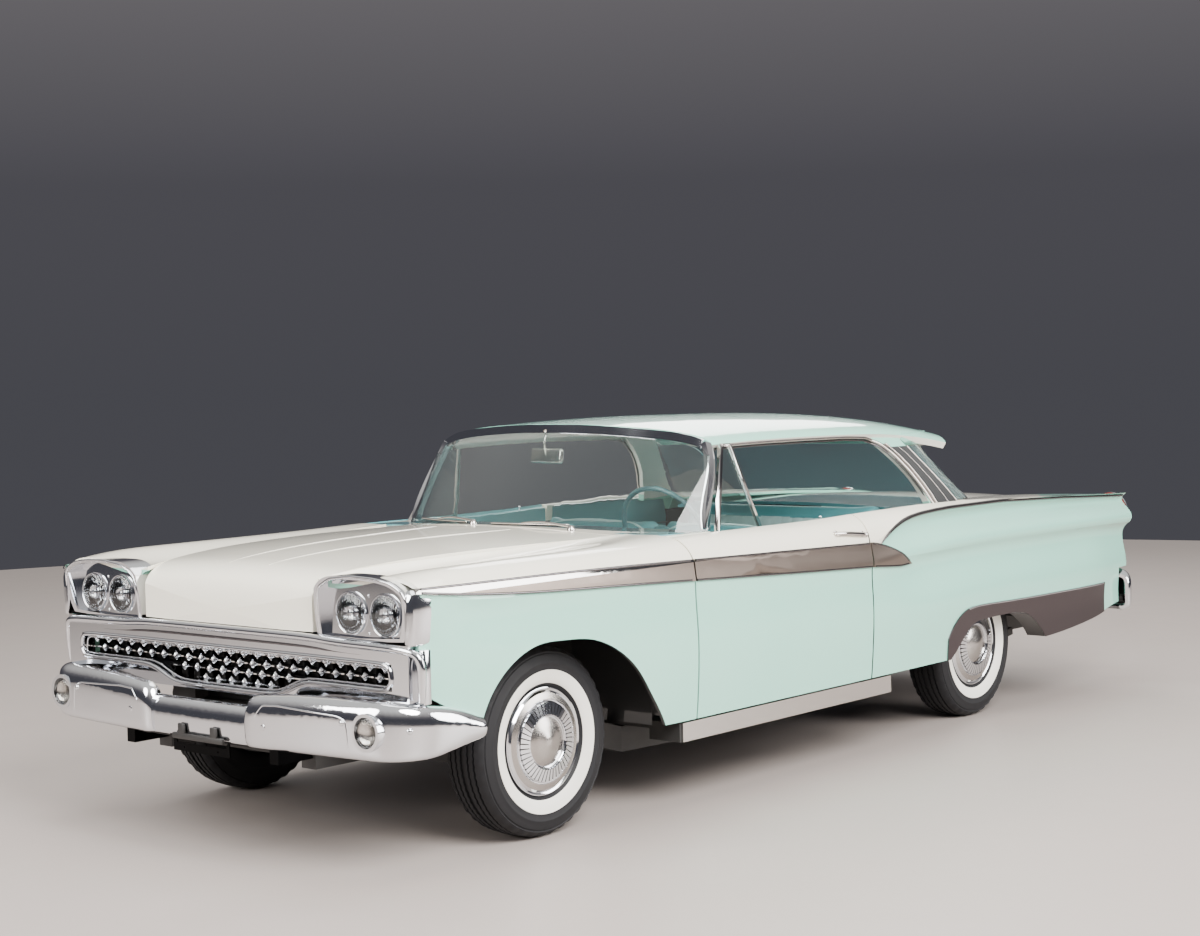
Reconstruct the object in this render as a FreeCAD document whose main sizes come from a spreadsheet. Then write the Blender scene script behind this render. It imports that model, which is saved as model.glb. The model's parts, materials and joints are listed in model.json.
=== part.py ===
import FreeCAD, Part

import math
import os

import Sketcher

# A full-size two-door hardtop of the late 1950s, in millimetres.
# The row frame is X forward, Y to the driver's side, Z up; the origin is on the
# ground under the middle of the car.

os.makedirs("parts", exist_ok=True)
doc = FreeCAD.newDocument("classic_car")
Vector = FreeCAD.Vector

# Driving dimensions. Each has its own cell with an alias.
driving_sizes = [
    ("overall_length", 5283),
    ("overall_width", 1946),
    ("overall_height", 1427),
    ("wheelbase", 2997),
    ("front_overhang", 860),
    ("front_track", 1499),
    ("rear_track", 1433),
    ("sheet_wall", 14),
    ("lid_wall", 24),
    ("door_skin", 24),
    ("door_wall", 112),
    ("belt_wall", 28),
    ("door_rear_inset", 14),
    ("quarter_wall", 92),
    ("roof_wall", 34),
    ("glass_wall", 6),
    ("trim_wall", 7),
    ("shut_gap", 8),
    ("seam_gap", 3),
    ("seat_gap", 0.3),
    ("cut_overrun", 40),
    ("tyre_radius", 334),
    ("tyre_width", 190),
    ("tread_width", 142),
    ("tread_crown", 6),
    ("bead_radius", 181),
    ("bead_width", 132),
    ("cover_rise", 10),
    ("cover_slot_rise", 17),
    ("cover_base_rise", 11),
    ("cover_tip_rise", 30),
    ("rim_flange", 188),
    ("rim_wall", 8),
    ("cover_cone_radius", 85),
    ("cover_slot_inner", 94),
    ("cover_slot_outer", 139),
    ("drum_radius", 138),
    ("drum_depth", 62),
    ("spindle_radius", 22),
    ("spindle_clearance", 0.5),
    ("kingpin_offset", 96),
    ("disc_place", 40),
    ("backing_plate_radius", 128),
    ("backing_plate_wall", 7),
    ("running_gap", 5),
    ("knuckle_half_height", 88),
    ("knuckle_radius", 26),
    ("arm_width", 70),
    ("arm_wall", 22),
    ("headlamp_radius", 73),
    ("headlamp_pitch", 163),
    ("headlamp_spread", 697),
    ("headlamp_height", 839),
    ("headlamp_dome", 16),
    ("headlamp_body_depth", 60),
    ("headlamp_proud", 4),
    ("pod_radius", 62),
    ("pod_rim", 12),
    ("pod_depth", 18),
    ("pod_spread", 812),
    ("pod_height", 482),
    ("tail_lamp_radius", 92),
    ("tail_lamp_spread", 800),
    ("tail_lamp_height", 862),
    ("tail_lamp_dome", 34),
    ("bumper_wall", 16),
    ("buffer_radius", 12),
    ("sill_seal_width", 14),
    ("sill_seal_length", 460),
    ("shield_wall", 6),
    ("fin_width", 4),
    ("fin_rise", 5),
    ("fin_count", 45),
    ("steering_wheel_radius", 205),
    ("steering_rim_radius", 11),
    ("steering_wheel_back", 1258.5),
    ("steering_wheel_side", 380),
    ("steering_wheel_height", 955),
    ("steering_hub_radius", 42),
    ("steering_hub_depth", 50),
    ("steering_spoke_radius", 8),
    ("column_angle", 25),
    ("column_radius", 24),
    ("column_length", 560),
    ("tank_length", 620),
    ("tank_width", 760),
    ("tank_depth", 210),
    ("engine_length", 720),
    ("engine_width", 560),
    ("engine_depth", 520),
    ("gearbox_radius", 105),
    ("gearbox_length", 560),
    ("pipe_radius", 24),
    ("muffler_width", 200),
    ("muffler_depth", 68),
    ("muffler_length", 560),
    ("axle_tube_radius", 42),
    ("differential_radius", 142),
    ("driveshaft_radius", 42),
    ("spring_length", 1350),
    ("spring_width", 62),
    ("spring_depth", 34),
    ("frame_rail_width", 70),
    ("frame_rail_depth", 96),
    ("seat_width", 1420),
    ("seat_pad", 150),
    ("seat_back_pad", 130),
    ("seat_length", 470),
    ("cushion_level", 300),
    ("seat_back_level", 690),
    ("rear_seat_length", 420),
    ("rear_seat_step", 190),
    ("rear_seat_width", 1140),
    ("floor_wall", 12),
    ("sill_depth", 70),
    ("floor_level", 300),
    ("tunnel_radius", 170),
    ("shaft_tunnel_radius", 130),
    ("iron_width", 44),
    ("plate_bracket_width", 300),
    ("plate_bracket_rise", 64),
    ("plate_bracket_wall", 4),
    ("plate_hole_spacing", 178),
    ("plate_hole_radius", 4),
    ("star_pitch", 70),
    ("star_row_pitch", 36),
    ("star_depth", 9),
    ("star_gap", 4),
    ("star_bar", 4),
    ("lattice_bar", 6),
    ("lattice_depth", 26),
    ("moulding_wall", 7),
    ("handle_length", 150),
    ("handle_wall", 16),
    ("vent_bar", 16),
]

sheet = doc.addObject("Spreadsheet::Sheet", "Sizes")
for row, (alias, value) in enumerate(driving_sizes, start=1):
    sheet.set(f"A{row}", alias)
    sheet.set(f"B{row}", str(value))
    sheet.setAlias(f"B{row}", alias)
doc.recompute()


def size(expression):
    """Value in millimetres of a cell, or of a sum over cells."""
    return float(sheet.evalExpression(expression))


half_length = size("overall_length / 2")
half_width = size("overall_width / 2")
height = size("overall_height")
front_axle = size("overall_length / 2 - front_overhang")
rear_axle = size("overall_length / 2 - front_overhang - wheelbase")
axle_height = size("tyre_radius")
shut_gap = size("shut_gap")
seam_gap = size("seam_gap")
seat_gap = size("seat_gap")
overrun = size("cut_overrun")
sheet_wall = size("sheet_wall")

front_axle_share = 0.6744
rear_axle_share = -0.4602


def station(share):
    """Place along the car of a share of its half length; both axles keep their shares."""
    if share > front_axle_share:
        rest = (share - front_axle_share) / (1 - front_axle_share)
        return front_axle + rest * (half_length - front_axle)
    if share < rear_axle_share:
        rest = (rear_axle_share - share) / (1 + rear_axle_share)
        return rear_axle - rest * (half_length + rear_axle)
    rest = (share - rear_axle_share) / (front_axle_share - rear_axle_share)
    return rear_axle + rest * (front_axle - rear_axle)


def at(x_share, y_share, z_share):
    """A point of the car from shares of its half length, half width and height."""
    return Vector(station(x_share), y_share * half_width, z_share * height)


# Guide lines of the body side. Each row is (x, y, z), as shares of half the length,
# half the width and the height; the rows run from the nose to the tail.
hood_gap_shares = [
    (0.935, 0.468, 0.662), (0.901, 0.488, 0.671), (0.844, 0.519, 0.680), (0.719, 0.570, 0.687),
    (0.578, 0.617, 0.694), (0.428, 0.668, 0.701), (0.341, 0.709, 0.703),
]
belt_shares = [
    (0.939, 0.779, 0.673), (0.909, 0.797, 0.680), (0.844, 0.817, 0.685), (0.578, 0.858, 0.692),
    (0.411, 0.874, 0.697), (0.096, 0.879, 0.698), (-0.059, 0.889, 0.704), (-0.245, 0.902, 0.710),
    (-0.379, 0.906, 0.708), (-0.474, 0.909, 0.703), (-0.757, 0.890, 0.683), (-0.996, 0.874, 0.663),
]
upper_shares = [
    (0.939, 0.890, 0.671), (0.909, 0.902, 0.677), (0.844, 0.920, 0.681), (0.578, 0.940, 0.680),
    (0.411, 0.948, 0.676), (0.096, 0.951, 0.671), (-0.048, 0.951, 0.673), (-0.114, 0.943, 0.685),
    (-0.155, 0.938, 0.694), (-0.302, 0.933, 0.702), (-0.474, 0.929, 0.701), (-0.757, 0.911, 0.685),
    (-0.996, 0.896, 0.666),
]
shoulder_shares = [
    (0.939, 0.953, 0.655), (0.909, 0.964, 0.657), (0.844, 0.968, 0.656), (0.578, 0.979, 0.650),
    (0.411, 0.983, 0.643), (0.096, 0.982, 0.629), (-0.048, 0.979, 0.625), (-0.080, 0.976, 0.634),
    (-0.114, 0.970, 0.657), (-0.155, 0.960, 0.676), (-0.227, 0.960, 0.690), (-0.302, 0.956, 0.695),
    (-0.474, 0.951, 0.698), (-0.757, 0.932, 0.683), (-0.996, 0.914, 0.668),
]
scoop_shares = [
    (0.939, 0.960, 0.648), (0.844, 0.971, 0.643), (0.578, 0.980, 0.631), (0.411, 0.984, 0.621),
    (0.096, 0.984, 0.608), (-0.048, 0.983, 0.601), (-0.080, 0.976, 0.610), (-0.114, 0.964, 0.631),
    (-0.170, 0.951, 0.650), (-0.302, 0.930, 0.664), (-0.474, 0.918, 0.666), (-0.757, 0.903, 0.657),
    (-0.996, 0.890, 0.643),
]
tube_shares = [
    (0.939, 0.964, 0.641), (0.844, 0.974, 0.629), (0.578, 0.984, 0.614), (0.411, 0.987, 0.601),
    (0.096, 0.988, 0.586), (-0.048, 0.989, 0.579), (-0.114, 0.983, 0.594), (-0.170, 0.975, 0.607),
    (-0.302, 0.970, 0.619), (-0.474, 0.964, 0.621), (-0.757, 0.954, 0.617), (-0.996, 0.930, 0.608),
]
crease_shares = [
    (0.939, 0.960, 0.632), (0.844, 0.976, 0.615), (0.578, 0.986, 0.596), (0.411, 0.990, 0.582),
    (0.096, 0.992, 0.566), (-0.048, 0.992, 0.561), (-0.114, 0.989, 0.565), (-0.227, 0.983, 0.569),
    (-0.455, 0.972, 0.573), (-0.805, 0.960, 0.573), (-0.996, 0.930, 0.565),
]
haunch_shares = [
    (0.939, 0.964, 0.610), (0.578, 0.986, 0.568), (0.411, 0.989, 0.557), (0.096, 0.990, 0.541),
    (-0.048, 0.989, 0.536), (-0.227, 0.968, 0.548), (-0.455, 0.958, 0.552), (-0.805, 0.935, 0.550),
    (-0.996, 0.896, 0.543),
]
bulge_shares = [
    (0.939, 0.950, 0.533), (0.844, 0.972, 0.519), (0.578, 0.992, 0.484), (0.411, 0.994, 0.448),
    (0.000, 0.994, 0.448), (-0.265, 0.989, 0.452), (-0.460, 0.978, 0.456), (-0.805, 0.956, 0.456),
    (-0.996, 0.904, 0.448),
]
rocker_shares = [
    (0.939, 0.948, 0.477), (0.844, 0.966, 0.420), (0.578, 0.989, 0.336), (0.411, 0.989, 0.322),
    (0.000, 0.989, 0.322), (-0.265, 0.983, 0.322), (-0.460, 0.970, 0.329), (-0.805, 0.951, 0.336),
    (-0.996, 0.904, 0.350),
]
hem_shares = [
    (0.939, 0.940, 0.427), (0.844, 0.958, 0.336), (0.719, 0.976, 0.242), (0.578, 0.977, 0.231),
    (0.411, 0.978, 0.228), (0.000, 0.978, 0.228), (-0.265, 0.972, 0.228), (-0.460, 0.962, 0.228),
    (-0.630, 0.956, 0.231), (-0.801, 0.948, 0.252), (-0.862, 0.940, 0.270), (-0.996, 0.904, 0.301),
]

def smooth(keys, values, key):
    """Monotone cubic through (key, value) pairs, which never swings past them."""
    key = min(max(key, keys[0]), keys[-1])
    k = 0
    while k < len(keys) - 2 and key > keys[k + 1]:
        k += 1
    slopes = [(values[i + 1] - values[i]) / (keys[i + 1] - keys[i]) for i in range(len(keys) - 1)]
    tangents = [slopes[0]]
    for before, after in zip(slopes, slopes[1:]):
        same_way = before * after > 0
        tangents.append(2 * before * after / (before + after) if same_way else 0)
    tangents.append(slopes[-1])
    step = keys[k + 1] - keys[k]
    u = (key - keys[k]) / step
    return (
        (2 * u**3 - 3 * u**2 + 1) * values[k]
        + (u**3 - 2 * u**2 + u) * step * tangents[k]
        + (3 * u**2 - 2 * u**3) * values[k + 1]
        + (u**3 - u**2) * step * tangents[k + 1]
    )


def guide(table, x):
    """The point of a guide line at station x; its rows are shares, in any order along X."""
    rows = sorted(table)
    keys = [station(row[0]) for row in rows]
    y = smooth(keys, [row[1] for row in rows], x)
    z = smooth(keys, [row[2] for row in rows], x)
    return Vector(x, y * half_width, z * height)


def evened(rows, count):
    """Rows of numbers, read afresh at even steps of the path that the first two follow."""
    keys = [0]
    for before, after in zip(rows, rows[1:]):
        keys.append(keys[-1] + math.hypot(after[0] - before[0], after[1] - before[1]))
    columns = list(zip(*rows))
    steps = spaced(0, keys[-1], count)
    return [[smooth(keys, column, step) for column in columns] for step in steps]


def spline(points):
    """A smooth edge through points, or a straight one through two."""
    if len(points) == 2:
        return Part.makeLine(points[0], points[1])
    curve = Part.BSplineCurve()
    curve.interpolate(points)
    return curve.toShape()


def wire(*runs):
    """A closed wire of smooth runs; each run starts where the last one ended."""
    edges = [spline(run) for run in runs]
    if (runs[-1][-1] - runs[0][0]).Length > 0:
        edges.append(Part.makeLine(runs[-1][-1], runs[0][0]))
    return Part.Wire(edges)


def loft(wires, ruled=False):
    shape = Part.makeLoft(wires, True, ruled)
    if shape.Volume < 0:
        shape.reverse()
    return shape


def inward(points, wall):
    """Points of a cross-section moved a wall to the inside, which lies on the right."""
    moved = []
    for i, point in enumerate(points):
        ahead = points[min(i + 1, len(points) - 1)]
        behind = points[max(i - 1, 0)]
        run = ahead - behind
        normal = Vector(0, run.z, -run.y)
        normal.normalize()
        moved.append(point + normal * wall)
    return moved


def mirrored(shape):
    return shape.mirror(Vector(0, 0, 0), Vector(0, 1, 0))


def both(shape):
    """A shape and its mirror image, as solids of one piece."""
    return Part.makeCompound([shape, mirrored(shape)])


def spaced(start, end, count):
    return [start + (end - start) * i / (count - 1) for i in range(count)]


def side_prism(runs, y_from, y_to):
    """An outline in the side view, pushed through the car from y_from to y_to."""
    face = Part.Face(wire(*runs))
    face.translate(Vector(0, y_from, 0))
    return face.extrude(Vector(0, y_to - y_from, 0))


def plan_prism(runs, z_from, z_to):
    """An outline in the plan view, pushed upwards from z_from to z_to."""
    face = Part.Face(wire(*runs))
    face.translate(Vector(0, 0, z_from))
    return face.extrude(Vector(0, 0, z_to - z_from))


def box(x_from, x_to, y_from, y_to, z_from, z_to):
    return Part.makeBox(x_to - x_from, y_to - y_from, z_to - z_from, Vector(x_from, y_from, z_from))


def rail(points, width, depth):
    """A straight-sided bar whose upright rectangular sections follow points along X."""
    wires = []
    for p in points:
        corners = [
            Vector(p.x, p.y - width / 2, p.z - depth / 2),
            Vector(p.x, p.y + width / 2, p.z - depth / 2),
            Vector(p.x, p.y + width / 2, p.z + depth / 2),
            Vector(p.x, p.y - width / 2, p.z + depth / 2),
        ]
        wires.append(Part.makePolygon(corners + corners[:1]))
    return loft(wires, ruled=True)


def strip(points, sideways, wide, thick, ruled=False):
    """A bar through points; sideways gives the direction of its width at each point."""
    wires = []
    for i, p in enumerate(points):
        run = points[min(i + 1, len(points) - 1)] - points[max(i - 1, 0)]
        across = sideways[i] - run * (sideways[i].dot(run) / run.dot(run))
        across.normalize()
        out = run.cross(across)
        out.normalize()
        a = across * (wide / 2)
        b = out * (thick / 2)
        corners = [p - a - b, p + a - b, p + a + b, p - a + b]
        wires.append(Part.makePolygon(corners + corners[:1]))
    return loft(wires, ruled)


sub_parts = []


def keep(label, shape):
    """Adds a sub-part whose shape is worked out above from the sheet."""
    feature = doc.addObject("Part::Feature", label)
    feature.Label = label
    feature.Shape = shape
    sub_parts.append(feature)
    return feature


def keep_body(label):
    body = doc.addObject("PartDesign::Body", label)
    body.Label = label
    sub_parts.append(body)
    return body


def bind(item, bindings):
    for path, expression in bindings.items():
        item.setExpression(path, expression)


def sketch_on(body, role):
    sketch = body.newObject("Sketcher::SketchObject", body.Label + "_sketch")
    plane = [item for item in body.Origin.OriginFeatures if item.Role == role][0]
    sketch.AttachmentSupport = [(plane, "")]
    sketch.MapMode = "FlatFace"
    return sketch


def pin_point(sketch, geometry, end, place):
    """Ties one end of a sketch line to the sheet, along both sketch axes."""
    for kind, expression in zip(("DistanceX", "DistanceY"), place):
        rule = Sketcher.Constraint(kind, -1, 1, geometry, end, sheet.evalExpression(expression))
        index = sketch.addConstraint(rule)
        sketch.setExpression(f"Constraints[{index}]", sheet_names(expression))


def sheet_names(expression):
    """An expression over bare aliases, written with the sheet's name before each."""
    words = []
    for word in expression.replace("(", " ( ").replace(")", " ) ").split():
        words.append("Sizes." + word if word in aliases else word)
    return " ".join(words)


aliases = {alias for alias, value in driving_sizes}


def outline(sketch, places):
    """A closed outline. A place of four expressions ends an arc through its first pair."""
    corners = []
    for place in places:
        corners.append(Vector(size(place[-2]), size(place[-1]), 0))
    first = sketch.GeometryCount
    for i, place in enumerate(places):
        start = corners[i - 1]
        if len(place) == 4:
            middle = Vector(size(place[0]), size(place[1]), 0)
            edge = Part.Arc(start, middle, corners[i])
        else:
            edge = Part.LineSegment(start, corners[i])
        sketch.addGeometry(edge, False)
    count = len(places)
    for i, place in enumerate(places):
        here = first + i
        turned = len(place) == 4 and is_clockwise(corners[i - 1], place, corners[i])
        end = 1 if turned else 2
        following = places[(i + 1) % count]
        next_turned = len(following) == 4 and is_clockwise(
            corners[i], following, corners[(i + 1) % count]
        )
        next_start = 2 if next_turned else 1
        sketch.addConstraint(
            Sketcher.Constraint("Coincident", here, end, first + (i + 1) % count, next_start)
        )
        pin_point(sketch, here, end, place[-2:])
        if len(place) == 4:
            middle = Vector(size(place[0]), size(place[1]), 0)
            point = sketch.addGeometry(Part.Point(middle), True)
            sketch.addConstraint(Sketcher.Constraint("PointOnObject", point, 1, here))
            pin_point(sketch, point, 1, place[:2])


def is_clockwise(start, place, end):
    middle = Vector(size(place[0]), size(place[1]), 0)
    return (middle - start).cross(end - middle).z < 0


def turn(body, sketch, axis):
    feature = body.newObject("PartDesign::Revolution", body.Label + "_turn")
    feature.Profile = sketch
    feature.ReferenceAxis = (sketch, [axis])
    feature.Angle = 360
    return feature


def pad(body, sketch, length, middle=False, reverse=False):
    feature = body.newObject("PartDesign::Pad", body.Label + "_pad")
    feature.Profile = sketch
    if middle:
        feature.Midplane = True
    feature.Reversed = reverse
    feature.setExpression("Length", sheet_names(length))
    return feature

# Body side: fender, door and quarter share the guide lines, so they meet flush.
door_front_shares = [
    (0.4062, 0.18), (0.4062, 0.45), (0.4085, 0.57), (0.4110, 0.643), (0.4125, 0.675), (0.4125, 0.72),
]
door_rear_share = -0.0398
arch_front_shares = [
    (0.836, 0.300), (0.8315, 0.335), (0.7958, 0.434), (0.7693, 0.467), (0.7322, 0.489),
    (0.689, 0.490), (0.6337, 0.481), (0.5887, 0.451), (0.5425, 0.390), (0.5077, 0.310),
    (0.4785, 0.232), (0.4668, 0.150),
]
arch_rear_shares = [
    (-0.268, 0.150), (-0.2722, 0.207), (-0.3002, 0.249), (-0.3525, 0.322), (-0.4, 0.334),
    (-0.46, 0.334), (-0.552, 0.319), (-0.605, 0.263), (-0.6254, 0.222), (-0.632, 0.150),
]


def side_points(shares):
    return [Vector(station(x), 0, z * height) for x, z in shares]


def upper_run(x, first_table):
    tables = (first_table, belt_shares, upper_shares, shoulder_shares)
    if first_table is belt_shares:
        tables = tables[1:]
    return [guide(table, x) for table in tables]


def flank_run(x):
    return [guide(table, x) for table in (shoulder_shares, scoop_shares, tube_shares, crease_shares)]


def lower_run(x):
    tables = (crease_shares, haunch_shares, bulge_shares, rocker_shares, hem_shares)
    return [guide(table, x) for table in tables]


def skin_section(x, first_table, wall):
    """A thin closed section of the body side at station x."""
    runs = [upper_run(x, first_table), flank_run(x), lower_run(x)]
    outer = runs[0] + runs[1][1:] + runs[2][1:]
    inner = inward(outer, wall)
    first = len(runs[0])
    second = first + len(runs[1]) - 1
    inner_runs = [inner[:first], inner[first - 1:second], inner[second - 1:]]
    back = [run[::-1] for run in inner_runs[::-1]]
    return wire(*runs, [outer[-1], inner[-1]], *back)


def wall_section(x, wall, belt_wall, skin=0):
    """A thick closed section of the body side, that starts under a skin."""
    runs = [upper_run(x, belt_shares), flank_run(x), lower_run(x)]
    if skin:
        outer = inward(runs[0] + runs[1][1:] + runs[2][1:], skin)
        first = len(runs[0])
        second = first + len(runs[1]) - 1
        runs = [outer[:first], outer[first - 1:second], outer[second - 1:]]
    belt = runs[0][0]
    shoulder = runs[0][-1]
    tube_level = runs[1][2].z
    hem = runs[2][-1]
    foot = hem - Vector(0, wall, 0)
    waist = Vector(x, shoulder.y - wall, tube_level)
    ledge = Vector(x, belt.y - belt_wall, belt.z - belt_wall / 8)
    return wire(*runs, [hem, foot], [foot, waist], [waist, ledge], [ledge, belt])


def lofted(stations, section, *sizes):
    return loft([section(x, *sizes) for x in stations])


def shifted(points, dx):
    return [p + Vector(dx, 0, 0) for p in points]


door_front = side_points(door_front_shares)
door_rear = station(door_rear_share)
prism_top = door_front[-1].z
prism_low = door_front[0].z


def door_region(front_gap, rear_gap):
    """The side-view outline of a door, grown by gaps ahead and behind."""
    front = shifted(door_front, front_gap)
    rear = door_rear - rear_gap
    low = Vector(rear, 0, prism_low)
    high = Vector(rear, 0, prism_top)
    return side_prism([front, [front[-1], high], [high, low], [low, front[0]]], 0, 2 * half_width)


def arch_region(shares, grow=0):
    points = side_points(shares)
    ahead = Vector(points[0].x, 0, 0)
    behind = Vector(points[-1].x, 0, 0)
    return side_prism(
        [points, [points[-1], behind], [behind, ahead], [ahead, points[0]]], -grow, 2 * half_width
    )


nose_share = 0.935
tail_share = -0.985
nose = station(nose_share)
tail = station(tail_share)
door_skin = size("door_skin")
door_wall = size("door_wall")
belt_wall = size("belt_wall")

fender_stations = spaced(nose, door_front[0].x - overrun, 12)
fender = lofted(fender_stations, skin_section, hood_gap_shares, sheet_wall)
fender = fender.cut(door_region(shut_gap, overrun * 4))
fender = fender.cut(arch_region(arch_front_shares))
keep("front_fender_left", fender)
keep("front_fender_right", mirrored(fender))

door_stations = spaced(door_front[-1].x + overrun, door_rear - overrun, 9)
door_outer = lofted(door_stations, skin_section, belt_shares, door_skin)
door_outer = door_outer.common(door_region(0, 0))
door_inner = lofted(door_stations, wall_section, door_wall, belt_wall, door_skin / 2)
door_inner = door_inner.common(door_region(0, -size("door_rear_inset")))
door = door_outer.fuse(door_inner)
keep("door_left", door)
keep("door_right", mirrored(door))

quarter_wall = size("quarter_wall")
# Tail: the round barrel that carries the lamp, and the notch under it.
barrel_place = Vector(tail, size("tail_lamp_spread"), size("tail_lamp_height"))

# Top of the quarter between the fin and the boot lid, behind the shelf of the rear glass.
lid_edge_shares = [
    (-0.2, 0.74, 0.698), (-0.40, 0.70, 0.698), (-0.60, 0.668, 0.694), (-0.80, 0.660, 0.680),
    (-0.996, 0.655, 0.655),
]
deck_start = station(-0.385)


def rear_quarter_section(x, wall):
    """The side wall with the flat strip of the rear deck as one closed section."""
    belt = guide(belt_shares, x)
    inner_edge = guide(lid_edge_shares, x)
    middle = (inner_edge + belt) * 0.5 + Vector(0, 0, sheet_wall / 4)
    runs = [upper_run(x, belt_shares), flank_run(x), lower_run(x)]
    hem = runs[2][-1]
    foot = hem - Vector(0, wall, 0)
    waist = Vector(x, belt.y - wall / 2, belt.z - wall)
    under = inner_edge - Vector(0, 0, sheet_wall)
    corner = Vector(x, waist.y - wall / 2, middle.z - sheet_wall)
    deck = [inner_edge, middle, runs[0][0]]
    return wire(deck, *runs, [hem, foot], [foot, waist], [waist, corner], [corner, under],
        [under, inner_edge])


front_quarter = lofted(
    spaced(door_rear - shut_gap, deck_start, 9), wall_section, quarter_wall, belt_wall
)
rear_quarter = lofted(spaced(deck_start, tail, 12), rear_quarter_section, quarter_wall)
rear_arch = arch_region(arch_rear_shares)
quarter = front_quarter.cut(rear_arch).fuse(rear_quarter.cut(rear_arch))
bumper_room_front_share = -0.944
bumper_room_top_share = 0.409
bumper_room = box(
    -half_length, station(bumper_room_front_share), 0, half_width, 0, bumper_room_top_share * height
)
quarter = quarter.cut(bumper_room)
keep("quarter_left", quarter)
keep("quarter_right", mirrored(quarter))

# Roof: a full-width crown, trimmed to its plan outline, on two leaning rear pillars.
roof_crown_shares = [(0.320, 0.984), (0.240, 0.993), (0.05, 1.0), (-0.185, 0.996), (-0.34, 0.975),
    (-0.455, 0.944)]
roof_drop_shares = [(0, 0), (0.25, 0.004), (0.5, 0.018), (0.64, 0.034), (0.715, 0.052), (0.742, 0.068)]
roof_wall = size("roof_wall")


def crown_height(table, x):
    rows = [(share, 1, level) for share, level in table]
    return guide(rows, x).z


def roof_section(x):
    crown = crown_height(roof_crown_shares, x)
    half = [Vector(x, y * half_width, crown - drop * height) for y, drop in roof_drop_shares]
    outer = [Vector(x, -p.y, p.z) for p in half[:0:-1]] + half
    inner = inward(outer, roof_wall)
    return wire(outer, [outer[-1], inner[-1]], inner[::-1])


roof_front_shares = [
    (0.240, -0.78), (0.250, -0.70), (0.281, -0.45), (0.300, 0), (0.281, 0.45), (0.250, 0.70), (0.240, 0.78),
]
roof_rear_shares = [
    (-0.415, 0.78), (-0.436, 0.66), (-0.446, 0.40), (-0.452, 0), (-0.446, -0.40), (-0.436, -0.66),
    (-0.415, -0.78),
]


def plan_points(shares):
    return [Vector(station(x), y * half_width, 0) for x, y in shares]


roof_stations = spaced(station(roof_crown_shares[0][0]), station(roof_crown_shares[-1][0]), 9)
roof = lofted(roof_stations, roof_section)
front_edge = plan_points(roof_front_shares)
rear_edge = plan_points(roof_rear_shares)
roof_plan = plan_prism(
    [front_edge, [front_edge[-1], rear_edge[0]], rear_edge, [rear_edge[-1], front_edge[0]]], 0, 2 * height
)
roof = roof.common(roof_plan)
pillar_wall = size("roof_wall")
# Each row of a rear pillar is (front x, rear x, y, z), from the belt to the roof.
pillar_shares = [
    (-0.300, -0.392, 0.862, 0.690),
    (-0.282, -0.352, 0.820, 0.770),
    (-0.249, -0.315, 0.775, 0.840),
    (-0.190, -0.272, 0.728, 0.918),
]
pillar_wires = []
for front, rear, side, level in pillar_shares:
    a = at(front, side, level)
    b = at(rear, side, level)
    wall = Vector(0, pillar_wall, 0)
    pillar_wires.append(Part.makePolygon([a, b, b - wall, a - wall, a]))
pillar = loft(pillar_wires)
roof = roof.fuse([pillar, mirrored(pillar)])
seat = quarter.translated(Vector(0, 0, seat_gap))
roof = roof.cut([seat, mirrored(seat)])
keep("roof_panel", roof)

# Hood: side profiles lofted across the car, trimmed to the plan, hollow under its crown.
hood_profile_shares = [
    (0.420, 0.7140), (0.500, 0.7130), (0.600, 0.7110), (0.719, 0.7060), (0.800, 0.6990), (0.870, 0.6880),
    (0.915, 0.6720), (0.938, 0.6460), (0.9465, 0.6100), (0.9490, 0.5750), (0.9460, 0.5380),
]
hood_fall_share = 0.014
hood_rear_shares = [(0.4300, -0.66), (0.4420, -0.45), (0.4500, 0), (0.4420, 0.45), (0.4300, 0.66)]
hood_nose_shares = [(0.943, 0.458), (0.9475, 0.25), (0.9490, 0), (0.9475, -0.25), (0.943, -0.458)]
hood_skirt_shares = [(0.9600, 0.5380), (0.9300, 0.5380), (0.9000, 0.6350), (0.8500, 0.6600), (0.3800, 0.6780)]
lid_wall = size("lid_wall")


def fall(y):
    """How far a wide panel has dropped at y from its middle, as a parabola."""
    return hood_fall_share * height * (y / (0.6 * half_width)) ** 2


def crown_profile(shares, y, inset=0):
    """A panel's side profile at y; inset moves it inside the panel by a wall."""
    points = [Vector(station(x), y, z * height - fall(y)) for x, z in shares]
    moved = []
    for i, p in enumerate(points):
        run = points[min(i + 1, len(points) - 1)] - points[max(i - 1, 0)]
        normal = Vector(run.z, 0, -run.x)
        normal.normalize()
        moved.append(p + normal * inset)
    return moved


def across(half_span, count=7):
    return spaced(-half_span, half_span, count)


def hood_block(inset):
    """The solid under the hood's top profile, down to the level of its lower edge."""
    wires = []
    for y in across(0.75 * half_width):
        top = crown_profile(hood_profile_shares, y, inset)
        low = Vector(top[-1].x, y, 0.5 * height)
        back = Vector(top[0].x, y, 0.5 * height)
        wires.append(wire(top, [top[-1], low], [low, back], [back, top[0]]))
    return loft(wires)


def hood_plan(inset, z_from, z_to):
    """Plan outline of the hood, inset from the gaps beside the fenders."""
    edge_stations = spaced(station(hood_nose_shares[0][0]), station(hood_rear_shares[-1][0]), 8)
    left = []
    for x in edge_stations:
        edge = guide(hood_gap_shares, x)
        left.append(Vector(x, edge.y - shut_gap - inset, 0))
    right = [Vector(p.x, -p.y, 0) for p in left[::-1]]
    rear = plan_points(hood_rear_shares)
    rear = [Vector(p.x + inset, p.y, 0) for p in rear]
    rear[0] = right[0]
    rear[-1] = left[-1]
    nose_line = [Vector(p.x, p.y, 0) for p in plan_points(hood_nose_shares)]
    nose_line[0] = left[0]
    nose_line[-1] = right[-1]
    return plan_prism([left, rear[::-1], right, nose_line[::-1]], z_from, z_to)


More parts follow.
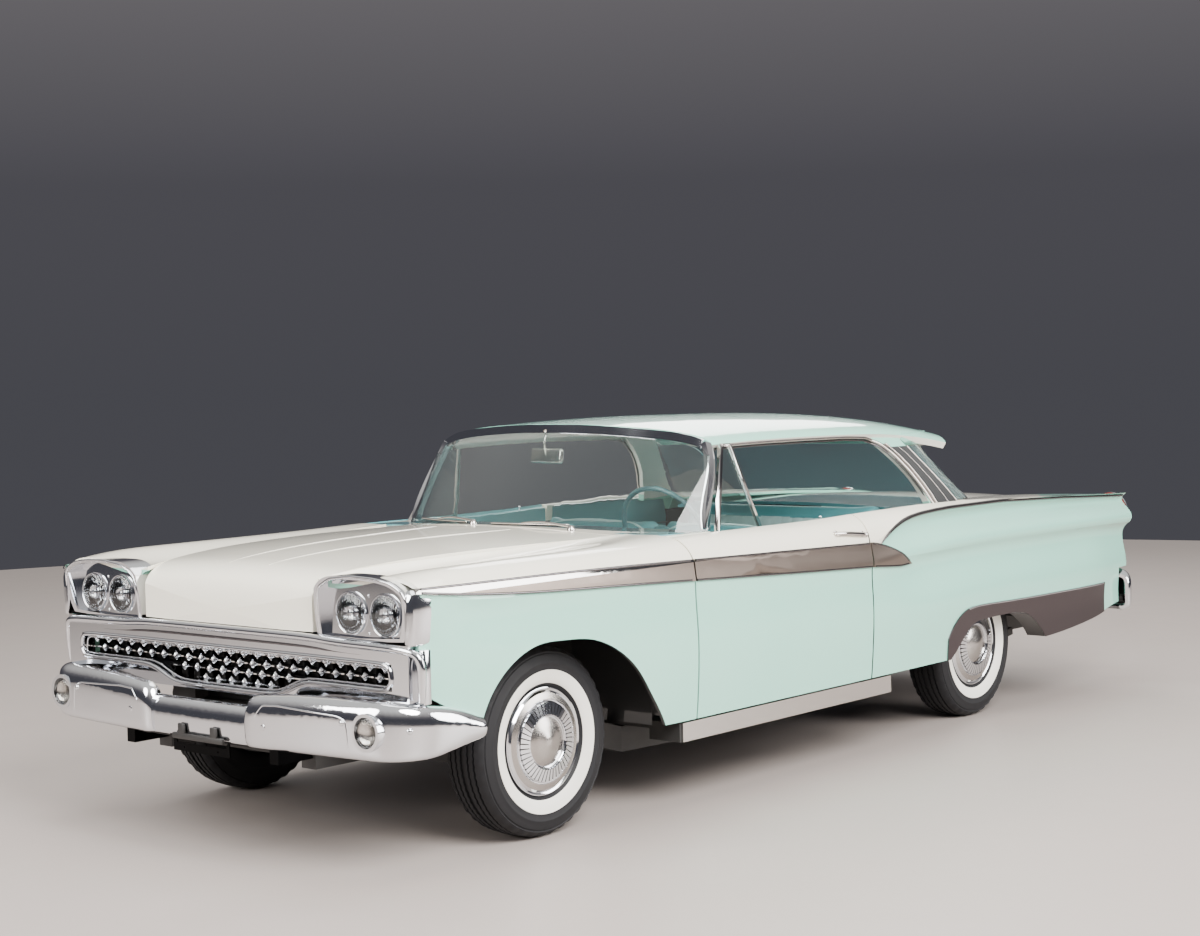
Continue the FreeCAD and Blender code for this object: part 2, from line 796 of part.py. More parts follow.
def above(shares):
    """Everything over a broken line in the side view."""
    line = side_points(shares)
    runs = [[a, b] for a, b in zip(line, line[1:])]
    front = Vector(line[0].x, 0, height)
    rear = Vector(line[-1].x, 0, height)
    return side_prism([*runs, [line[-1], rear], [rear, front], [front, line[0]]], -half_width, half_width)


hood_solid = hood_block(0).common(hood_plan(0, 0, height)).common(above(hood_skirt_shares))
hood_hollow = hood_block(lid_wall).common(hood_plan(lid_wall, 0, height))
hood_shape = hood_solid.cut(hood_hollow)
keep("hood", hood_shape)

# Boot lid: the same way of building, from the rear glass shelf down to the bumper.
lid_profile_shares = [
    (-0.592, 0.6930), (-0.680, 0.6920), (-0.780, 0.6840), (-0.870, 0.6720), (-0.935, 0.6570),
    (-0.9610, 0.6400), (-0.9730, 0.6100), (-0.9790, 0.5600), (-0.9810, 0.4900), (-0.9780, 0.4300),
]
lid_front_shares = [(-0.5940, 0.66), (-0.5925, 0.35), (-0.5920, 0), (-0.5925, -0.35), (-0.5940, -0.66)]
lid_skirt_shares = [
    (-0.500, 0.6640), (-0.900, 0.6500), (-0.9500, 0.6200), (-0.9640, 0.5600), (-0.9640, 0.4300),
    (-0.9900, 0.4300),
]


def lid_block(inset):
    wires = []
    for y in across(0.75 * half_width):
        top = crown_profile(lid_profile_shares, y, -inset)
        low = Vector(top[-1].x, y, 0.3 * height)
        back = Vector(top[0].x, y, 0.3 * height)
        wires.append(wire(top, [top[-1], low], [low, back], [back, top[0]]))
    return loft(wires)


def lid_plan(inset, z_from, z_to):
    """Plan outline of the boot lid, inset from the gaps beside the quarters."""
    left = []
    for x in spaced(station(-0.5940), station(-0.9850), 6):
        edge = guide(lid_edge_shares, x)
        left.append(Vector(x, edge.y - shut_gap - inset, 0))
    right = [Vector(p.x, -p.y, 0) for p in left[::-1]]
    front = plan_points(lid_front_shares)
    front = [Vector(p.x - inset, p.y, 0) for p in front]
    front[0] = left[0]
    front[-1] = right[-1]
    return plan_prism([left, [left[-1], right[0]], right, front[::-1]], z_from, z_to)


lid_solid = lid_block(0).common(lid_plan(0, 0, height)).common(above(lid_skirt_shares))
lid_hollow = lid_block(lid_wall).common(lid_plan(lid_wall, 0, height))
keep("boot_lid", lid_solid.cut(lid_hollow))

# Glass: thin level sections of the wrapped outline, lofted upwards.
glass_wall = size("glass_wall")


def glass_section(half_outline, level, wall):
    """A closed level section of a wrapped glass; the half outline runs out from the middle."""
    half = [Vector(station(x), y * half_width, level * height) for x, y in half_outline]
    outer = [Vector(p.x, -p.y, p.z) for p in half[:0:-1]] + half
    inner = []
    for i, p in enumerate(outer):
        run = outer[min(i + 1, len(outer) - 1)] - outer[max(i - 1, 0)]
        normal = Vector(-run.y, run.x, 0)
        normal.normalize()
        inner.append(p + normal * wall)
    return wire(outer, [outer[-1], inner[-1]], inner[::-1])


def interpolate(rows, value):
    """Straight-line interpolation in rows of (key, result), in rising keys."""
    rows = sorted(rows)
    for (a, first), (b, second) in zip(rows, rows[1:]):
        if value <= b:
            return first + (second - first) * (value - a) / (b - a)
    return rows[-1][1]


windscreen_levels = [
    (0.690, [(0.4300, 0), (0.4190, 0.28), (0.3970, 0.48), (0.3630, 0.66), (0.3260, 0.780), (0.3030, 0.830)]),
    (0.712, [(0.4230, 0), (0.4120, 0.28), (0.3900, 0.48), (0.3560, 0.66), (0.3200, 0.775), (0.2990, 0.823)]),
    (0.800, [(0.3880, 0), (0.3780, 0.28), (0.3570, 0.47), (0.3280, 0.64), (0.3010, 0.745), (0.2830, 0.795)]),
    (0.890, [(0.3480, 0), (0.3400, 0.28), (0.3230, 0.46), (0.2990, 0.62), (0.2790, 0.715), (0.2650, 0.768)]),
    (0.968, [(0.3080, 0), (0.3020, 0.28), (0.2890, 0.45), (0.2700, 0.60), (0.2560, 0.690), (0.2440, 0.743)]),
]
rear_glass_levels = [
    (0.6850, [(-0.5710, 0), (-0.5660, 0.30), (-0.5560, 0.50), (-0.5330, 0.67), (-0.4900, 0.775),
        (-0.4120, 0.838)]),
    (0.7080, [(-0.5550, 0), (-0.5500, 0.30), (-0.5400, 0.50), (-0.5180, 0.66), (-0.4760, 0.765),
        (-0.4000, 0.826)]),
    (0.7700, [(-0.5090, 0), (-0.5050, 0.30), (-0.4960, 0.48), (-0.4760, 0.63), (-0.4370, 0.735),
        (-0.3640, 0.790)]),
    (0.8400, [(-0.4590, 0), (-0.4550, 0.30), (-0.4470, 0.46), (-0.4300, 0.60), (-0.3960, 0.700),
        (-0.3260, 0.752)]),
    (0.9400, [(-0.3900, 0), (-0.3860, 0.30), (-0.3790, 0.45), (-0.3640, 0.58), (-0.3330, 0.670),
        (-0.2640, 0.718)]),
]


def glass(levels, wall):
    return loft([glass_section(half, level, wall) for level, half in levels])


# Cowl between hood and windscreen, with the firewall and the hinge pillars under it.
cowl_top_shares = [(0, 0.7135), (0.30, 0.7105), (0.66, 0.6975), (0.832, 0.6965)]
cowl_low_share = 0.660
cowl_rear_share = 0.287
firewall_share = 0.441
wheel_gap = 2 * shut_gap
door_axis_share = 0.3964
door_axis_side = 0.9784


def cowl_section(x):
    half = [Vector(x, y * half_width, z * height) for y, z in cowl_top_shares]
    top = [Vector(x, -p.y, p.z) for p in half[:0:-1]] + half
    low = cowl_low_share * height
    left = Vector(x, top[-1].y, low)
    right = Vector(x, top[0].y, low)
    return wire(top, [top[-1], left], [left, right], [right, top[0]])


cowl_rear = station(cowl_rear_share)
cowl_front_line = [Vector(p.x - wheel_gap, p.y, 0) for p in plan_points(hood_rear_shares)]
cowl_side = cowl_top_shares[-1][0] * half_width
fender_end = door_front[-1].x
cowl_corner = Vector(fender_end - 4 * shut_gap, cowl_front_line[-1].y, 0)
cowl_inset = size("floor_wall")
glass_foot = [Vector(station(x) - cowl_inset, y * half_width, 0) for x, y in windscreen_levels[0][1]]
cowl_foot = [Vector(p.x, -p.y, 0) for p in glass_foot[:0:-1]] + glass_foot
foot_corner = Vector(glass_foot[-1].x, cowl_side, 0)
cowl_edge = [
    cowl_front_line,
    [cowl_front_line[-1], cowl_corner],
    [cowl_corner, Vector(cowl_corner.x, cowl_side, 0)],
    [Vector(cowl_corner.x, cowl_side, 0), foot_corner],
    [foot_corner, glass_foot[-1]],
    cowl_foot[::-1],
    [cowl_foot[0], Vector(foot_corner.x, -cowl_side, 0)],
    [Vector(foot_corner.x, -cowl_side, 0), Vector(cowl_corner.x, -cowl_side, 0)],
    [Vector(cowl_corner.x, -cowl_side, 0), Vector(cowl_corner.x, -cowl_corner.y, 0)],
    [Vector(cowl_corner.x, -cowl_corner.y, 0), cowl_front_line[0]],
]
cowl_block = lofted([cowl_rear - overrun, station(0.5)], cowl_section)
cowl = cowl_block.common(plan_prism(cowl_edge, 0, height))
floor_level = size("floor_level")
floor_wall = size("floor_wall")
firewall_x = station(firewall_share)
cowl_low = cowl_low_share * height
firewall = box(firewall_x - floor_wall, firewall_x, -cowl_side, cowl_side, floor_level, cowl_low)
post_outer = 0.955 * half_width
post_inner = 0.80 * half_width
hinge_post = box(door_front[0].x, firewall_x - floor_wall, post_inner, post_outer,
    floor_level + 3 * floor_wall, cowl_low)
hinge_post = hinge_post.cut(door_region(shut_gap, 0))
hood_room = hood_plan(-shut_gap, cowl_low + seat_gap, height)
cowl = cowl.cut(hood_room)
cowl = cowl.fuse([firewall, hinge_post, mirrored(hinge_post)])
tunnel_level = floor_level - floor_wall
tunnel_radius = size("tunnel_radius")
gearbox_hole = Part.makeCylinder(tunnel_radius - floor_wall, 2 * overrun,
    Vector(firewall_x - overrun, 0, tunnel_level), Vector(1, 0, 0))
door_axis_x = station(door_axis_share)
door_axis_y = door_axis_side * half_width
door_corner = door_front[-1].x - door_axis_x
door_corner_side = door_axis_y - guide(belt_shares, door_front[-1].x).y + belt_wall
door_reach = math.hypot(door_corner, door_corner_side) + shut_gap
swing_room = Part.makeCylinder(door_reach, height, Vector(door_axis_x, door_axis_y, cowl_low))
swing_room = swing_room.common(door_region(shut_gap, 0))
cowl = cowl.cut([gearbox_hole, fender, mirrored(fender), swing_room, mirrored(swing_room)])
keep("cowl_panel", cowl)

# Shelf and tray between the rear glass and the boot lid.
shelf_front_share = -0.350
shelf_gap = shut_gap


def shelf_section(x):
    edge = guide(lid_edge_shares, x)
    crown = lid_profile_shares[0][1] * height
    half = [Vector(x, y, crown - fall(y)) for y in spaced(0, edge.y - seat_gap, 4)]
    top = [Vector(x, -p.y, p.z) for p in half[:0:-1]] + half
    low = [p - Vector(0, 0, sheet_wall) for p in top]
    return wire(top, [top[-1], low[-1]], low[::-1])


shelf_rear_line = [Vector(p.x + shelf_gap, p.y, 0) for p in plan_points(lid_front_shares)]
shelf_start = station(shelf_front_share)
shelf = lofted(spaced(shelf_start, station(lid_front_shares[0][0]), 5), shelf_section)
shelf_cut = plan_prism([
    shelf_rear_line,
    [shelf_rear_line[-1], Vector(shelf_start, -half_width, 0)],
    [Vector(shelf_start, -half_width, 0), Vector(shelf_start, half_width, 0)],
    [Vector(shelf_start, half_width, 0), shelf_rear_line[0]],
], 0, height)
shelf = shelf.common(shelf_cut)
keep("rear_shelf", shelf)


def roof_cutter(lowered):
    """Everything above the roof's outer surface when that is lowered."""
    wires = []
    for x in roof_stations:
        crown = crown_height(roof_crown_shares, x) - lowered
        half = [Vector(x, y * half_width, crown - drop * height) for y, drop in roof_drop_shares]
        half.append(Vector(x, half_width, half[-1].z))
        line = [Vector(x, -p.y, p.z) for p in half[:0:-1]] + half
        high = [Vector(x, line[-1].y, 2 * height), Vector(x, line[0].y, 2 * height)]
        wires.append(wire(line[:2], line[1:-1], line[-2:], [line[-1], high[0]], high, [high[1], line[0]]))
    return loft(wires)


frame_width = size("roof_wall")
frame_depth = size("roof_wall * 0.75")
roof_zone = roof_cutter(frame_width)
windscreen = glass(windscreen_levels, glass_wall)
windscreen = windscreen.cut(roof_zone).cut(cowl)
rear_glass = glass(rear_glass_levels, -glass_wall)
rear_glass = rear_glass.cut(roof_cutter(roof_wall + seat_gap)).cut(shelf)
quarter_pair = [quarter, mirrored(quarter)]
rear_glass = rear_glass.cut(quarter_pair).cut(roof)
keep("windscreen_glass", windscreen.Solids[0])
keep("rear_window_glass", rear_glass.Solids[0])

# Windscreen frame: a header along the roof's front edge on two leaning pillars.
header_points = []
for y_share in (-0.715, -0.62, -0.45, -0.22, 0, 0.22, 0.45, 0.62, 0.715):
    reach = interpolate([(y, x) for x, y in roof_front_shares if y >= 0], abs(y_share))
    x = station(reach) + frame_depth / 2 + seam_gap
    drop = interpolate(roof_drop_shares, abs(y_share)) * height
    level = crown_height(roof_crown_shares, x) - drop - frame_width / 2
    header_points.append(Vector(x, y_share * half_width, level))
header = strip(header_points, [Vector(0, 0, 1)] * len(header_points), frame_width, frame_depth)
post_shares = [(0.3000, 0.812, 0.700), (0.2800, 0.787, 0.800), (0.2600, 0.757, 0.880), (0.2530, 0.725, 0.930)]
post_points = [at(*row) for row in post_shares]
post = strip(post_points, [Vector(1, 0, 0)] * len(post_points), frame_width, frame_depth)
frame = header.fuse([post, mirrored(post)])
frame = frame.cut([windscreen, cowl, roof])
keep("windscreen_frame", frame)

# Front end: surround of the grille, headlamp bezels and the star lattice.
lamp_y = size("headlamp_spread")
lamp_z = size("headlamp_height")
lamp_step = size("headlamp_pitch / 2")
lamp_radius = size("headlamp_radius")
bezel_front_share = 0.9535
bezel_foot_share = 0.9420
bezel_field_share = 0.9345
bezel_rear_share = 0.915
bezel_outline_shares = [
    (0.486, 0.528), (0.485, 0.600), (0.492, 0.642), (0.535, 0.666), (0.640, 0.6755), (0.780, 0.6735),
    (0.880, 0.662), (0.935, 0.640), (0.930, 0.580), (0.905, 0.534), (0.700, 0.526),
]


def front_outline(shares, x):
    """A closed outline in the front view at station x, on the driver's side."""
    return [Vector(x, y * half_width, z * height) for y, z in shares]


bezel_points = front_outline(bezel_outline_shares, station(bezel_rear_share))
bezel_wire = wire(bezel_points[:3], bezel_points[2:8], bezel_points[7:10], bezel_points[9:],
    [bezel_points[-1], bezel_points[0]])
bezel_depth = station(bezel_front_share) - station(bezel_rear_share)
bezel = Part.Face(bezel_wire).extrude(Vector(bezel_depth, 0, 0))
# The brow: the face leans, so its top overhangs the lamps, which sit in a sunk field.
brow_line = side_points([(bezel_front_share, 0.690), (bezel_foot_share, 0.520)])
brow_ahead = [Vector(half_length, 0, p.z) for p in brow_line]
brow_room = side_prism(
    [brow_line, [brow_line[1], brow_ahead[1]], brow_ahead[::-1], [brow_ahead[0], brow_line[0]]], 0, half_width
)
field_middle = Vector(bezel_points[0].x, 0.709 * half_width, 0.600 * height)
field_scale_share = 0.90
field_points = [field_middle + (p - field_middle) * field_scale_share for p in bezel_points]
field_wire = wire(field_points[:3], field_points[2:8], field_points[7:10], field_points[9:],
    [field_points[-1], field_points[0]])
field_start = station(bezel_field_share) - station(bezel_rear_share)
field = Part.Face(field_wire).translated(Vector(field_start, 0, 0)).extrude(Vector(bezel_depth, 0, 0))
bezel = bezel.cut([brow_room, field])
lamp_places = [Vector(0, lamp_y - lamp_step, lamp_z), Vector(0, lamp_y + lamp_step, lamp_z)]
forward = Vector(1, 0, 0)
for place in lamp_places:
    bore = Part.makeCylinder(lamp_radius + seat_gap, bezel_depth * 2,
        place + forward * (bezel_points[0].x - bezel_depth / 2), forward)
    bezel = bezel.cut(bore)
bezel = bezel.cut([fender])
keep("headlamp_bezels", both(bezel))

surround_rear_share = 0.925
surround_front_share = 0.9460
surround_top_share = 0.532
surround_low_share = 0.372
opening_top_share = 0.4820
opening_low_share = 0.4210
opening_side_share = 0.850
surround_side_share = 0.930
surround_x = station(surround_rear_share)
surround_front = station(surround_front_share)
surround = box(surround_x, surround_front, -surround_side_share * half_width,
    surround_side_share * half_width,
    surround_low_share * height, surround_top_share * height - shut_gap)
opening_side = opening_side_share * half_width
opening_top = opening_top_share * height
opening_low = opening_low_share * height
# The opening's lower edge falls in a smooth S to its dropped middle.
opening_curve_shares = [
    (0.470, opening_low_share), (0.400, 0.4170), (0.340, 0.4030), (0.285, 0.3870), (0.225, 0.3810),
]
opening_curve = [Vector(surround_x, y * half_width, z * height) for y, z in opening_curve_shares]
opening_curve_right = [Vector(p.x, -p.y, p.z) for p in opening_curve]
opening_drop = opening_curve[-1].z
top_left = Vector(surround_x, opening_side, opening_top)
top_right = Vector(surround_x, -opening_side, opening_top)
low_left = Vector(surround_x, opening_side, opening_low)
low_right = Vector(surround_x, -opening_side, opening_low)
opening_wire = wire([top_right, top_left], [top_left, low_left], [low_left, opening_curve[0]], opening_curve,
    [opening_curve[-1], opening_curve_right[-1]], opening_curve_right[::-1], [opening_curve_right[0],
        low_right],
    [low_right, top_right])
surround = surround.cut(Part.Face(opening_wire).extrude(Vector(4 * overrun, 0, 0)))
bezel_room = both(bezel.translated(Vector(0, 0, -seat_gap)))
surround = surround.cut([fender, mirrored(fender), bezel_room])
keep("front_surround", surround)

# The grille: staggered rows of four-pointed stars on thin level bars, which lean back
# towards the bottom, and a lattice of bars behind the surround that carries them.
star_pitch = size("star_pitch")
star_row_pitch = size("star_row_pitch")
star_gap = size("star_gap")
star_depth = size("star_depth")
star_bar = size("star_bar")
lattice_bar = size("lattice_bar")
lattice_depth = size("lattice_depth")
lattice_x = surround_x - lattice_depth
grille_top_share = 0.9385
grille_low_share = 0.9300
star_waist_share = 0.30
star_crown_share = 0.12


def star(centre, reach, rise):
    """A star with long points along Y and short ones along Z, raised to a small flat tip."""
    rear = []
    for k in range(8):
        turn_angle = k * math.pi / 4
        share = star_waist_share if k % 2 else 1
        rear.append(Vector(0, math.cos(turn_angle) * reach * share, math.sin(turn_angle) * rise * share))
    tip = [p * star_crown_share + Vector(star_depth, 0, 0) for p in rear]
    rings = [Part.makePolygon([centre + p for p in ring + ring[:1]]) for ring in (rear, tip)]
    return loft(rings, ruled=True)


def opening_reach(level):
    """Half the opening's width at a level, read on its lower edge."""
    if level > opening_low:
        return opening_side
    rows = [(p.z, p.y) for p in opening_curve]
    return interpolate(rows, level)


grille_parts = []
row_count = int((opening_top - opening_drop) / star_row_pitch)
star_reach = star_pitch / 2 - star_gap / 2
star_rise = star_row_pitch / 2 - star_gap / 4
for row in range(row_count):
    level = opening_top - star_row_pitch * (row + 0.5)
    lean_share = (opening_top - level) / (opening_top - opening_low)
    face_x = station(grille_top_share + (grille_low_share - grille_top_share) * lean_share)
    side = opening_reach(level - star_rise) - star_gap
    grille_parts.append(box(lattice_x, face_x, -side, side, level - star_bar / 2, level + star_bar / 2))
    offset = star_pitch / 2 if row % 2 else 0
    count = int((side - star_reach - offset) / star_pitch)
    places = [offset + star_pitch * k for k in range(-count - (1 if offset else 0), count + 1)]
    for y in places:
        grille_parts.append(star(Vector(face_x - star_bar / 2, y, level), star_reach, star_rise))
columns = int(opening_side / star_pitch)
for k in range(-columns, columns + 1):
    y = k * star_pitch
    low = opening_low if abs(y) > opening_curve[1].y else opening_drop
    grille_parts.append(box(lattice_x, surround_x, y - lattice_bar / 2, y + lattice_bar / 2,
        low - lattice_bar,
        opening_top + lattice_bar))
for level, side in ((opening_top, opening_side), (opening_low, opening_side),
    (opening_drop, opening_curve[1].y)):
    grille_parts.append(box(lattice_x, surround_x, -side, side, level - lattice_bar, level + lattice_bar))
keep("grille", grille_parts[0].fuse(grille_parts[1:]))



lamp_dome = size("headlamp_dome")
lamp_depth = size("headlamp_body_depth")
dome_radius = (lamp_radius ** 2 + lamp_dome ** 2) / (2 * lamp_dome)
lamp_face = station(bezel_field_share) + size("headlamp_proud")
headlamps = []
for place in lamp_places:
    middle = Vector(lamp_face, place.y, place.z)
    can = Part.makeCylinder(lamp_radius, lamp_depth + lamp_dome, middle - forward * lamp_depth, forward)
    dome = Part.makeSphere(dome_radius, middle + forward * (lamp_dome - dome_radius))
    lamp = can.common(dome)
    headlamps += [lamp, mirrored(lamp)]
keep("headlamps", Part.makeCompound(headlamps))


def bumper(path_shares, section_shares, wall, facing, count=16, square_share=0.01):
    """Half a wrapped bumper: its face profile is carried along the plan path towards the middle.

    Nearer the middle than square_share its sections stand square to the car.
    """
    path = [(station(x), y * half_width, low * height, top * height) for x, y, low, top in path_shares]
    stations = evened(path, count)
    wires = []
    for i, (x, y, low, top) in enumerate(stations):
        before = stations[max(i - 1, 0)]
        after = stations[min(i + 1, count - 1)]
        out = Vector(after[1] - before[1], before[0] - after[0], 0) * facing
        if y < square_share * half_width:
            out = Vector(out.x, 0, 0)
        out.normalize()
        flat = [Vector(0, reach * height, low + (top - low) * rise) for reach, rise in section_shares]
        flat_back = inward(flat[::-1], wall)
        face = [Vector(x, y, 0) + out * q.y + Vector(0, 0, q.z) for q in flat]
        back = [Vector(x, y, 0) + out * q.y + Vector(0, 0, q.z) for q in flat_back]
        wires.append(wire(face, [face[-1], back[0]], back, [back[-1], face[0]]))
    return loft(wires)


bumper_wall = size("bumper_wall")
pod_rim_proud = size("pod_rim / 2")
rail_shares = [
    (0.935, 0.395, 0.245), (0.800, 0.395, 0.245), (0.560, 0.395, 0.245), (0.440, 0.640, 0.163),
    (0.360, 0.690, 0.168), (-0.240, 0.690, 0.168), (-0.330, 0.560, 0.215), (-0.400, 0.520, 0.320),
    (-0.520, 0.520, 0.320), (-0.620, 0.520, 0.240), (-0.930, 0.520, 0.240),
]
rail_front_x, rail_front_y, rail_level_front = at(*rail_shares[0])
rail_rear_x, rail_rear_y, rail_level_rear = at(*rail_shares[-1])
iron_reach_share = 0.9945
front_bumper_path = [
    (0.838, 0.995, 0.300, 0.345), (0.880, 0.995, 0.285, 0.375), (0.925, 0.986, 0.272, 0.392),
    (0.960, 0.945, 0.270, 0.402), (0.982, 0.860, 0.270, 0.406), (0.990, 0.700, 0.270, 0.406),
    (0.9965, 0.500, 0.270, 0.404), (0.9992, 0.360, 0.268, 0.398), (0.9998, 0.300, 0.267, 0.394),
    (0.9985, 0.272, 0.268, 0.384), (0.9955, 0.258, 0.271, 0.368),
]
front_middle_path = [
    (0.9925, 0.330, 0.266, 0.362), (0.9935, 0.160, 0.266, 0.362), (0.9940, 0.0, 0.266, 0.362),
]
front_face = [(-0.030, 0), (-0.006, 0.06), (0.0, 0.30), (0.0, 0.62), (-0.008, 0.90), (-0.030, 1.0)]
wing_square_share = 0.37
front_bumper = bumper(front_bumper_path, front_face, bumper_wall, -1, 24, wing_square_share)
front_middle = bumper(front_middle_path, front_face, bumper_wall, -1, 5, wing_square_share)
iron_width = size("iron_width")
iron_low = rail_level_front - iron_width / 4
iron_x = rail_front_x + seat_gap
iron = box(iron_x, station(iron_reach_share) - bumper_wall / 2, rail_front_y - iron_width / 2,
    rail_front_y + iron_width / 2, iron_low, iron_low + 2 * iron_width)
plate_x = half_length - 2 * bumper_wall
ear_points = [(0, 0), (1, 0), (1, 1), (0.86, 0.45), (0, 0.45)]
plate_half = size("plate_bracket_width / 2")
plate_rise = size("plate_bracket_rise")
plate_low = 0.266 * height - plate_rise * 0.7
ear_line = [Vector(plate_x, y * plate_half, plate_low + z * plate_rise) for y, z in ear_points]
ear_face = Part.Face(Part.makePolygon(ear_line + ear_line[:1]))
ear = ear_face.extrude(Vector(size("plate_bracket_wall"), 0, 0))
hole_y = size("plate_hole_spacing / 2")
hole_z = plate_low + plate_rise * 0.22
plate_hole_start = Vector(plate_x - 2 * overrun, hole_y, hole_z)
plate_hole = Part.makeCylinder(size("plate_hole_radius"), 4 * overrun, plate_hole_start, forward)
ear = ear.cut(plate_hole)
# Sunk round pods near the outer ends.
pod_radius = size("pod_radius")
pod_depth = size("pod_depth")
pod_place = Vector(station(0.985), size("pod_spread"), size("pod_height"))
pod_back = pod_place - forward * (pod_depth + bumper_wall)
pod_cup = Part.makeCylinder(pod_radius, pod_depth + bumper_wall + pod_rim_proud, pod_back, forward)
pod_bore = Part.makeCylinder(pod_radius - size("pod_rim"), 4 * overrun, pod_place - forward * pod_depth,
    forward)
front_bumper = front_bumper.fuse([front_middle, iron, ear, pod_cup])
front_bumper = front_bumper.cut([pod_bore, surround, fender])
front_bumper = front_bumper.fuse(mirrored(front_bumper))
keep("bumper_front", front_bumper)
rear_bumper_path = [
    (-0.950, 0.968, 0.262, 0.385), (-0.968, 0.958, 0.256, 0.396), (-0.982, 0.920, 0.254, 0.403),
    (-0.990, 0.840, 0.254, 0.405), (-0.9930, 0.700, 0.254, 0.405), (-0.9955, 0.450, 0.254, 0.395),
    (-1.0, 0.0, 0.254, 0.385),
]
rear_bumper = bumper(rear_bumper_path, front_face, bumper_wall, 1)
rear_iron_x = rail_rear_x - seat_gap
rear_iron = box(station(-iron_reach_share) + bumper_wall / 2, rear_iron_x, rail_rear_y - iron_width / 2,
    rail_rear_y + iron_width / 2, rail_level_rear, rail_level_rear + iron_width * 1.4)
rear_bumper = rear_bumper.fuse(rear_iron)
rear_bumper = rear_bumper.fuse(mirrored(rear_bumper))
keep("bumper_rear", rear_bumper)

# Rear valance between the quarters, and the round tail lamps.
valance_x = tail + 2 * sheet_wall
valance = box(valance_x, valance_x + sheet_wall, -0.80 * half_width, 0.80 * half_width, 0.30 * height,
    0.405 * height)
lid_foot = lid_profile_shares[-1][1] * height - seat_gap
for side in (1, -1):
    stop_y = side * 0.40 * half_width
    stop_half = size("buffer_radius")
    lid_stop = box(valance_x, valance_x + sheet_wall, stop_y - stop_half, stop_y + stop_half,
        0.39 * height, lid_foot)
    valance = valance.fuse(lid_stop)
valance = valance.cut([quarter, mirrored(quarter), rear_bumper])
keep("rear_valance", valance)
tail_lamps = []
lamp_radius_rear = size("tail_lamp_radius")
tail_dome = size("tail_lamp_dome")
tail_rim = tail_dome * 0.4
lamp_start = Vector(tail - seat_gap, barrel_place.y, barrel_place.z)
upward = Vector(0, 0, 1)
lens_rim = lamp_start - forward * tail_rim + upward * lamp_radius_rear
lens_tip = lamp_start - forward * tail_dome
lens_mid = lamp_start - forward * (tail_dome * 0.86) + upward * (lamp_radius_rear * 0.5)
# A small flat on the tip keeps the turned face clear of its own axis.
lens_flat_share = 0.06
lens_flat = lens_tip + upward * (lamp_radius_rear * lens_flat_share)
lens_edges = [
    Part.makeLine(lamp_start, lamp_start + upward * lamp_radius_rear),
    Part.makeLine(lamp_start + upward * lamp_radius_rear, lens_rim),
    Part.Arc(lens_rim, lens_mid, lens_flat).toShape(),
    Part.makeLine(lens_flat, lens_tip),
    Part.makeLine(lens_tip, lamp_start),
]
housing = Part.Face(Part.Wire(lens_edges)).revolve(lamp_start, forward, 360)
tail_lamps.append(housing)
tail_lamps.append(mirrored(housing))
keep("tail_lamps", Part.makeCompound(tail_lamps))

# Under the body: floor, frame, engine, tank, pipes and running gear.
sill_top = hem_shares[4][2] * height - shut_gap
sill_low = sill_top - size("sill_depth")
heel_x = station(-0.205)
boot_x = valance_x + sheet_wall
kick_level = 0.400 * height
well_level = 0.300 * height
floor_line = [
    (firewall_x, floor_level), (heel_x, floor_level), (heel_x - 4 * floor_wall, kick_level - 8 * floor_wall),
    (station(-0.335), kick_level - 8 * floor_wall), (station(-0.350), kick_level),
    (station(-0.600), kick_level), (station(-0.620), well_level), (boot_x, well_level),
]
top_line = [Vector(x, 0, z) for x, z in floor_line]
low_line = [p - Vector(0, 0, floor_wall) for p in top_line]
floor_side = 0.83 * half_width
boot_side = 0.59 * half_width
floor_face = Part.Face(Part.makePolygon(top_line + low_line[::-1] + top_line[:1]))
floor_pan = floor_face.extrude(Vector(0, 2 * floor_side, 0)).translated(Vector(0, -floor_side, 0))
wheel_room = size("tyre_radius + shut_gap * 5")
wheelhouse_in = boot_side
wheelhouse_out = size("overall_width / 2 - quarter_wall - 50")


def wheelhouse(side):
    """A rounded box over a rear wheel, open below and to the outside."""
    depth = wheelhouse_out - wheelhouse_in
    start = Vector(rear_axle, wheelhouse_in * side, axle_height)
    outer = Part.makeCylinder(wheel_room + floor_wall, depth, start, Vector(0, side, 0))
    inner = Part.makeCylinder(wheel_room, depth, start + Vector(0, floor_wall * side, 0), Vector(0, side, 0))
    return outer, inner


sill = box(door_rear - 4 * overrun, firewall_x, floor_side - floor_wall, 0.965 * half_width, sill_low,
    sill_top)
tunnel_step_x = station(0.245)


def tunnel_run(radius, x_from, x_to):
    return Part.makeCylinder(radius, x_to - x_from, Vector(x_from, 0, tunnel_level), Vector(1, 0, 0))


shaft_tunnel_radius = size("shaft_tunnel_radius")
tunnel = tunnel_run(tunnel_radius, tunnel_step_x,
    firewall_x).fuse(tunnel_run(shaft_tunnel_radius, heel_x, tunnel_step_x))
tunnel_bore = tunnel_run(tunnel_radius - floor_wall, tunnel_step_x + floor_wall, firewall_x + overrun)
tunnel_bore = tunnel_bore.fuse(tunnel_run(shaft_tunnel_radius - floor_wall, heel_x - 2 * overrun,
    tunnel_step_x + overrun))
above_floor = box(heel_x, firewall_x, -tunnel_radius, tunnel_radius, tunnel_level, height)
floor_pan = floor_pan.fuse([tunnel.common(above_floor), sill, mirrored(sill)])
for side in (1, -1):
    outer, inner = wheelhouse(side)
    upper = box(rear_axle - wheel_room * 2, rear_axle + wheel_room * 2, -half_width, half_width,
        well_level, height)
    floor_pan = floor_pan.fuse(outer.common(upper))
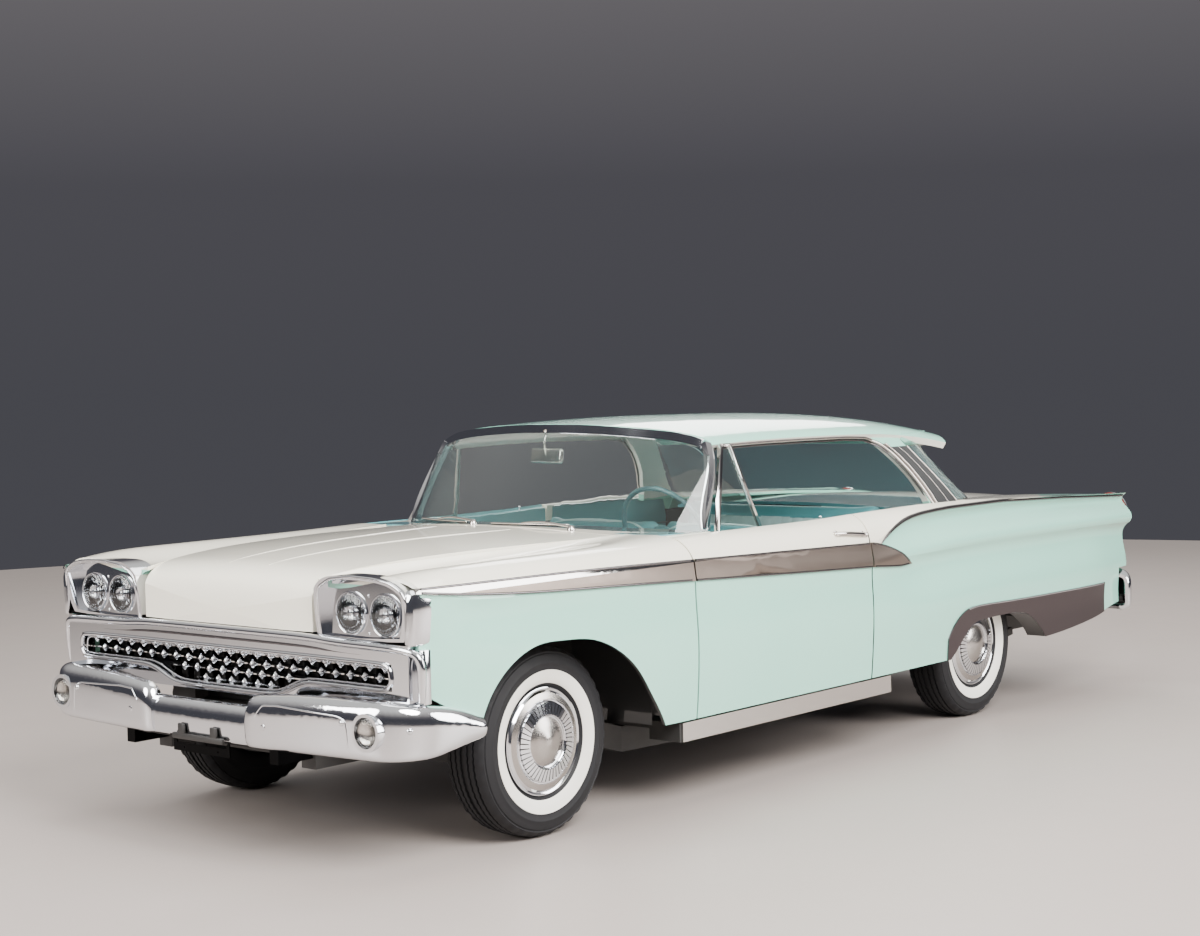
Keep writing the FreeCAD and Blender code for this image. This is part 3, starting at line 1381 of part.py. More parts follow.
for side in (1, -1):
    outer, inner = wheelhouse(side)
    low_room = box(rear_axle - wheel_room, rear_axle + wheel_room,
        min(side * wheelhouse_in, side * half_width),
        max(side * wheelhouse_in, side * half_width), 0, axle_height)
    floor_pan = floor_pan.cut([inner, low_room])
floor_pan = floor_pan.cut(tunnel_bore)
floor_pan = floor_pan.cut([cowl, quarter, mirrored(quarter)])
# Rubber seals on the sills, that the closed doors rest on.
sill_outer = 0.965 * half_width
seal_start = station(-0.010)
door_foot = hem_shares[4][2] * height
seal = box(seal_start, seal_start + size("sill_seal_length"), sill_outer - size("sill_seal_width"),
    sill_outer,
    sill_top - floor_wall / 2, door_foot + floor_wall / 2)
seal = seal.cut(door.translated(Vector(0, 0, -seat_gap)))
floor_pan = floor_pan.fuse([seal, mirrored(seal)])
keep("floor_pan", floor_pan)

# Aprons beside the engine, with the radiator support at their front.
rail_width = size("frame_rail_width")
rail_depth = size("frame_rail_depth")
apron_y = rail_front_y + rail_width / 2
apron_front_share = 0.905
apron_front = station(apron_front_share)
apron_low = rail_level_front + rail_depth / 2 + seat_gap
apron_top = 0.585 * height
apron = box(firewall_x, apron_front, apron_y - floor_wall, apron_y, apron_low, apron_top)
support = box(apron_front, apron_front + floor_wall, -apron_y, apron_y, apron_low, apron_top)
window = box(apron_front - overrun, apron_front + overrun, -0.7 * apron_y, 0.7 * apron_y,
    apron_low * 1.15, apron_top * 0.93)
aprons = support.cut(window).fuse([apron, mirrored(apron)])
tower_room = size("arm_width * 0.75")
tower_top = axle_height + size("knuckle_half_height + arm_wall * 2")
tower_gap = box(front_axle - tower_room, front_axle + tower_room, -half_width, half_width, 0, tower_top)
aprons = aprons.cut([cowl, tower_gap])
# Rubber buffers on the radiator support, that the closed hood rests on.
for side in (1, -1):
    buffer_y = side * 0.300 * half_width
    buffer_start = Vector(apron_front + floor_wall / 2, buffer_y, apron_top - floor_wall)
    hood_level = interpolate(hood_profile_shares[:8],
        apron_front_share) * height - fall(buffer_y) - lid_wall / 2
    buffer = Part.makeCylinder(size("buffer_radius"), hood_level - buffer_start.z, buffer_start)
    aprons = aprons.fuse(buffer.cut(hood_shape.translated(Vector(0, 0, -seat_gap))))
keep("engine_aprons", aprons)

# Perimeter frame: two rails that sweep out beside the cabin and kick up over the axle.
left_rail = rail([at(*row) for row in rail_shares], rail_width, rail_depth)
frame_pieces = [mirrored(left_rail)]
for x_share, y_share, z_share in ((0.920, 0.40, 0.245), (0.35, 0.69, 0.148), (-0.06, 0.69, 0.148),
    (-0.215, 0.69, 0.148), (-0.90, 0.52, 0.240)):
    centre = at(x_share, 0, z_share)
    reach = y_share * half_width
    frame_pieces.append(box(centre.x - rail_width / 2, centre.x + rail_width / 2, -reach, reach,
        centre.z - rail_depth * 0.16, centre.z + rail_depth * 0.16))
chassis = left_rail.fuse(frame_pieces)
keep("chassis_frame", chassis)

# One plain block for the engine, with the gearbox behind it.
engine_rear = station(0.480)
engine_low = 0.215 * height
engine_length = size("engine_length")
engine_half = size("engine_width / 2")
engine_top = engine_low + size("engine_depth")
shaft_level = 0.235 * height
engine = box(engine_rear, engine_rear + engine_length, -engine_half, engine_half, engine_low, engine_top)
gearbox_radius = size("gearbox_radius")
gearbox = Part.makeCone(gearbox_radius, gearbox_radius * 0.55, size("gearbox_length"),
    Vector(engine_rear, 0, shaft_level), Vector(-1, 0, 0))
keep("engine_block", engine.fuse(gearbox))


def pipe_run(points, radius):
    """Round pipe along straight runs, with a ball at each bend."""
    pieces = []
    for a, b in zip(points, points[1:]):
        pieces.append(Part.makeCylinder(radius, (b - a).Length, a, b - a))
    for p in points[1:-1]:
        pieces.append(Part.makeSphere(radius, p))
    return pieces[0].fuse(pieces[1:])


pipe_radius = size("pipe_radius")
muffler_width = size("muffler_width")
muffler_depth = size("muffler_depth")
pipe_level = 0.1765 * height
pipe_side = -0.440 * half_width
pipe_shares = [
    (0.560, -0.330, 0.215), (0.500, -0.440, 0.1765), (-0.300, -0.440, 0.1765), (-0.370, -0.440, 0.320),
    (-0.530, -0.440, 0.330), (-0.620, -0.440, 0.205), (-0.975, -0.440, 0.200),
]
exhaust = pipe_run([at(*row) for row in pipe_shares], pipe_radius)
muffler_x = station(0.050)
muffler = box(muffler_x, muffler_x + size("muffler_length"), pipe_side - muffler_width / 2,
    pipe_side + muffler_width / 2,
    pipe_level - muffler_depth / 2, pipe_level + muffler_depth / 2)
muffler = muffler.makeFillet(muffler_depth * 0.48,
    [e for e in muffler.Edges if abs(e.tangentAt(e.FirstParameter).x) > 0.9])
exhaust = exhaust.fuse(muffler).cut(chassis.translated(Vector(0, 0, -seam_gap)))
keep("exhaust", exhaust)

# Rear axle with its differential, shaft and leaf springs.
axle_radius = size("axle_tube_radius")
drum_inner = size("rear_track / 2 + disc_place - drum_depth")
running_gap = size("running_gap")
plate_radius = size("backing_plate_radius")
plate_wall = size("backing_plate_wall")
spindle_radius = size("spindle_radius")
tube_end = drum_inner - running_gap - plate_wall
shaft_end = size("rear_track / 2 + disc_place") - running_gap
axle_centre = Vector(rear_axle, 0, axle_height)
sideways = Vector(0, 1, 0)
axle_parts = [Part.makeSphere(size("differential_radius"), axle_centre)]
axle_parts.append(Part.makeCylinder(plate_radius, 2 * (tube_end + plate_wall),
    axle_centre - sideways * (tube_end + plate_wall), sideways))
tube_room = Part.makeCylinder(plate_radius * 2, 2 * tube_end, axle_centre - sideways * tube_end, sideways)
plates = axle_parts.pop().cut(tube_room)
tube = Part.makeCylinder(axle_radius, 2 * tube_end, axle_centre - sideways * tube_end, sideways)
half_shaft = Part.makeCylinder(spindle_radius, 2 * shaft_end, axle_centre - sideways * shaft_end, sideways)
gearbox_end = engine_rear - size("gearbox_length") - seat_gap
driveshaft = Part.makeCylinder(size("driveshaft_radius"), gearbox_end - rear_axle, axle_centre,
    Vector(1, 0, 0))
spring_y = 0.596 * half_width
spring_width = size("spring_width")
spring_depth = size("spring_depth")
spring_low = axle_height - axle_radius - spring_depth / 2
spring_length = size("spring_length")
spring_points = [
    Vector(rear_axle + spring_length * 0.48, spring_y, spring_low + spring_depth * 0.3),
    Vector(rear_axle + spring_length * 0.25, spring_y, spring_low - spring_depth * 0.1),
    Vector(rear_axle, spring_y, spring_low - spring_depth * 0.2),
    Vector(rear_axle - spring_length * 0.27, spring_y, spring_low),
    Vector(rear_axle - spring_length * 0.52, spring_y, spring_low + spring_depth * 0.9),
]
spring = strip(spring_points, [Vector(0, 1, 0)] * len(spring_points), spring_width, spring_depth)
front_eye = spring_points[0]
rear_eye = spring_points[-1]
front_hanger = box(front_eye.x - spring_depth, front_eye.x, spring_y, 0.656 * half_width,
    front_eye.z - spring_depth, front_eye.z + spring_depth)
rear_hanger = box(rear_eye.x, rear_eye.x + spring_depth, 0.5575 * half_width, spring_y,
    rear_eye.z - spring_depth, rear_eye.z + spring_depth)
perch = box(rear_axle - spring_width, rear_axle + spring_width, spring_y - spring_width / 2,
    spring_y + spring_width / 2, spring_low, axle_height)
left_springs = [spring, front_hanger, rear_hanger, perch]
right_springs = [mirrored(piece) for piece in left_springs]
rear_running = axle_parts[0].fuse([plates, tube, half_shaft, driveshaft] + left_springs + right_springs)
rear_running = rear_running.cut([chassis, engine])
keep("rear_axle", rear_running)

# Front suspension: a cross beam under the rails and two pairs of arms.
kingpin_y = size("front_track / 2 - kingpin_offset")
knuckle_half = size("knuckle_half_height")
arm_half = size("arm_width / 2")
arm_wall = size("arm_wall")
rail_level = 0.245 * height
rail_outer = 0.395 * half_width + rail_width / 2
low_arm_top = axle_height - knuckle_half - seat_gap
high_arm_low = axle_height + knuckle_half + seat_gap
beam = box(front_axle - arm_half * 1.5, front_axle + arm_half * 1.5, -rail_outer, rail_outer,
    low_arm_top - arm_wall, rail_level - rail_depth / 2 - seat_gap)
front_parts = []
for side in (1, -1):
    inner = side * rail_outer * 0.9
    outer = side * kingpin_y
    low = box(front_axle - arm_half, front_axle + arm_half, min(inner, outer), max(inner, outer),
        low_arm_top - arm_wall, low_arm_top)
    high = box(front_axle - arm_half, front_axle + arm_half, min(inner, outer), max(inner, outer),
        high_arm_low, high_arm_low + arm_wall)
    low_ball = Part.makeCylinder(arm_half, arm_wall, Vector(front_axle, outer, low_arm_top - arm_wall))
    high_ball = Part.makeCylinder(arm_half, arm_wall, Vector(front_axle, outer, high_arm_low))
    tower = box(front_axle - arm_half, front_axle + arm_half, min(inner, inner * 0.9),
        max(inner, inner * 0.9), rail_level + rail_depth / 2 + seat_gap, high_arm_low + arm_wall)
    front_parts += [low, low_ball, tower, high, high_ball]
front_beam = beam.fuse(front_parts)
keep("front_suspension", front_beam)

# Wheels. Sketch X is the radius and sketch Y points outwards from the wheel's middle.
tyre_outline = [
    ("bead_radius", "0 - bead_width / 2"),
    ("rim_flange + seat_gap", "0 - bead_width / 2"),
    ("( bead_radius + tyre_radius ) / 2", "0 - tyre_width / 2", "tyre_radius - tread_crown",
        "0 - tread_width / 2"),
    ("tyre_radius", "0", "tyre_radius - tread_crown", "tread_width / 2"),
    ("( bead_radius + tyre_radius ) / 2", "tyre_width / 2", "rim_flange + seat_gap", "bead_width / 2"),
    ("bead_radius", "bead_width / 2"),
]
rim_face = "bead_width / 2 + seat_gap"
wheel_outline = [
    ("0", "bead_width / 2 + rim_wall + cover_tip_rise"),
    ("0", "disc_place"),
    ("spindle_radius + spindle_clearance", "disc_place"),
    ("spindle_radius + spindle_clearance", "disc_place - drum_depth"),
    ("drum_radius", "disc_place - drum_depth"),
    ("drum_radius", "disc_place"),
    ("bead_radius - rim_wall", "disc_place"),
    ("bead_radius - rim_wall", "0 - bead_width / 2 - rim_wall"),
    ("rim_flange", "0 - bead_width / 2 - rim_wall"),
    ("rim_flange", "0 - bead_width / 2 - seat_gap"),
    ("bead_radius - seat_gap", "0 - bead_width / 2 - seat_gap"),
    ("bead_radius - seat_gap", rim_face),
    ("rim_flange", rim_face),
    ("rim_flange", "bead_width / 2 + rim_wall"),
    ("cover_slot_outer", "bead_width / 2 + rim_wall + cover_rise"),
    ("cover_slot_inner", "bead_width / 2 + rim_wall + cover_slot_rise"),
    ("cover_cone_radius", "bead_width / 2 + rim_wall + cover_base_rise"),
]
wheel_places = {
    "front_left": ("Sizes.overall_length / 2 - Sizes.front_overhang", "Sizes.front_track / 2", 0),
    "front_right": ("Sizes.overall_length / 2 - Sizes.front_overhang", "0 - Sizes.front_track / 2", 180),
    "rear_left": (
        "Sizes.overall_length / 2 - Sizes.front_overhang - Sizes.wheelbase", "Sizes.rear_track / 2", 0),
    "rear_right": (
        "Sizes.overall_length / 2 - Sizes.front_overhang - Sizes.wheelbase", "0 - Sizes.rear_track / 2", 180),
}


def stand(body, x_rule, y_rule, z_rule, turned=0):
    """Places a body by rules on the sheet; the driver's side copy is turned half round."""
    upright = Vector(0, 0, 1)
    body.Placement = FreeCAD.Placement(Vector(0, 0, 0), FreeCAD.Rotation(upright, turned))
    bind(body, {"Placement.Base.x": x_rule, "Placement.Base.y": y_rule, "Placement.Base.z": z_rule})


def fins_round(body, profile):
    """Radial fins between the cover's two rings, with gaps that read as slots."""
    fin = sketch_on(body, "XZ_Plane")
    fin.setExpression("AttachmentOffset.Base.z", "0 - ( Sizes.bead_width / 2 + Sizes.rim_wall )")
    outline(fin, [
        ("cover_slot_inner", "0 - fin_width / 2"),
        ("cover_slot_outer", "0 - fin_width / 2"),
        ("cover_slot_outer", "fin_width / 2"),
        ("cover_slot_inner", "fin_width / 2"),
    ])
    first = pad(body, fin, "cover_slot_rise + fin_rise", reverse=True)
    pattern = body.newObject("PartDesign::PolarPattern", body.Label + "_fins")
    pattern.Originals = [first]
    pattern.Axis = (profile, ["V_Axis"])
    pattern.Angle = 360
    bind(pattern, {"Occurrences": "Sizes.fin_count"})
    body.Tip = pattern


for corner, (x_rule, y_rule, turned) in wheel_places.items():
    for label, places in (("tyre_", tyre_outline), ("wheel_", wheel_outline)):
        piece = keep_body(label + corner)
        profile = sketch_on(piece, "XY_Plane")
        outline(profile, places)
        turn(piece, profile, "V_Axis")
        if label == "wheel_":
            fins_round(piece, profile)
        stand(piece, x_rule, y_rule, "Sizes.tyre_radius", turned)

# Knuckles: an upright on the kingpin axis with its spindle and backing plate.
for side_name, turned in (("left", 0), ("right", 180)):
    sign = "" if turned == 0 else "0 - "
    piece = keep_body("knuckle_" + side_name)
    upright = sketch_on(piece, "XZ_Plane")
    outline(upright, [
        ("0 - knuckle_radius", "0 - knuckle_half_height"),
        ("knuckle_radius", "0 - knuckle_half_height"),
        ("knuckle_radius", "knuckle_half_height"),
        ("0 - knuckle_radius", "knuckle_half_height"),
    ])
    pad(piece, upright, "2 * knuckle_radius", middle=True)
    spindle = sketch_on(piece, "XY_Plane")
    outline(spindle, [
        ("0", "0"),
        ("spindle_radius", "0"),
        ("spindle_radius", "kingpin_offset + disc_place - drum_depth - running_gap - backing_plate_wall"),
        ("backing_plate_radius",
            "kingpin_offset + disc_place - drum_depth - running_gap - backing_plate_wall"),
        ("backing_plate_radius", "kingpin_offset + disc_place - drum_depth - running_gap"),
        ("spindle_radius", "kingpin_offset + disc_place - drum_depth - running_gap"),
        ("spindle_radius", "kingpin_offset + disc_place - running_gap"),
        ("0", "kingpin_offset + disc_place - running_gap"),
    ])
    turn(piece, spindle, "V_Axis")
    y_rule = f"{sign}( Sizes.front_track / 2 - Sizes.kingpin_offset )"
    stand(piece, "Sizes.overall_length / 2 - Sizes.front_overhang", y_rule, "Sizes.tyre_radius", turned)

# Fuel tank under the boot floor, and the bench seats.
tank = keep_body("fuel_tank")
tank_sketch = sketch_on(tank, "XZ_Plane")
outline(tank_sketch, [
    ("0", "0"),
    ("0", "0 - tank_depth * 0.8"),
    ("0 - tank_length * 0.1", "0 - tank_depth"),
    ("0 - tank_length", "0 - tank_depth"),
    ("0 - tank_length", "0"),
])
pad(tank, tank_sketch, "tank_width", middle=True)
stand(tank, "Sizes.overall_length / 2 - Sizes.front_overhang - Sizes.wheelbase * 1.1497", "0",
    "0.300 * Sizes.overall_height - Sizes.floor_wall - Sizes.seat_gap")

front_seat = keep_body("front_seat")
front_seat_sketch = sketch_on(front_seat, "XZ_Plane")
outline(front_seat_sketch, [
    ("0", "cushion_level - seat_pad"),
    ("seat_length", "cushion_level - seat_pad"),
    ("seat_length + seat_pad * 0.2", "cushion_level"),
    ("seat_back_pad * 0.75", "cushion_level - seat_pad * 0.25"),
    ("0 - seat_back_pad * 0.05", "seat_back_level"),
    ("0 - seat_back_pad", "seat_back_level"),
])
pad(front_seat, front_seat_sketch, "seat_width", middle=True)
for sign in ("", "0 - "):
    riser = sketch_on(front_seat, "YZ_Plane")
    outline(riser, [
        (f"{sign}seat_width * 0.2", "0"),
        (f"{sign}seat_width * 0.45", "0"),
        (f"{sign}seat_width * 0.45", "cushion_level - seat_pad * 0.9"),
        (f"{sign}seat_width * 0.2", "cushion_level - seat_pad * 0.9"),
    ])
    pad(front_seat, riser, "seat_length * 0.9")
stand(front_seat, "Sizes.overall_length / 2 - Sizes.front_overhang - Sizes.wheelbase * 0.5548", "0",
    "Sizes.floor_level + Sizes.seat_gap")

rear_seat = keep_body("rear_seat")
rear_seat_sketch = sketch_on(rear_seat, "XZ_Plane")
outline(rear_seat_sketch, [
    ("0 - wheelbase * 0.0282", "overall_height * 0.05 - floor_wall * 8 + seat_gap"),
    ("wheelbase * 0.082 - floor_wall * 4", "overall_height * 0.05 - floor_wall * 8 + seat_gap"),
    ("rear_seat_length", "cushion_level - rear_seat_step - seat_pad * 1.1"),
    ("rear_seat_length + seat_pad * 0.2", "cushion_level - rear_seat_step"),
    ("seat_back_pad * 0.9", "cushion_level - rear_seat_step - seat_pad * 0.2"),
    ("0 - seat_back_pad * 0.15", "seat_back_level - rear_seat_step"),
    ("0 - seat_back_pad", "seat_back_level - rear_seat_step"),
])
pad(rear_seat, rear_seat_sketch, "rear_seat_width", middle=True)
stand(rear_seat, "Sizes.overall_length / 2 - Sizes.front_overhang - Sizes.wheelbase * 0.8571", "0",
    "0.350 * Sizes.overall_height")

# Steering wheel: rim, dished spokes and hub, on the axis of its leaning column.
steering = keep_body("steering_wheel")
rim_sketch = sketch_on(steering, "XY_Plane")
rim_centre = Vector(size("steering_wheel_radius"), 0, 0)
circle = rim_sketch.addGeometry(Part.Circle(rim_centre, Vector(0, 0, 1), size("steering_rim_radius")), False)
rule = rim_sketch.addConstraint(Sketcher.Constraint("Radius", circle, size("steering_rim_radius")))
rim_sketch.setExpression(f"Constraints[{rule}]", "Sizes.steering_rim_radius")
pin_point(rim_sketch, circle, 3, ("steering_wheel_radius", "0"))
turn(steering, rim_sketch, "V_Axis")
hub_sketch = sketch_on(steering, "XY_Plane")
outline(hub_sketch, [
    ("0", "steering_rim_radius"),
    ("0", "0 - steering_hub_depth"),
    ("steering_hub_radius * 0.7", "0 - steering_hub_depth"),
    ("steering_hub_radius", "0"),
    ("steering_hub_radius * 0.8", "steering_rim_radius * 0.8"),
])
turn(steering, hub_sketch, "V_Axis")
spoke_sketch = sketch_on(steering, "YZ_Plane")
outline(spoke_sketch, [
    ("0 - steering_hub_depth * 0.3", "0 - steering_spoke_radius"),
    ("0", "0 - steering_spoke_radius"),
    ("0", "steering_spoke_radius"),
    ("0 - steering_hub_depth * 0.3", "steering_spoke_radius"),
])
pad(steering, spoke_sketch, "2 * steering_wheel_radius", middle=True)
lean = math.radians(size("column_angle"))
to_driver = Vector(-math.cos(lean), 0, math.sin(lean))
wheel_up = Vector(math.sin(lean), 0, math.cos(lean))
steering_turn = FreeCAD.Rotation(sideways, to_driver, wheel_up, "XYZ")
steering.Placement = FreeCAD.Placement(Vector(0, 0, 0), steering_turn)
bind(steering, {
    "Placement.Base.x": "Sizes.overall_length / 2 - Sizes.front_overhang - Sizes.steering_wheel_back",
    "Placement.Base.y": "Sizes.steering_wheel_side",
    "Placement.Base.z": "Sizes.steering_wheel_height",
})

# Dashboard under the windscreen, with the steering column that it carries.
dash_shares = [
    (0.405, 0.640), (0.300, 0.560), (0.268, 0.560), (0.262, 0.640), (0.266, 0.680), (0.285,
        0.694), (0.408, 0.700),
]
dash_points = side_points(dash_shares)
dash_side = 0.800 * half_width
dash = side_prism([dash_points[:2], dash_points[1:3], dash_points[2:6], dash_points[5:7],
    [dash_points[6], dash_points[0]]],
    -dash_side, dash_side)
steering_x = front_axle - size("steering_wheel_back")
steering_centre = Vector(steering_x, size("steering_wheel_side"), size("steering_wheel_height"))
column_start = steering_centre - to_driver * (size("steering_hub_depth") + seat_gap)
column = Part.makeCylinder(size("column_radius"), size("column_length"), column_start, to_driver * -1)
dash = dash.fuse(column)
room_behind = box(firewall_x - floor_wall - seat_gap, firewall_x + 4 * overrun, -half_width, half_width,
    0, height)
dash = dash.cut([cowl, room_behind, windscreen, frame, fender, mirrored(fender)])
keep("dashboard", dash)

# Bright trim on the flanks: thin solids that stand proud of the skin.
trim_wall = size("trim_wall")


def trim_section(x, outside, inside):
    """A band from above the shoulder to below the crease, between two offsets of the skin."""
    run = [guide(table, x) for table in (upper_shares, shoulder_shares)]
    flank = flank_run(x)
    low = [guide(table, x) for table in (crease_shares, haunch_shares)]
    line = run + flank[1:] + low[1:]
    outer = inward(line, -outside)
    inner = inward(line, -inside)
    return wire(outer[:2], outer[1:5], outer[4:], [outer[-1], inner[-1]], inner[4:][::-1],
        inner[1:5][::-1], inner[:2][::-1])


spear_top_shares = [(0.944, 0.6555), (0.800, 0.6545), (0.578, 0.650), (0.4168, 0.6430), (0.200, 0.6335),
    (-0.048, 0.6225), (-0.110, 0.5950), (-0.168, 0.5375)]
spear_low_shares = [(0.944, 0.6440), (0.800, 0.6180), (0.578, 0.5990), (0.4168, 0.5865), (0.200, 0.5690),
    (-0.048, 0.5505), (-0.110, 0.5420), (-0.168, 0.5370)]
spear_top = side_points(spear_top_shares)
spear_low = side_points(spear_low_shares)
spear_zone = side_prism([spear_top[:6], spear_top[5:], [spear_top[-1], spear_low[-1]],
    spear_low[5:][::-1], spear_low[:6][::-1], [spear_low[0], spear_top[0]]], 0, 2 * half_width)
trim_stations = spaced(station(0.944), station(-0.175), 16)
trim_band = lofted(trim_stations, trim_section, trim_wall, seat_gap)
spear = trim_band.common(spear_zone)
behind_door = box(-half_length, door_rear - shut_gap, 0, half_width * 2, 0, height)
spear_fender = spear.cut(door_region(shut_gap, overrun * 10))
spear_fender = spear_fender.common(box(door_front[0].x, half_length, 0, half_width * 2, 0,
    height)).cut(fender)
spear_door = spear.common(door_region(0, 0))
spear_quarter = spear.common(behind_door).cut(quarter)

# Bright shield on the lower quarter, from ahead of the rear wheel to the tail.
shield_top_shares = [
    (-0.2737, 0.2936), (-0.2972, 0.3448), (-0.3301, 0.3756), (-0.3634, 0.3819), (-0.4486, 0.3791),
    (-0.6288, 0.3735), (-0.8650, 0.3707),
]
shield_foot_share = 0.2100
shield_wall = size("shield_wall")


def shield_section(x, outside, inside):
    """A band over the lower flank, from the crease to the hem, between two offsets of the skin."""
    line = lower_run(x)
    outer = inward(line, -outside)
    inner = inward(line, -inside)
    return wire(outer, [outer[-1], inner[-1]], inner[::-1])


shield_top = side_points(shield_top_shares)
shield_front = Vector(shield_top[0].x, 0, shield_foot_share * height)
shield_rear = Vector(shield_top[-1].x, 0, shield_foot_share * height)
shield_zone = side_prism([shield_top, [shield_top[-1], shield_rear], [shield_rear, shield_front],
    [shield_front, shield_top[0]]], 0, 2 * half_width)
shield_stations = spaced(shield_top[0].x + overrun, shield_top[-1].x - overrun, 9)
shield = lofted(shield_stations, shield_section, shield_wall, seat_gap).common(shield_zone)
shield = shield.cut([rear_arch, quarter, floor_pan])

# Sill moulding under the door.
moulding_wall = size("moulding_wall")
moulding = box(door_rear - 4 * overrun, firewall_x - floor_wall, sill_outer + seat_gap,
    sill_outer + moulding_wall, sill_low, sill_top)
body_trim = Part.makeCompound([part for piece in (spear_fender, spear_quarter, moulding, shield)
    for part in piece.Solids])
body_trim = Part.makeCompound(body_trim.Solids + mirrored(body_trim).Solids)
keep("body_trim", body_trim)

# Door furniture: the spear's middle length, the handle, and the vent window with its frame.
handle_x = station(0.0)
handle_length = size("handle_length")
handle_skin = guide(upper_shares, handle_x)
handle_base = guide(shoulder_shares, handle_x)
handle_spot = (handle_skin * 0.45) + (handle_base * 0.55)
handle_wall = size("handle_wall")
handle = box(handle_x - handle_length / 2, handle_x + handle_length / 2,
    handle_spot.y + handle_wall * 0.3, handle_spot.y + handle_wall * 2.2,
    handle_spot.z - handle_wall * 0.6, handle_spot.z + handle_wall * 0.6)
handle = handle.cut(door_outer.translated(Vector(0, seat_gap, 0)))
vent_foot_share = 0.690
vent_head_share = 0.922
vent_foot_side = 0.862
vent_head_side = 0.760


def vent_point(x_share, z_share):
    """A point of the vent window's plane, which leans in towards the roof."""
    rise = (z_share - vent_foot_share) / (vent_head_share - vent_foot_share)
    return at(x_share, vent_foot_side + (vent_head_side - vent_foot_side) * rise, z_share)


vent_post_shares = [(0.296, vent_foot_share), (0.266, 0.800), (0.244, 0.885), (0.234, vent_head_share)]
vent_bar_shares = [(0.234, vent_head_share), (0.214, vent_head_share), (0.190, vent_foot_share)]
vent_wall = size("vent_bar")
vent_post = strip([vent_point(*share) for share in vent_post_shares], [Vector(1, 0, 0)] * 4, vent_wall,
    vent_wall, ruled=True)
vent_corner = [vent_point(*share) for share in vent_bar_shares]
vent_divider = strip(vent_corner[1:], [Vector(1, 0, 0)] * 2, vent_wall, vent_wall, ruled=True)
vent_head = strip(vent_corner[:2], [Vector(0, 0, 1)] * 2, vent_wall, vent_wall, ruled=True)
vent_frame = vent_post.fuse([vent_divider, vent_head])
vent_frame = vent_frame.cut(door.translated(Vector(0, 0, seat_gap)))
pane_shares = [(0.2945, 0.694), (0.264, 0.800), (0.240, 0.885), (0.235, 0.917), (0.2150, 0.917),
    (0.1915, 0.694)]
pane_corners = [vent_point(*share) for share in pane_shares]
pane_face = Part.Face(Part.makePolygon(pane_corners + pane_corners[:1]))
pane_normal = pane_face.normalAt(0, 0)
pane = pane_face.translated(pane_normal * (-glass_wall / 2)).extrude(pane_normal * glass_wall)
pane = pane.cut([vent_frame, door.translated(Vector(0, 0, seat_gap))])
for side_name, flip in (("left", lambda shape: shape), ("right", mirrored)):
    door_trim = Part.makeCompound([flip(part) for piece in (spear_door, handle, vent_frame)
        for part in piece.Solids])
    keep("door_trim_" + side_name, door_trim)
    keep("vent_glass_" + side_name, flip(pane))

doc.recompute()
for item in doc.Objects:
    if "Invalid" in item.State or "Error" in item.State:
        raise RuntimeError(f"{item.Label} failed to rebuild")
for piece in sub_parts:
    if piece.Shape.isNull() or not piece.Shape.isValid():
        raise RuntimeError(f"{piece.Label} has no valid shape")
for piece in sub_parts:
    piece.Shape.exportStep(f"parts/{piece.Label}.step")
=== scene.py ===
"""Looks of a late-1950s two-door hardtop: two-tone enamel, plated trim, whitewall tyres and cabin.

Run as a script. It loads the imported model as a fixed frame, adds the pieces that ride on it, gives
every surface its finish, and sets the floor, lights and camera.
"""

import json
import math

import bmesh
import bpy
from bpy.props import FloatProperty, IntProperty, PointerProperty, StringProperty
from mathutils import Matrix, Vector
from mathutils.bvhtree import BVHTree


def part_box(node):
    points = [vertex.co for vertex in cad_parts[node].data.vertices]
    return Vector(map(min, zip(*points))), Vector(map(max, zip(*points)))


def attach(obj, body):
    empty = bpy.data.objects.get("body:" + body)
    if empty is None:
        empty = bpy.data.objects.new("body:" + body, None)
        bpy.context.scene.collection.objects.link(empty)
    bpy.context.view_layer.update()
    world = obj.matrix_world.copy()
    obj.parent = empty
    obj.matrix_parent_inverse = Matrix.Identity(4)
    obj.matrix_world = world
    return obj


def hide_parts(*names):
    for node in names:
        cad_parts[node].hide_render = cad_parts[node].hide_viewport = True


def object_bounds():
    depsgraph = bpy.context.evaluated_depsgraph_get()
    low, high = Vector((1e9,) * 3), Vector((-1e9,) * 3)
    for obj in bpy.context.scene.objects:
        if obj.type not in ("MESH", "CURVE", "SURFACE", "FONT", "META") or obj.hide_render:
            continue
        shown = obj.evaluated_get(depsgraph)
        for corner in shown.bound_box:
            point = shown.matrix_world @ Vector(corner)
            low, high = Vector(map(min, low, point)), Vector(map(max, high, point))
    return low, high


bl_info = {
    "name": "Classic Hardtop Dresser",
    "version": (1, 0, 0),
    "blender": (4, 5, 0),
    "location": "3D View > Sidebar > Hardtop",
    "description": "Dresses the packed hardtop car with paint, trim, tyres, lamps and cabin",
    "category": "Object",
}

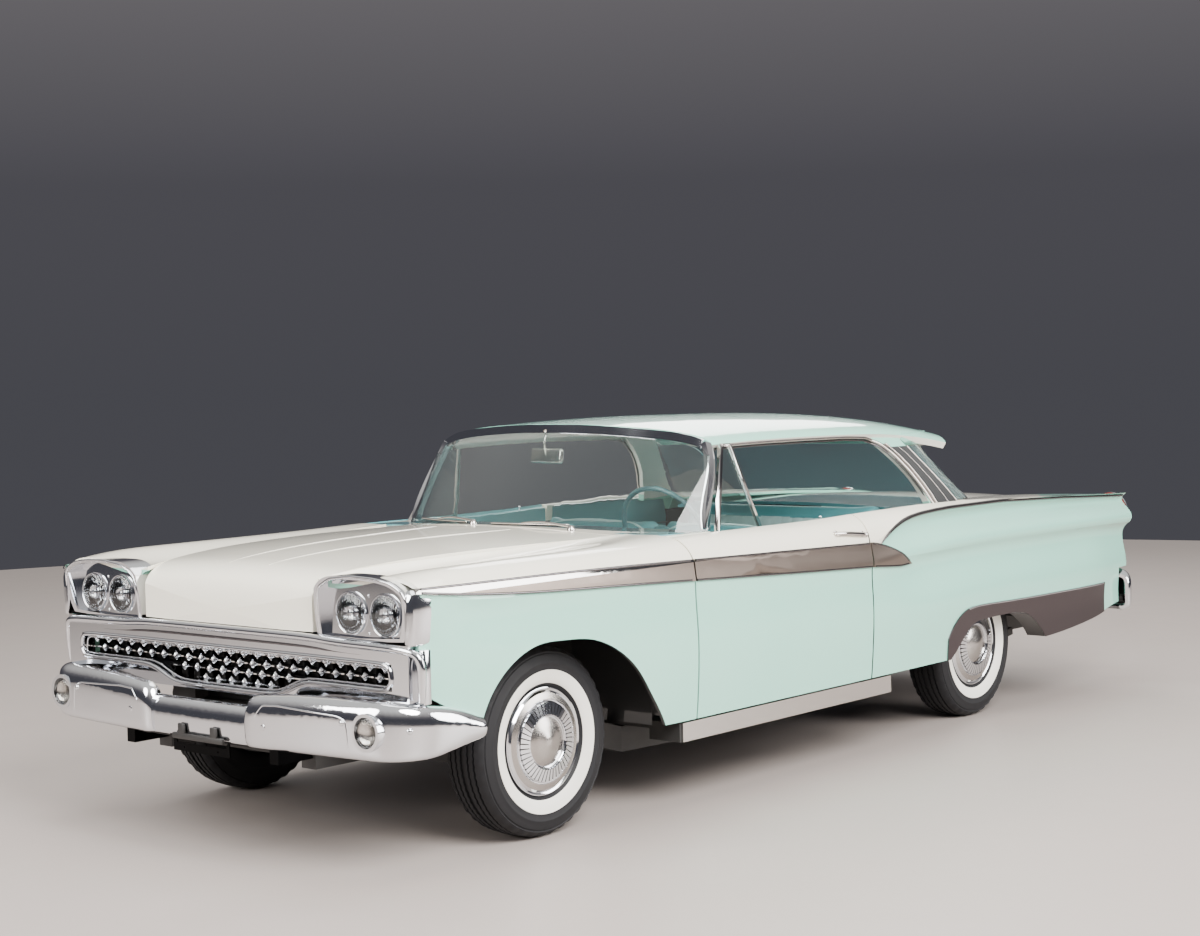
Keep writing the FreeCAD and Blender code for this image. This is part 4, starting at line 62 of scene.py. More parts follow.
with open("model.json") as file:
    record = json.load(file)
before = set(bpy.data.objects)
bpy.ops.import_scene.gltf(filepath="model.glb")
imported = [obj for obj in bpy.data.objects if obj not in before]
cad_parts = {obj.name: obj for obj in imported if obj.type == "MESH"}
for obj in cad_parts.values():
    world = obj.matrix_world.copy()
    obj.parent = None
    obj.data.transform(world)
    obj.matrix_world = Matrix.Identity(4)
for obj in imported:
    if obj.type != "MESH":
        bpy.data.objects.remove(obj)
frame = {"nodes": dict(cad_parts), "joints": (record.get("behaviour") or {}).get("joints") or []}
cad_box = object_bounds()
nodes = frame["nodes"]
hub = {j["child"]: Vector(j["pos_m"]) for j in frame["joints"]}
turning_axis = {j["child"]: Vector(j["axis"]) for j in frame["joints"]}
mm = 0.001
left, right = 1, -1
sides = ((left, "left"), (right, "right"))
corners = {"front_left": left, "front_right": right, "rear_left": left, "rear_right": right}
# How far out rays start, clear of the car in X, Y and Z.
clear = Vector((3.5, 1.5, 2.5))


class CarColours(bpy.types.PropertyGroup):
    """Paint and trim colours, as sRGB hex values."""

    mint: StringProperty(name="Mint enamel", description="Lower body and roof", default="#98D8C4")
    cream: StringProperty(name="Cream enamel", description="Hood, fender tops and deck", default="#F7F2E2")
    plating: StringProperty(name="Plating", description="Chromium plate", default="#E2E4E8")
    spear: StringProperty(name="Spear", description="Satin anodised side trim", default="#8C8078")
    vinyl: StringProperty(name="Upholstery", description="Seats and door panels", default="#5FA0A6")
    pale_vinyl: StringProperty(name="Seat tops", description="Pale upholstery", default="#BFD9D8")
    floor: StringProperty(name="Studio floor", description="Pale floor", default="#A99F9A")


class CarSizes(bpy.types.PropertyGroup):
    """Sizes of the pieces that are added to the frame."""

    white_inner: FloatProperty(name="White band inside", description="Inner radius of the white band",
                               default=0.203, unit="LENGTH")
    white_outer: FloatProperty(name="White band outside", description="Outer radius of the white band",
                               default=0.250, unit="LENGTH")
    cover_fins: IntProperty(name="Cover fins", description="Fins round the wheel cover", default=45)
    fin_moulding: FloatProperty(name="Fin moulding", description="Radius of the moulding along the tail fin",
                                default=0.009, unit="LENGTH")
    border: FloatProperty(name="Spear border", description="Radius of the plated borders of the side spear",
                          default=0.0045, unit="LENGTH")
    drip_rail: FloatProperty(name="Drip rail", description="Radius of the drip rail over the side windows",
                             default=0.008, unit="LENGTH")
    rim_grip: FloatProperty(name="Steering rim", description="Radius of the steering wheel's rim in section",
                            default=0.0105, unit="LENGTH")


def linear(hex_colour):
    """sRGB hex to the linear colour that a shader takes."""
    parts = [int(hex_colour[i:i + 2], 16) / 255 for i in (1, 3, 5)]
    return [c / 12.92 if c <= 0.04045 else ((c + 0.055) / 1.055) ** 2.4 for c in parts] + [1.0]


def add_node(tree, kind, settings=None, inputs=None):
    """Adds a shader node with its settings; an input is a value or another node's output."""
    added = tree.nodes.new(kind)
    for name, value in (settings or {}).items():
        setattr(added, name, value)
    for name, value in (inputs or {}).items():
        if isinstance(value, bpy.types.NodeSocket):
            tree.links.new(value, added.inputs[name])
        else:
            added.inputs[name].default_value = value
    return added


def new_finish(name, sockets, *grains):
    """A material whose shader's own sockets hold the constants, with noise for each of the grains.

    A grain is (size in mm, detail). Gives the material, its tree, shader and place, then one
    pattern for each grain.
    """
    finish = bpy.data.materials.new(name)
    finish.use_nodes = True
    tree = finish.node_tree
    shader = tree.nodes["Principled BSDF"]
    for socket, value in sockets.items():
        shader.inputs[socket].default_value = value
    place = add_node(tree, "ShaderNodeTexCoord").outputs["Object"]
    patterns = []
    for size_mm, detail in grains:
        noise = add_node(tree, "ShaderNodeTexNoise", inputs={
            "Vector": place, "Scale": 1000 / size_mm, "Detail": detail})
        patterns.append(noise.outputs["Fac"])
    return (finish, tree, shader, place, *patterns)


def work_surface(tree, shader, rough_pattern, rough, height_pattern, depth_mm, strength):
    """Roughness that wanders between two values, and relief depth_mm deep."""
    spread = add_node(tree, "ShaderNodeMapRange", inputs={
        "Value": rough_pattern, "To Min": rough[0], "To Max": rough[1]})
    tree.links.new(spread.outputs["Result"], shader.inputs["Roughness"])
    relief = add_node(tree, "ShaderNodeBump", inputs={
        "Height": height_pattern, "Distance": depth_mm * mm, "Strength": strength})
    tree.links.new(relief.outputs["Normal"], shader.inputs["Normal"])


def tinted(tree, pattern, most, first, second):
    """The first colour, leaning towards the second by the pattern, and by most where it is highest."""
    share = add_node(tree, "ShaderNodeMapRange", inputs={"Value": pattern, "To Min": 0.0, "To Max": most})
    return add_node(tree, "ShaderNodeMix", {"data_type": "RGBA"}, {
        0: share.outputs["Result"], 6: linear(first), 7: linear(second)}).outputs[2]


def where_all(tree, tests):
    """One where every test holds, else zero. A test is (operation, value, limit or limits)."""
    share = None
    for operation, *values in tests:
        held = add_node(tree, "ShaderNodeMath", {"operation": operation}, dict(enumerate(values))).outputs[0]
        share = held if share is None else add_node(tree, "ShaderNodeMath", {"operation": "MULTIPLY"}, {
            0: share, 1: held}).outputs[0]
    return share


def axes_of(tree, vector):
    """A vector's X, Y and Z, and the same three without their signs."""
    unsigned = add_node(tree, "ShaderNodeVectorMath", {"operation": "ABSOLUTE"}, {0: vector}).outputs[0]
    return [add_node(tree, "ShaderNodeSeparateXYZ", inputs={"Vector": v}).outputs for v in (vector, unsigned)]


# Height of the line between mint and cream at stations along the car, both in metres. It runs
# under the spear to the door's rear edge, then along the fin's moulding to the tail.
paint_line = [
    (-2.70, 0.953), (-2.60, 0.954), (-1.90, 0.983), (-1.25, 0.995), (-0.80, 0.991), (-0.60, 0.984),
    (-0.41, 0.964), (-0.32, 0.935), (-0.25, 0.905), (-0.21, 0.874), (-0.13, 0.862), (-0.12, 0.840),
    (1.10, 0.878), (2.45, 0.932), (2.70, 0.945),
]


def above_paint_line(tree, x, z):
    """One above the line between the two enamels, zero below it."""
    start = paint_line[0][0]
    span = paint_line[-1][0] - start
    along = add_node(tree, "ShaderNodeMapRange", inputs={
        "Value": x, "From Min": start, "From Max": start + span})
    curve = add_node(tree, "ShaderNodeFloatCurve", inputs={"Value": along.outputs["Result"]})
    points = curve.mapping.curves[0].points
    shares = [((px - start) / span, pz) for px, pz in paint_line]
    points[0].location = shares[0]
    points[1].location = shares[-1]
    for share in shares[1:-1]:
        points.new(*share)
    for point in points:
        point.handle_type = "VECTOR"
    curve.mapping.update()
    return where_all(tree, [("GREATER_THAN", z, curve.outputs["Value"])])


def enamel(name, low, high=None, lining=None, reach=0.0, headlining=None, edges=0.0):
    """Baked enamel: deep gloss under a clear coat, with faint orange peel in the reflections.

    The high colour stands above the paint line. The lining covers the side of a panel that turns
    to the car's middle, within reach of it, and the headlining whatever faces down. With edges
    set, the lining also covers turned edges and jambs, as far from the middle of the car's length as edges.
    A dark lining there is painted shade for the shut gaps on the jambs, and underseal inside a wheel arch.
    """
    finish, tree, shader, place, tone, flow, peel = new_finish(name, {
        "Base Color": linear(low), "IOR": 1.5, "Coat Weight": 1.0, "Coat Roughness": 0.03, "Coat IOR": 1.5},
        (420, 1.0), (60, 2.0), (6, 1.0))
    spot, size = axes_of(tree, place)
    facing = add_node(tree, "ShaderNodeSeparateXYZ", inputs={
        "Vector": add_node(tree, "ShaderNodeNewGeometry").outputs["Normal"]}).outputs
    # Fresh enamel varies by a hair in tone over half a metre.
    colour = tinted(tree, tone, 0.05, low, "#FFFFFF")
    layers = []
    if high:
        layers.append((above_paint_line(tree, spot["X"], spot["Z"]), high))
    if lining:
        side = add_node(tree, "ShaderNodeMath", {"operation": "SIGN"}, {0: spot["Y"]}).outputs[0]
        outward = add_node(tree, "ShaderNodeMath", {"operation": "MULTIPLY"}, {
            0: facing["Y"], 1: side}).outputs[0]
        tests = [("LESS_THAN", outward, 0.14 if edges else -0.12), ("LESS_THAN", size["Y"], reach)]
        if edges:
            # A wheel arch's turned edge and the jambs face along the car or down. Dark on the arch is
            # underseal; dark on the jambs is painted shade of the shut gaps.
            tests += [("LESS_THAN", facing["Z"], 0.35), ("LESS_THAN", size["X"], edges),
                      ("LESS_THAN", spot["Z"], 0.93)]
        layers.append((where_all(tree, tests), lining))
    if headlining:
        layers.append((where_all(tree, [("LESS_THAN", facing["Z"], -0.3)]), headlining))
    for share, coat in layers:
        colour = add_node(tree, "ShaderNodeMix", {"data_type": "RGBA"}, {
            0: share, 6: colour, 7: linear(coat)}).outputs[2]
    tree.links.new(colour, shader.inputs["Base Color"])
    work_surface(tree, shader, flow, (0.26, 0.34), peel, 0.01, 0.25)
    return finish


plate_haze = "#C9CCD2"


def plated(name, colour, rough=0.05):
    """Chromium plate on polished steel: mirror bright with faint polishing haze."""
    finish, tree, shader, _, haze, ripple = new_finish(name, {"Metallic": 1.0}, (55, 4.0), (160, 1.0))
    tree.links.new(tinted(tree, haze, 0.10, colour, plate_haze), shader.inputs["Base Color"])
    work_surface(tree, shader, haze, (rough, rough + 0.06), ripple, 0.35, 0.12)
    return finish


def zoned_plate(name, colour, zones):
    """Chromium plate with other coats in zones: (low, high) of X, of |Y| and of Z, colour, roughness."""
    finish, tree, shader, place, haze, ripple = new_finish(name, {"Metallic": 1.0}, (55, 4.0), (160, 1.0))
    spot, size = axes_of(tree, place)
    shade = tinted(tree, haze, 0.10, colour, plate_haze)
    polish = 0.05
    for *limits, coat, rough in zones:
        inside = where_all(tree, [
            ("COMPARE", value, (low + high) / 2, (high - low) / 2)
            for value, (low, high) in zip((spot["X"], size["Y"], spot["Z"]), limits)])
        shade = add_node(tree, "ShaderNodeMix", {"data_type": "RGBA"}, {
            0: inside, 6: shade, 7: linear(coat)}).outputs[2]
        polish = add_node(tree, "ShaderNodeMix", {"data_type": "FLOAT"}, {
            0: inside, 2: polish, 3: rough}).outputs[0]
    tree.links.new(shade, shader.inputs["Base Color"])
    dullest = add_node(tree, "ShaderNodeMath", {"operation": "ADD"}, {0: polish, 1: 0.05}).outputs[0]
    work_surface(tree, shader, haze, (polish, dullest), ripple, 0.35, 0.12)
    return finish


def anodised(name, colour, rough=0.34):
    """Satin anodised aluminium: brushed along the car, so highlights stretch softly."""
    finish, tree, shader, place = new_finish(name, {"Metallic": 1.0, "Anisotropic": 0.4})
    stretched = add_node(tree, "ShaderNodeMapping", inputs={
        "Vector": place, "Scale": (0.01, 1.0, 1.0)}).outputs["Vector"]
    # Brush lines are drawn 1.2 mm apart, coarser than real ones, so that they show.
    lines = add_node(tree, "ShaderNodeTexNoise", inputs={
        "Vector": stretched, "Scale": 1000 / 1.2, "Detail": 2.0}).outputs["Fac"]
    tree.links.new(tinted(tree, lines, 0.18, colour, "#CFC8C0"), shader.inputs["Base Color"])
    work_surface(tree, shader, lines, (rough - 0.08, rough + 0.10), lines, 0.02, 0.3)
    return finish


def rubber(name, colour, dusty, rough=0.62):
    """Moulded rubber: dull, faintly mottled by bloom and handling."""
    finish, tree, shader, _, bloom, grain = new_finish(
        name, {"Specular IOR Level": 0.35}, (45, 5.0), (1.6, 2.0))
    tree.links.new(tinted(tree, bloom, 0.35, colour, dusty), shader.inputs["Base Color"])
    work_surface(tree, shader, bloom, (rough - 0.10, rough + 0.14), grain, 0.06, 0.35)
    return finish


def coated_metal(name, colour, rough=0.5, metallic=0.0, lump_mm=2.5, depth_mm=0.08):
    """Coat over pressed or cast metal: low gloss, slight texture and a dusty tone."""
    finish, tree, shader, _, dust, wear, lumps = new_finish(
        name, {"Metallic": metallic}, (90, 5.0), (30, 3.0), (lump_mm, 3.0))
    tree.links.new(tinted(tree, dust, 0.22, colour, "#6A655F"), shader.inputs["Base Color"])
    work_surface(tree, shader, wear, (rough - 0.08, rough + 0.12), lumps, depth_mm, 0.4)
    return finish


# Scale of a wave texture whose bands stand one millimetre apart: it draws 20 bands for each unit
# of its scale over a length of 2 pi metres.
wave_scale = 1000 * math.tau / 20


def vinyl(name, colour, shade, swell_mm=0.0):
    """Embossed vinyl: pebble grain and a soft sheen, or broad swells of padding if swell_mm is set."""
    finish, tree, shader, place, worn = new_finish(name, {
        "Sheen Weight": 0.15, "Sheen Roughness": 0.4, "Specular IOR Level": 0.4}, (70, 4.0))
    if swell_mm:
        relief = add_node(tree, "ShaderNodeTexWave", {"bands_direction": "Y"}, {
            "Vector": place, "Scale": wave_scale / swell_mm, "Distortion": 0.0}).outputs["Fac"]
    else:
        relief = add_node(tree, "ShaderNodeTexVoronoi", inputs={
            "Vector": place, "Scale": 1000 / 1.4}).outputs["Distance"]
    tree.links.new(tinted(tree, worn, 0.35, colour, shade), shader.inputs["Base Color"])
    work_surface(tree, shader, worn, (0.36, 0.54), relief, 4.0 if swell_mm else 0.12, 0.5)
    return finish


def carpet(name, colour, shade):
    """Loop-pile carpet: matt, with tufts about 3 mm across."""
    finish, tree, shader, _, tuft = new_finish(name, {"Sheen Weight": 0.3}, (3.0, 3.0))
    tree.links.new(tinted(tree, tuft, 1.0, colour, shade), shader.inputs["Base Color"])
    work_surface(tree, shader, tuft, (0.88, 0.98), tuft, 1.2, 0.6)
    return finish


def clear_glass(name, tint):
    """Laminated glass: clear, with a faint green cast seen through its thickness."""
    finish, tree, shader, _, smear, ripple = new_finish(name, {
        "Base Color": linear(tint), "IOR": 1.45, "Transmission Weight": 1.0}, (300, 2.0), (240, 1.0))
    work_surface(tree, shader, smear, (0.0, 0.015), ripple, 0.05, 0.1)
    return finish


def fluted_glass(name, tint, pitch_mm):
    """Pressed lamp glass: clear, with upright flutes that spread the beam."""
    finish, tree, shader, place, smear = new_finish(name, {
        "Base Color": linear(tint), "IOR": 1.45, "Transmission Weight": 1.0}, (40, 2.0))
    flutes = add_node(tree, "ShaderNodeTexWave", {"bands_direction": "Y"}, {
        "Vector": place, "Scale": wave_scale / pitch_mm, "Distortion": 0.0}).outputs["Fac"]
    work_surface(tree, shader, smear, (0.01, 0.04), flutes, 0.8, 0.6)
    return finish


def red_lens(name, colour):
    """Moulded acrylic: deep red, with rings 9 mm apart pressed into it about each lamp's middle."""
    finish, tree, shader, place, smear = new_finish(name, {
        "Base Color": linear(colour), "IOR": 1.49, "Transmission Weight": 0.25,
        "Coat Weight": 0.6, "Coat Roughness": 0.02}, (30, 2.0))
    low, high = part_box("tail_lamps")
    lamp_radius = (high.z - low.z) / 2
    middle = (0.0, high.y - lamp_radius, (high.z + low.z) / 2)
    spot = place
    for operation, values in (("ABSOLUTE", {}), ("SUBTRACT", {1: middle}),
                              ("MULTIPLY", {1: (0.0, 1.0, 1.0)})):
        spot = add_node(tree, "ShaderNodeVectorMath", {"operation": operation},
                        {0: spot, **values}).outputs[0]
    rings = add_node(tree, "ShaderNodeTexWave", {"wave_type": "RINGS", "rings_direction": "SPHERICAL"}, {
        "Vector": spot, "Scale": wave_scale / 9.0, "Distortion": 0.0}).outputs["Fac"]
    work_surface(tree, shader, smear, (0.05, 0.12), rings, 1.2, 0.7)
    return finish


def studio_floor(name, colour):
    """Painted studio floor: pale and nearly even, with soft reflections."""
    finish, tree, shader, _, scuffs, wear, grain = new_finish(
        name, {"Specular IOR Level": 0.4}, (900, 4.0), (300, 4.0), (25, 3.0))
    tree.links.new(tinted(tree, scuffs, 0.12, colour, "#A79F9B"), shader.inputs["Base Color"])
    work_surface(tree, shader, wear, (0.40, 0.56), grain, 0.2, 0.1)
    return finish


finishes = {}
black_irons_and_grille_shade = "#0A0A0B"


def finish_of(key):
    """Makes each finish once, when it is first asked for."""
    colours = bpy.context.scene.car_colours
    recipes = {
        "mint": (enamel, "enamel_baked_mint", colours.mint),
        "cream": (enamel, "enamel_baked_cream", colours.cream),
        # The fender's dark lining is underseal inside the arches and painted shade on the jambs and turned
        # edges.
        "fender": (enamel, "enamel_baked_fender", colours.mint, colours.cream, "#131415", 0.966, None, 2.36),
        "door": (enamel, "enamel_baked_door", colours.mint, colours.cream, colours.vinyl, 0.93),
        "cowl": (enamel, "enamel_baked_cowl", "#141516", colours.cream),
        "roof": (enamel, "enamel_baked_roof", colours.mint, None, "#E9E7DE", 0.80, "#EFEDE4"),
        "chrome": (plated, "chromium_plated", colours.plating),
        # The irons behind the bumper and the plate's bracket are coated black.
        "bumper_front": (zoned_plate, "chromium_plated_front_bumper", colours.plating, [
            ((2.0, 2.545), (-1.0, 0.80), (0.0, 1.0), black_irons_and_grille_shade, 0.45),
            ((2.0, 3.000), (-1.0, 0.80), (0.0, 0.389), black_irons_and_grille_shade, 0.45),
            ((2.600, 3.0), (-1.0, 0.165), (0.0, 0.392), black_irons_and_grille_shade, 0.45)]),
        "bumper_rear": (zoned_plate, "chromium_plated_rear_bumper", colours.plating, [
            ((-2.560, -2.0), (-1.0, 0.80), (0.0, 1.0), black_irons_and_grille_shade, 0.45)]),
        # The back of the grille's lattice is black as painted shade of its depth.
        "grille": (zoned_plate, "chromium_plated_grille", "#F4F4F2", [
            ((2.0, 2.4435), (-1.0, 1.0), (0.0, 1.0), black_irons_and_grille_shade, 0.5)]),
        # Satin spears above, and below, behind the rear wheel, a plated shield coloured dark as painted shade
        # and reflection.
        "side_trim": (zoned_plate, "aluminium_anodised_side_trim", "#D2CECA", [
            ((-3.0, 3.0), (0.0, 1.0), (0.700, 0.906), colours.spear, 0.30),
            ((-3.0, -0.62), (0.0, 1.0), (0.0, 0.600), "#5A5256", 0.12)]),
        # Plating darkened to stand for painted shade and dark reflections on mouldings, borders and lines.
        "chrome_painted_shade": (plated, "chromium_plated_shaded", "#6E6A6C", 0.14),
        "stainless": (plated, "steel_stainless_rolled", "#C9C3BE", 0.16),
        "spear": (anodised, "aluminium_anodised_satin", colours.spear),
        "cover": (anodised, "aluminium_spun_cover", "#B5B1AD", 0.22),
        "black_rubber": (rubber, "rubber_moulded_black", "#131316", "#26262A"),
        "white_rubber": (rubber, "rubber_moulded_white", "#F6F4EC", "#E6E2D6", 0.55),
        "frame": (coated_metal, "steel_frame_black", "#141416", 0.45),
        "underseal": (coated_metal, "steel_undersealed", "#1E1F20", 0.75, 0.0, 4.0, 0.5),
        "cast": (coated_metal, "iron_cast_painted", "#2A2D30", 0.6, 0.2, 3.0, 0.3),
        "bare_steel": (coated_metal, "steel_rolled_bare", "#77787A", 0.42, 0.8),
        "radiator": (coated_metal, "brass_finned_black", "#1A1A1B", 0.6, 0.4, 3.0, 0.8),
        "black": (coated_metal, "enamel_satin_black", "#0C0C0D", 0.35),
        "vinyl": (vinyl, "vinyl_embossed_turquoise", colours.vinyl, "#3F7F86"),
        "ribbed_vinyl": (vinyl, "vinyl_ribbed_pale", colours.pale_vinyl, "#9CC2C3", 263.9),
        "pale_vinyl": (vinyl, "vinyl_embossed_pale", colours.pale_vinyl, "#A9C8C8"),
        "carpet": (carpet, "carpet_looped_turquoise", "#3E6F73", "#20393B"),
        "glass": (clear_glass, "glass_laminated", "#F1FAF7"),
        # Opaque dark glass: its tone is painted shade of the cabin seen through the window.
        "glass_painted_shade": (enamel, "glass_toughened_dark", "#15181A"),
        "lamp_glass": (fluted_glass, "glass_pressed_fluted", "#FBFCFC", 8.0),
        "parking_glass": (fluted_glass, "glass_pressed_parking", "#F1EEE8", 6.0),
        "red": (red_lens, "acrylic_moulded_red", "#9C0B0D"),
        "dash": (enamel, "enamel_baked_turquoise", "#4E929A"),
        "wheel_rim": (enamel, "enamel_steering_wheel", "#34666D"),
        "dial": (enamel, "enamel_dial_face", "#D8DEDC"),
        "floor": (studio_floor, "floor_painted_pale", colours.floor),
    }
    if key not in finishes:
        maker, *settings = recipes[key]
        finishes[key] = maker(*settings)
    return finishes[key]


node_finishes = {
    "floor_pan": "underseal", "cowl_panel": "cowl", "front_fender_left": "fender",
    "front_fender_right": "fender", "quarter_left": "fender", "quarter_right": "fender",
    "roof_panel": "roof", "windscreen_frame": "chrome", "windscreen_glass": "glass",
    "rear_window_glass": "glass", "rear_shelf": "dash", "rear_valance": "mint",
    "front_surround": "chrome", "grille": "grille", "headlamp_bezels": "chrome",
    "bumper_front": "bumper_front", "bumper_rear": "bumper_rear", "body_trim": "side_trim",
    "engine_aprons": "black", "chassis_frame": "frame", "engine_block": "cast", "fuel_tank": "bare_steel",
    "exhaust": "bare_steel", "rear_axle": "frame", "front_suspension": "frame", "dashboard": "dash",
    "hood": "cream", "boot_lid": "cream", "door_left": "door", "door_right": "door",
    "door_trim_left": "side_trim", "door_trim_right": "side_trim", "vent_glass_left": "glass",
    "vent_glass_right": "glass", "knuckle_left": "frame", "knuckle_right": "frame",
    "tail_lamps": "red", "headlamps": "lamp_glass", "front_seat": "vinyl", "rear_seat": "vinyl",
    "steering_wheel": "wheel_rim",
}
for corner in corners:
    node_finishes["tyre_" + corner] = "black_rubber"
    node_finishes["wheel_" + corner] = "chrome"


def settle(name, bm, body, finish_keys, replaced=(), smooth=True, crease=38):
    """Turns a finished bmesh into a piece that rides on a body."""
    bmesh.ops.recalc_face_normals(bm, faces=bm.faces)
    mesh = bpy.data.meshes.new(name)
    bm.to_mesh(mesh)
    bm.free()
    for key in finish_keys:
        mesh.materials.append(finish_of(key))
    mesh.polygons.foreach_set("use_smooth", [smooth] * len(mesh.polygons))
    if smooth:
        mesh.set_sharp_from_angle(angle=math.radians(crease))
    piece = bpy.data.objects.new(name, mesh)
    bpy.context.scene.collection.objects.link(piece)
    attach(piece, body)
    if replaced:
        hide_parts(*replaced)
    return piece


def turned_to(axis, centre):
    """Matrix that carries a piece made about +Z at the origin to its axis and centre."""
    turn = Vector((0, 0, 1)).rotation_difference(Vector(axis)).to_matrix().to_4x4()
    return Matrix.Translation(centre) @ turn


def facing(ahead, up, centre):
    """Matrix that turns +X to the ahead direction and keeps +Z near the up direction."""
    ahead = Vector(ahead).normalized()
    across = Vector(up).cross(ahead).normalized()
    rise = ahead.cross(across)
    turn = Matrix((ahead, across, rise)).transposed().to_4x4()
    return Matrix.Translation(centre) @ turn


def spin_profile(bm, profile, steps, matrix, finish_index=0):
    """Spins points of (radius, height along the axis, finish) right round. Gives the new faces."""
    before = set(bm.faces)
    verts = [bm.verts.new((point[0], 0, point[1])) for point in profile]
    edges = [bm.edges.new(pair) for pair in zip(verts, verts[1:])]
    bmesh.ops.spin(bm, geom=verts + edges, cent=(0, 0, 0), axis=(0, 0, 1), dvec=(0, 0, 0),
                   angle=math.tau, steps=steps, use_merge=True)
    made = [f for f in bm.faces if f not in before]
    rims = [(p[0] + q[0]) / 2 for p, q in zip(profile, profile[1:])]
    keys = [q[2] if len(q) > 2 else finish_index for q in profile[1:]]
    levels = [(p[1] + q[1]) / 2 for p, q in zip(profile, profile[1:])]
    for face in made:
        spot = face.calc_center_median()
        radius = math.hypot(spot.x, spot.y)
        nearest = min(range(len(rims)), key=lambda k: (rims[k] - radius) ** 2 + (levels[k] - spot.z) ** 2)
        face.material_index = keys[nearest]
    own = {v for f in made for v in f.verts}
    bmesh.ops.remove_doubles(bm, verts=list(own), dist=1e-5)
    made = [f for f in bm.faces if f not in before]
    bmesh.ops.transform(bm, matrix=matrix, verts=list({v for f in made for v in f.verts}))
    return made


def curve_line(points, closed=False):
    """A smooth NURBS curve through given control points."""
    line = bpy.data.curves.new("run", "CURVE")
    line.dimensions = "3D"
    line.resolution_u = 6
    run = line.splines.new("NURBS")
    run.points.add(len(points) - 1)
    for spot, point in zip(run.points, points):
        spot.co = (*point, 1)
    run.use_cyclic_u = closed
    run.order_u = 3
    run.use_endpoint_u = not closed
    return line


def take_curve(bm, line, finish_index=0):
    """Adds a bevelled curve's surface to the bmesh and drops the curve."""
    holder = bpy.data.objects.new("run", line)
    bpy.context.scene.collection.objects.link(holder)
    bpy.context.view_layer.update()
    mesh = bpy.data.meshes.new_from_object(holder)
    for polygon in mesh.polygons:
        polygon.material_index = finish_index
    bm.from_mesh(mesh)
    bpy.data.objects.remove(holder)
    bpy.data.meshes.remove(mesh)
    bpy.data.curves.remove(line)


def round_bar(bm, points, radius, finish_index=0, closed=False, taper=None):
    """A round bar along points; taper gives each point's share of the radius."""
    line = curve_line(points, closed)
    line.bevel_depth = radius
    line.bevel_resolution = 3
    line.use_fill_caps = True
    if taper:
        for spot, share in zip(line.splines[0].points, taper):
            spot.radius = share
    take_curve(bm, line, finish_index)


def soft_box(bm, low, high, radius, segments, finish_index=0, matrix=None):
    """A box with rounded edges between any two opposite corners."""
    before = set(bm.faces)
    low, high = (Vector([pick(pair) for pair in zip(low, high)]) for pick in (min, max))
    place = Matrix.Translation((low + high) / 2) @ Matrix.Diagonal((*(high - low), 1))
    made = bmesh.ops.create_cube(bm, size=1.0, matrix=place)
    edges = list({e for v in made["verts"] for e in v.link_edges})
    bmesh.ops.bevel(bm, geom=edges, offset=radius, segments=segments, profile=0.5, material=-1,
                    affect="EDGES")
    faces = [f for f in bm.faces if f not in before]
    for face in faces:
        face.material_index = finish_index
    if matrix:
        bmesh.ops.transform(bm, matrix=matrix, verts=list({v for f in faces for v in f.verts}))


def lofted(bm, rows, ring=True, caps=True, finish_index=0):
    """A skin through rows of as many points each; ring closes each row, caps closes both ends."""
    before = set(bm.faces)
    count = len(rows[0]) + (1 if ring else 0)
    made = bmesh.ops.create_grid(bm, x_segments=count - 1, y_segments=len(rows) - 1, size=1.0)["verts"]
    if len(made) != count * len(rows):
        raise RuntimeError("the grid has another number of points than the rows")
    for k, vert in enumerate(made):
        row = rows[k // count]
        vert.co = row[k % count % len(row)]
    bmesh.ops.remove_doubles(bm, verts=made, dist=1e-6)
    faces = [f for f in bm.faces if f not in before]
    if caps:
        edges = {e for f in faces for e in f.edges}
        open_edges = [e for e in edges if len(e.link_faces) == 1]
        faces += bmesh.ops.holes_fill(bm, edges=open_edges, sides=0)["faces"]
    for face in faces:
        face.material_index = finish_index
    return faces


skins = {}
# Rounds of a search for an edge, and how far out a point counts as on the near side.
halvings = 14
near_side = 0.3


def skin_of(node):
    """The search tree of a CAD node's faces, for laying trim on it."""
    if node not in skins:
        mesh = nodes[node].data
        places = [v.co for v in mesh.vertices]
        skins[node] = BVHTree.FromPolygons(places, [p.vertices for p in mesh.polygons])
    return skins[node]


def strike(node, start, ray, proud=0.0):
    """The first point of a node that a ray meets, moved back towards its start by proud."""
    spot = skin_of(node).ray_cast(Vector(start), Vector(ray))[0]
    if spot is None:
        raise RuntimeError(f"{node} isn't met from {tuple(start)} along {tuple(ray)}")
    return spot - Vector(ray) * proud


def on_flank(node, x, z, side, proud=0.0):
    """The point on a node's outer side at station x and height z."""
    return strike(node, (x, clear.y * side, z), (0, -side, 0), proud)


def on_top(node, x, y, proud=0.0):
    """The point on a node's upper side."""
    return strike(node, (x, y, clear.z), (0, 0, -1), proud)


def on_nose(node, y, z, proud=0.0):
    """The point on a node's front side."""
    return strike(node, (clear.x, y, z), (-1, 0, 0), proud)


def on_tail(node, y, z, proud=0.0):
    """The point on a node's rear side."""
    return strike(node, (-clear.x, y, z), (1, 0, 0), proud)


def flank_edge(node, side, inside, outside):
    """The last (x, z) spot on a node's side between a spot on it and one off it."""
    for _ in range(halvings):
        x, z = ((a + b) / 2 for a, b in zip(inside, outside))
        spot = skin_of(node).ray_cast(Vector((x, clear.y * side, z)), Vector((0, -side, 0)))[0]
        if spot is not None and spot.y * side > near_side:
            inside = (x, z)
        else:
            outside = (x, z)
    return inside


def traced(node, line, forwards, proud):
    """The points of (y, z) on a node's front or rear side, without those where a ray misses it."""
    found = []
    for y, z in line:
        spot = skin_of(node).ray_cast(Vector((forwards * clear.x, y, z)), Vector((-forwards, 0, 0)))[0]
        if spot is not None:
            found.append(spot + Vector((forwards * proud, 0, 0)))
    return found


def between(start, end, count):
    """Evenly spread numbers or vectors from start to end."""
    return [start + (end - start) * k / (count - 1) for k in range(count)]


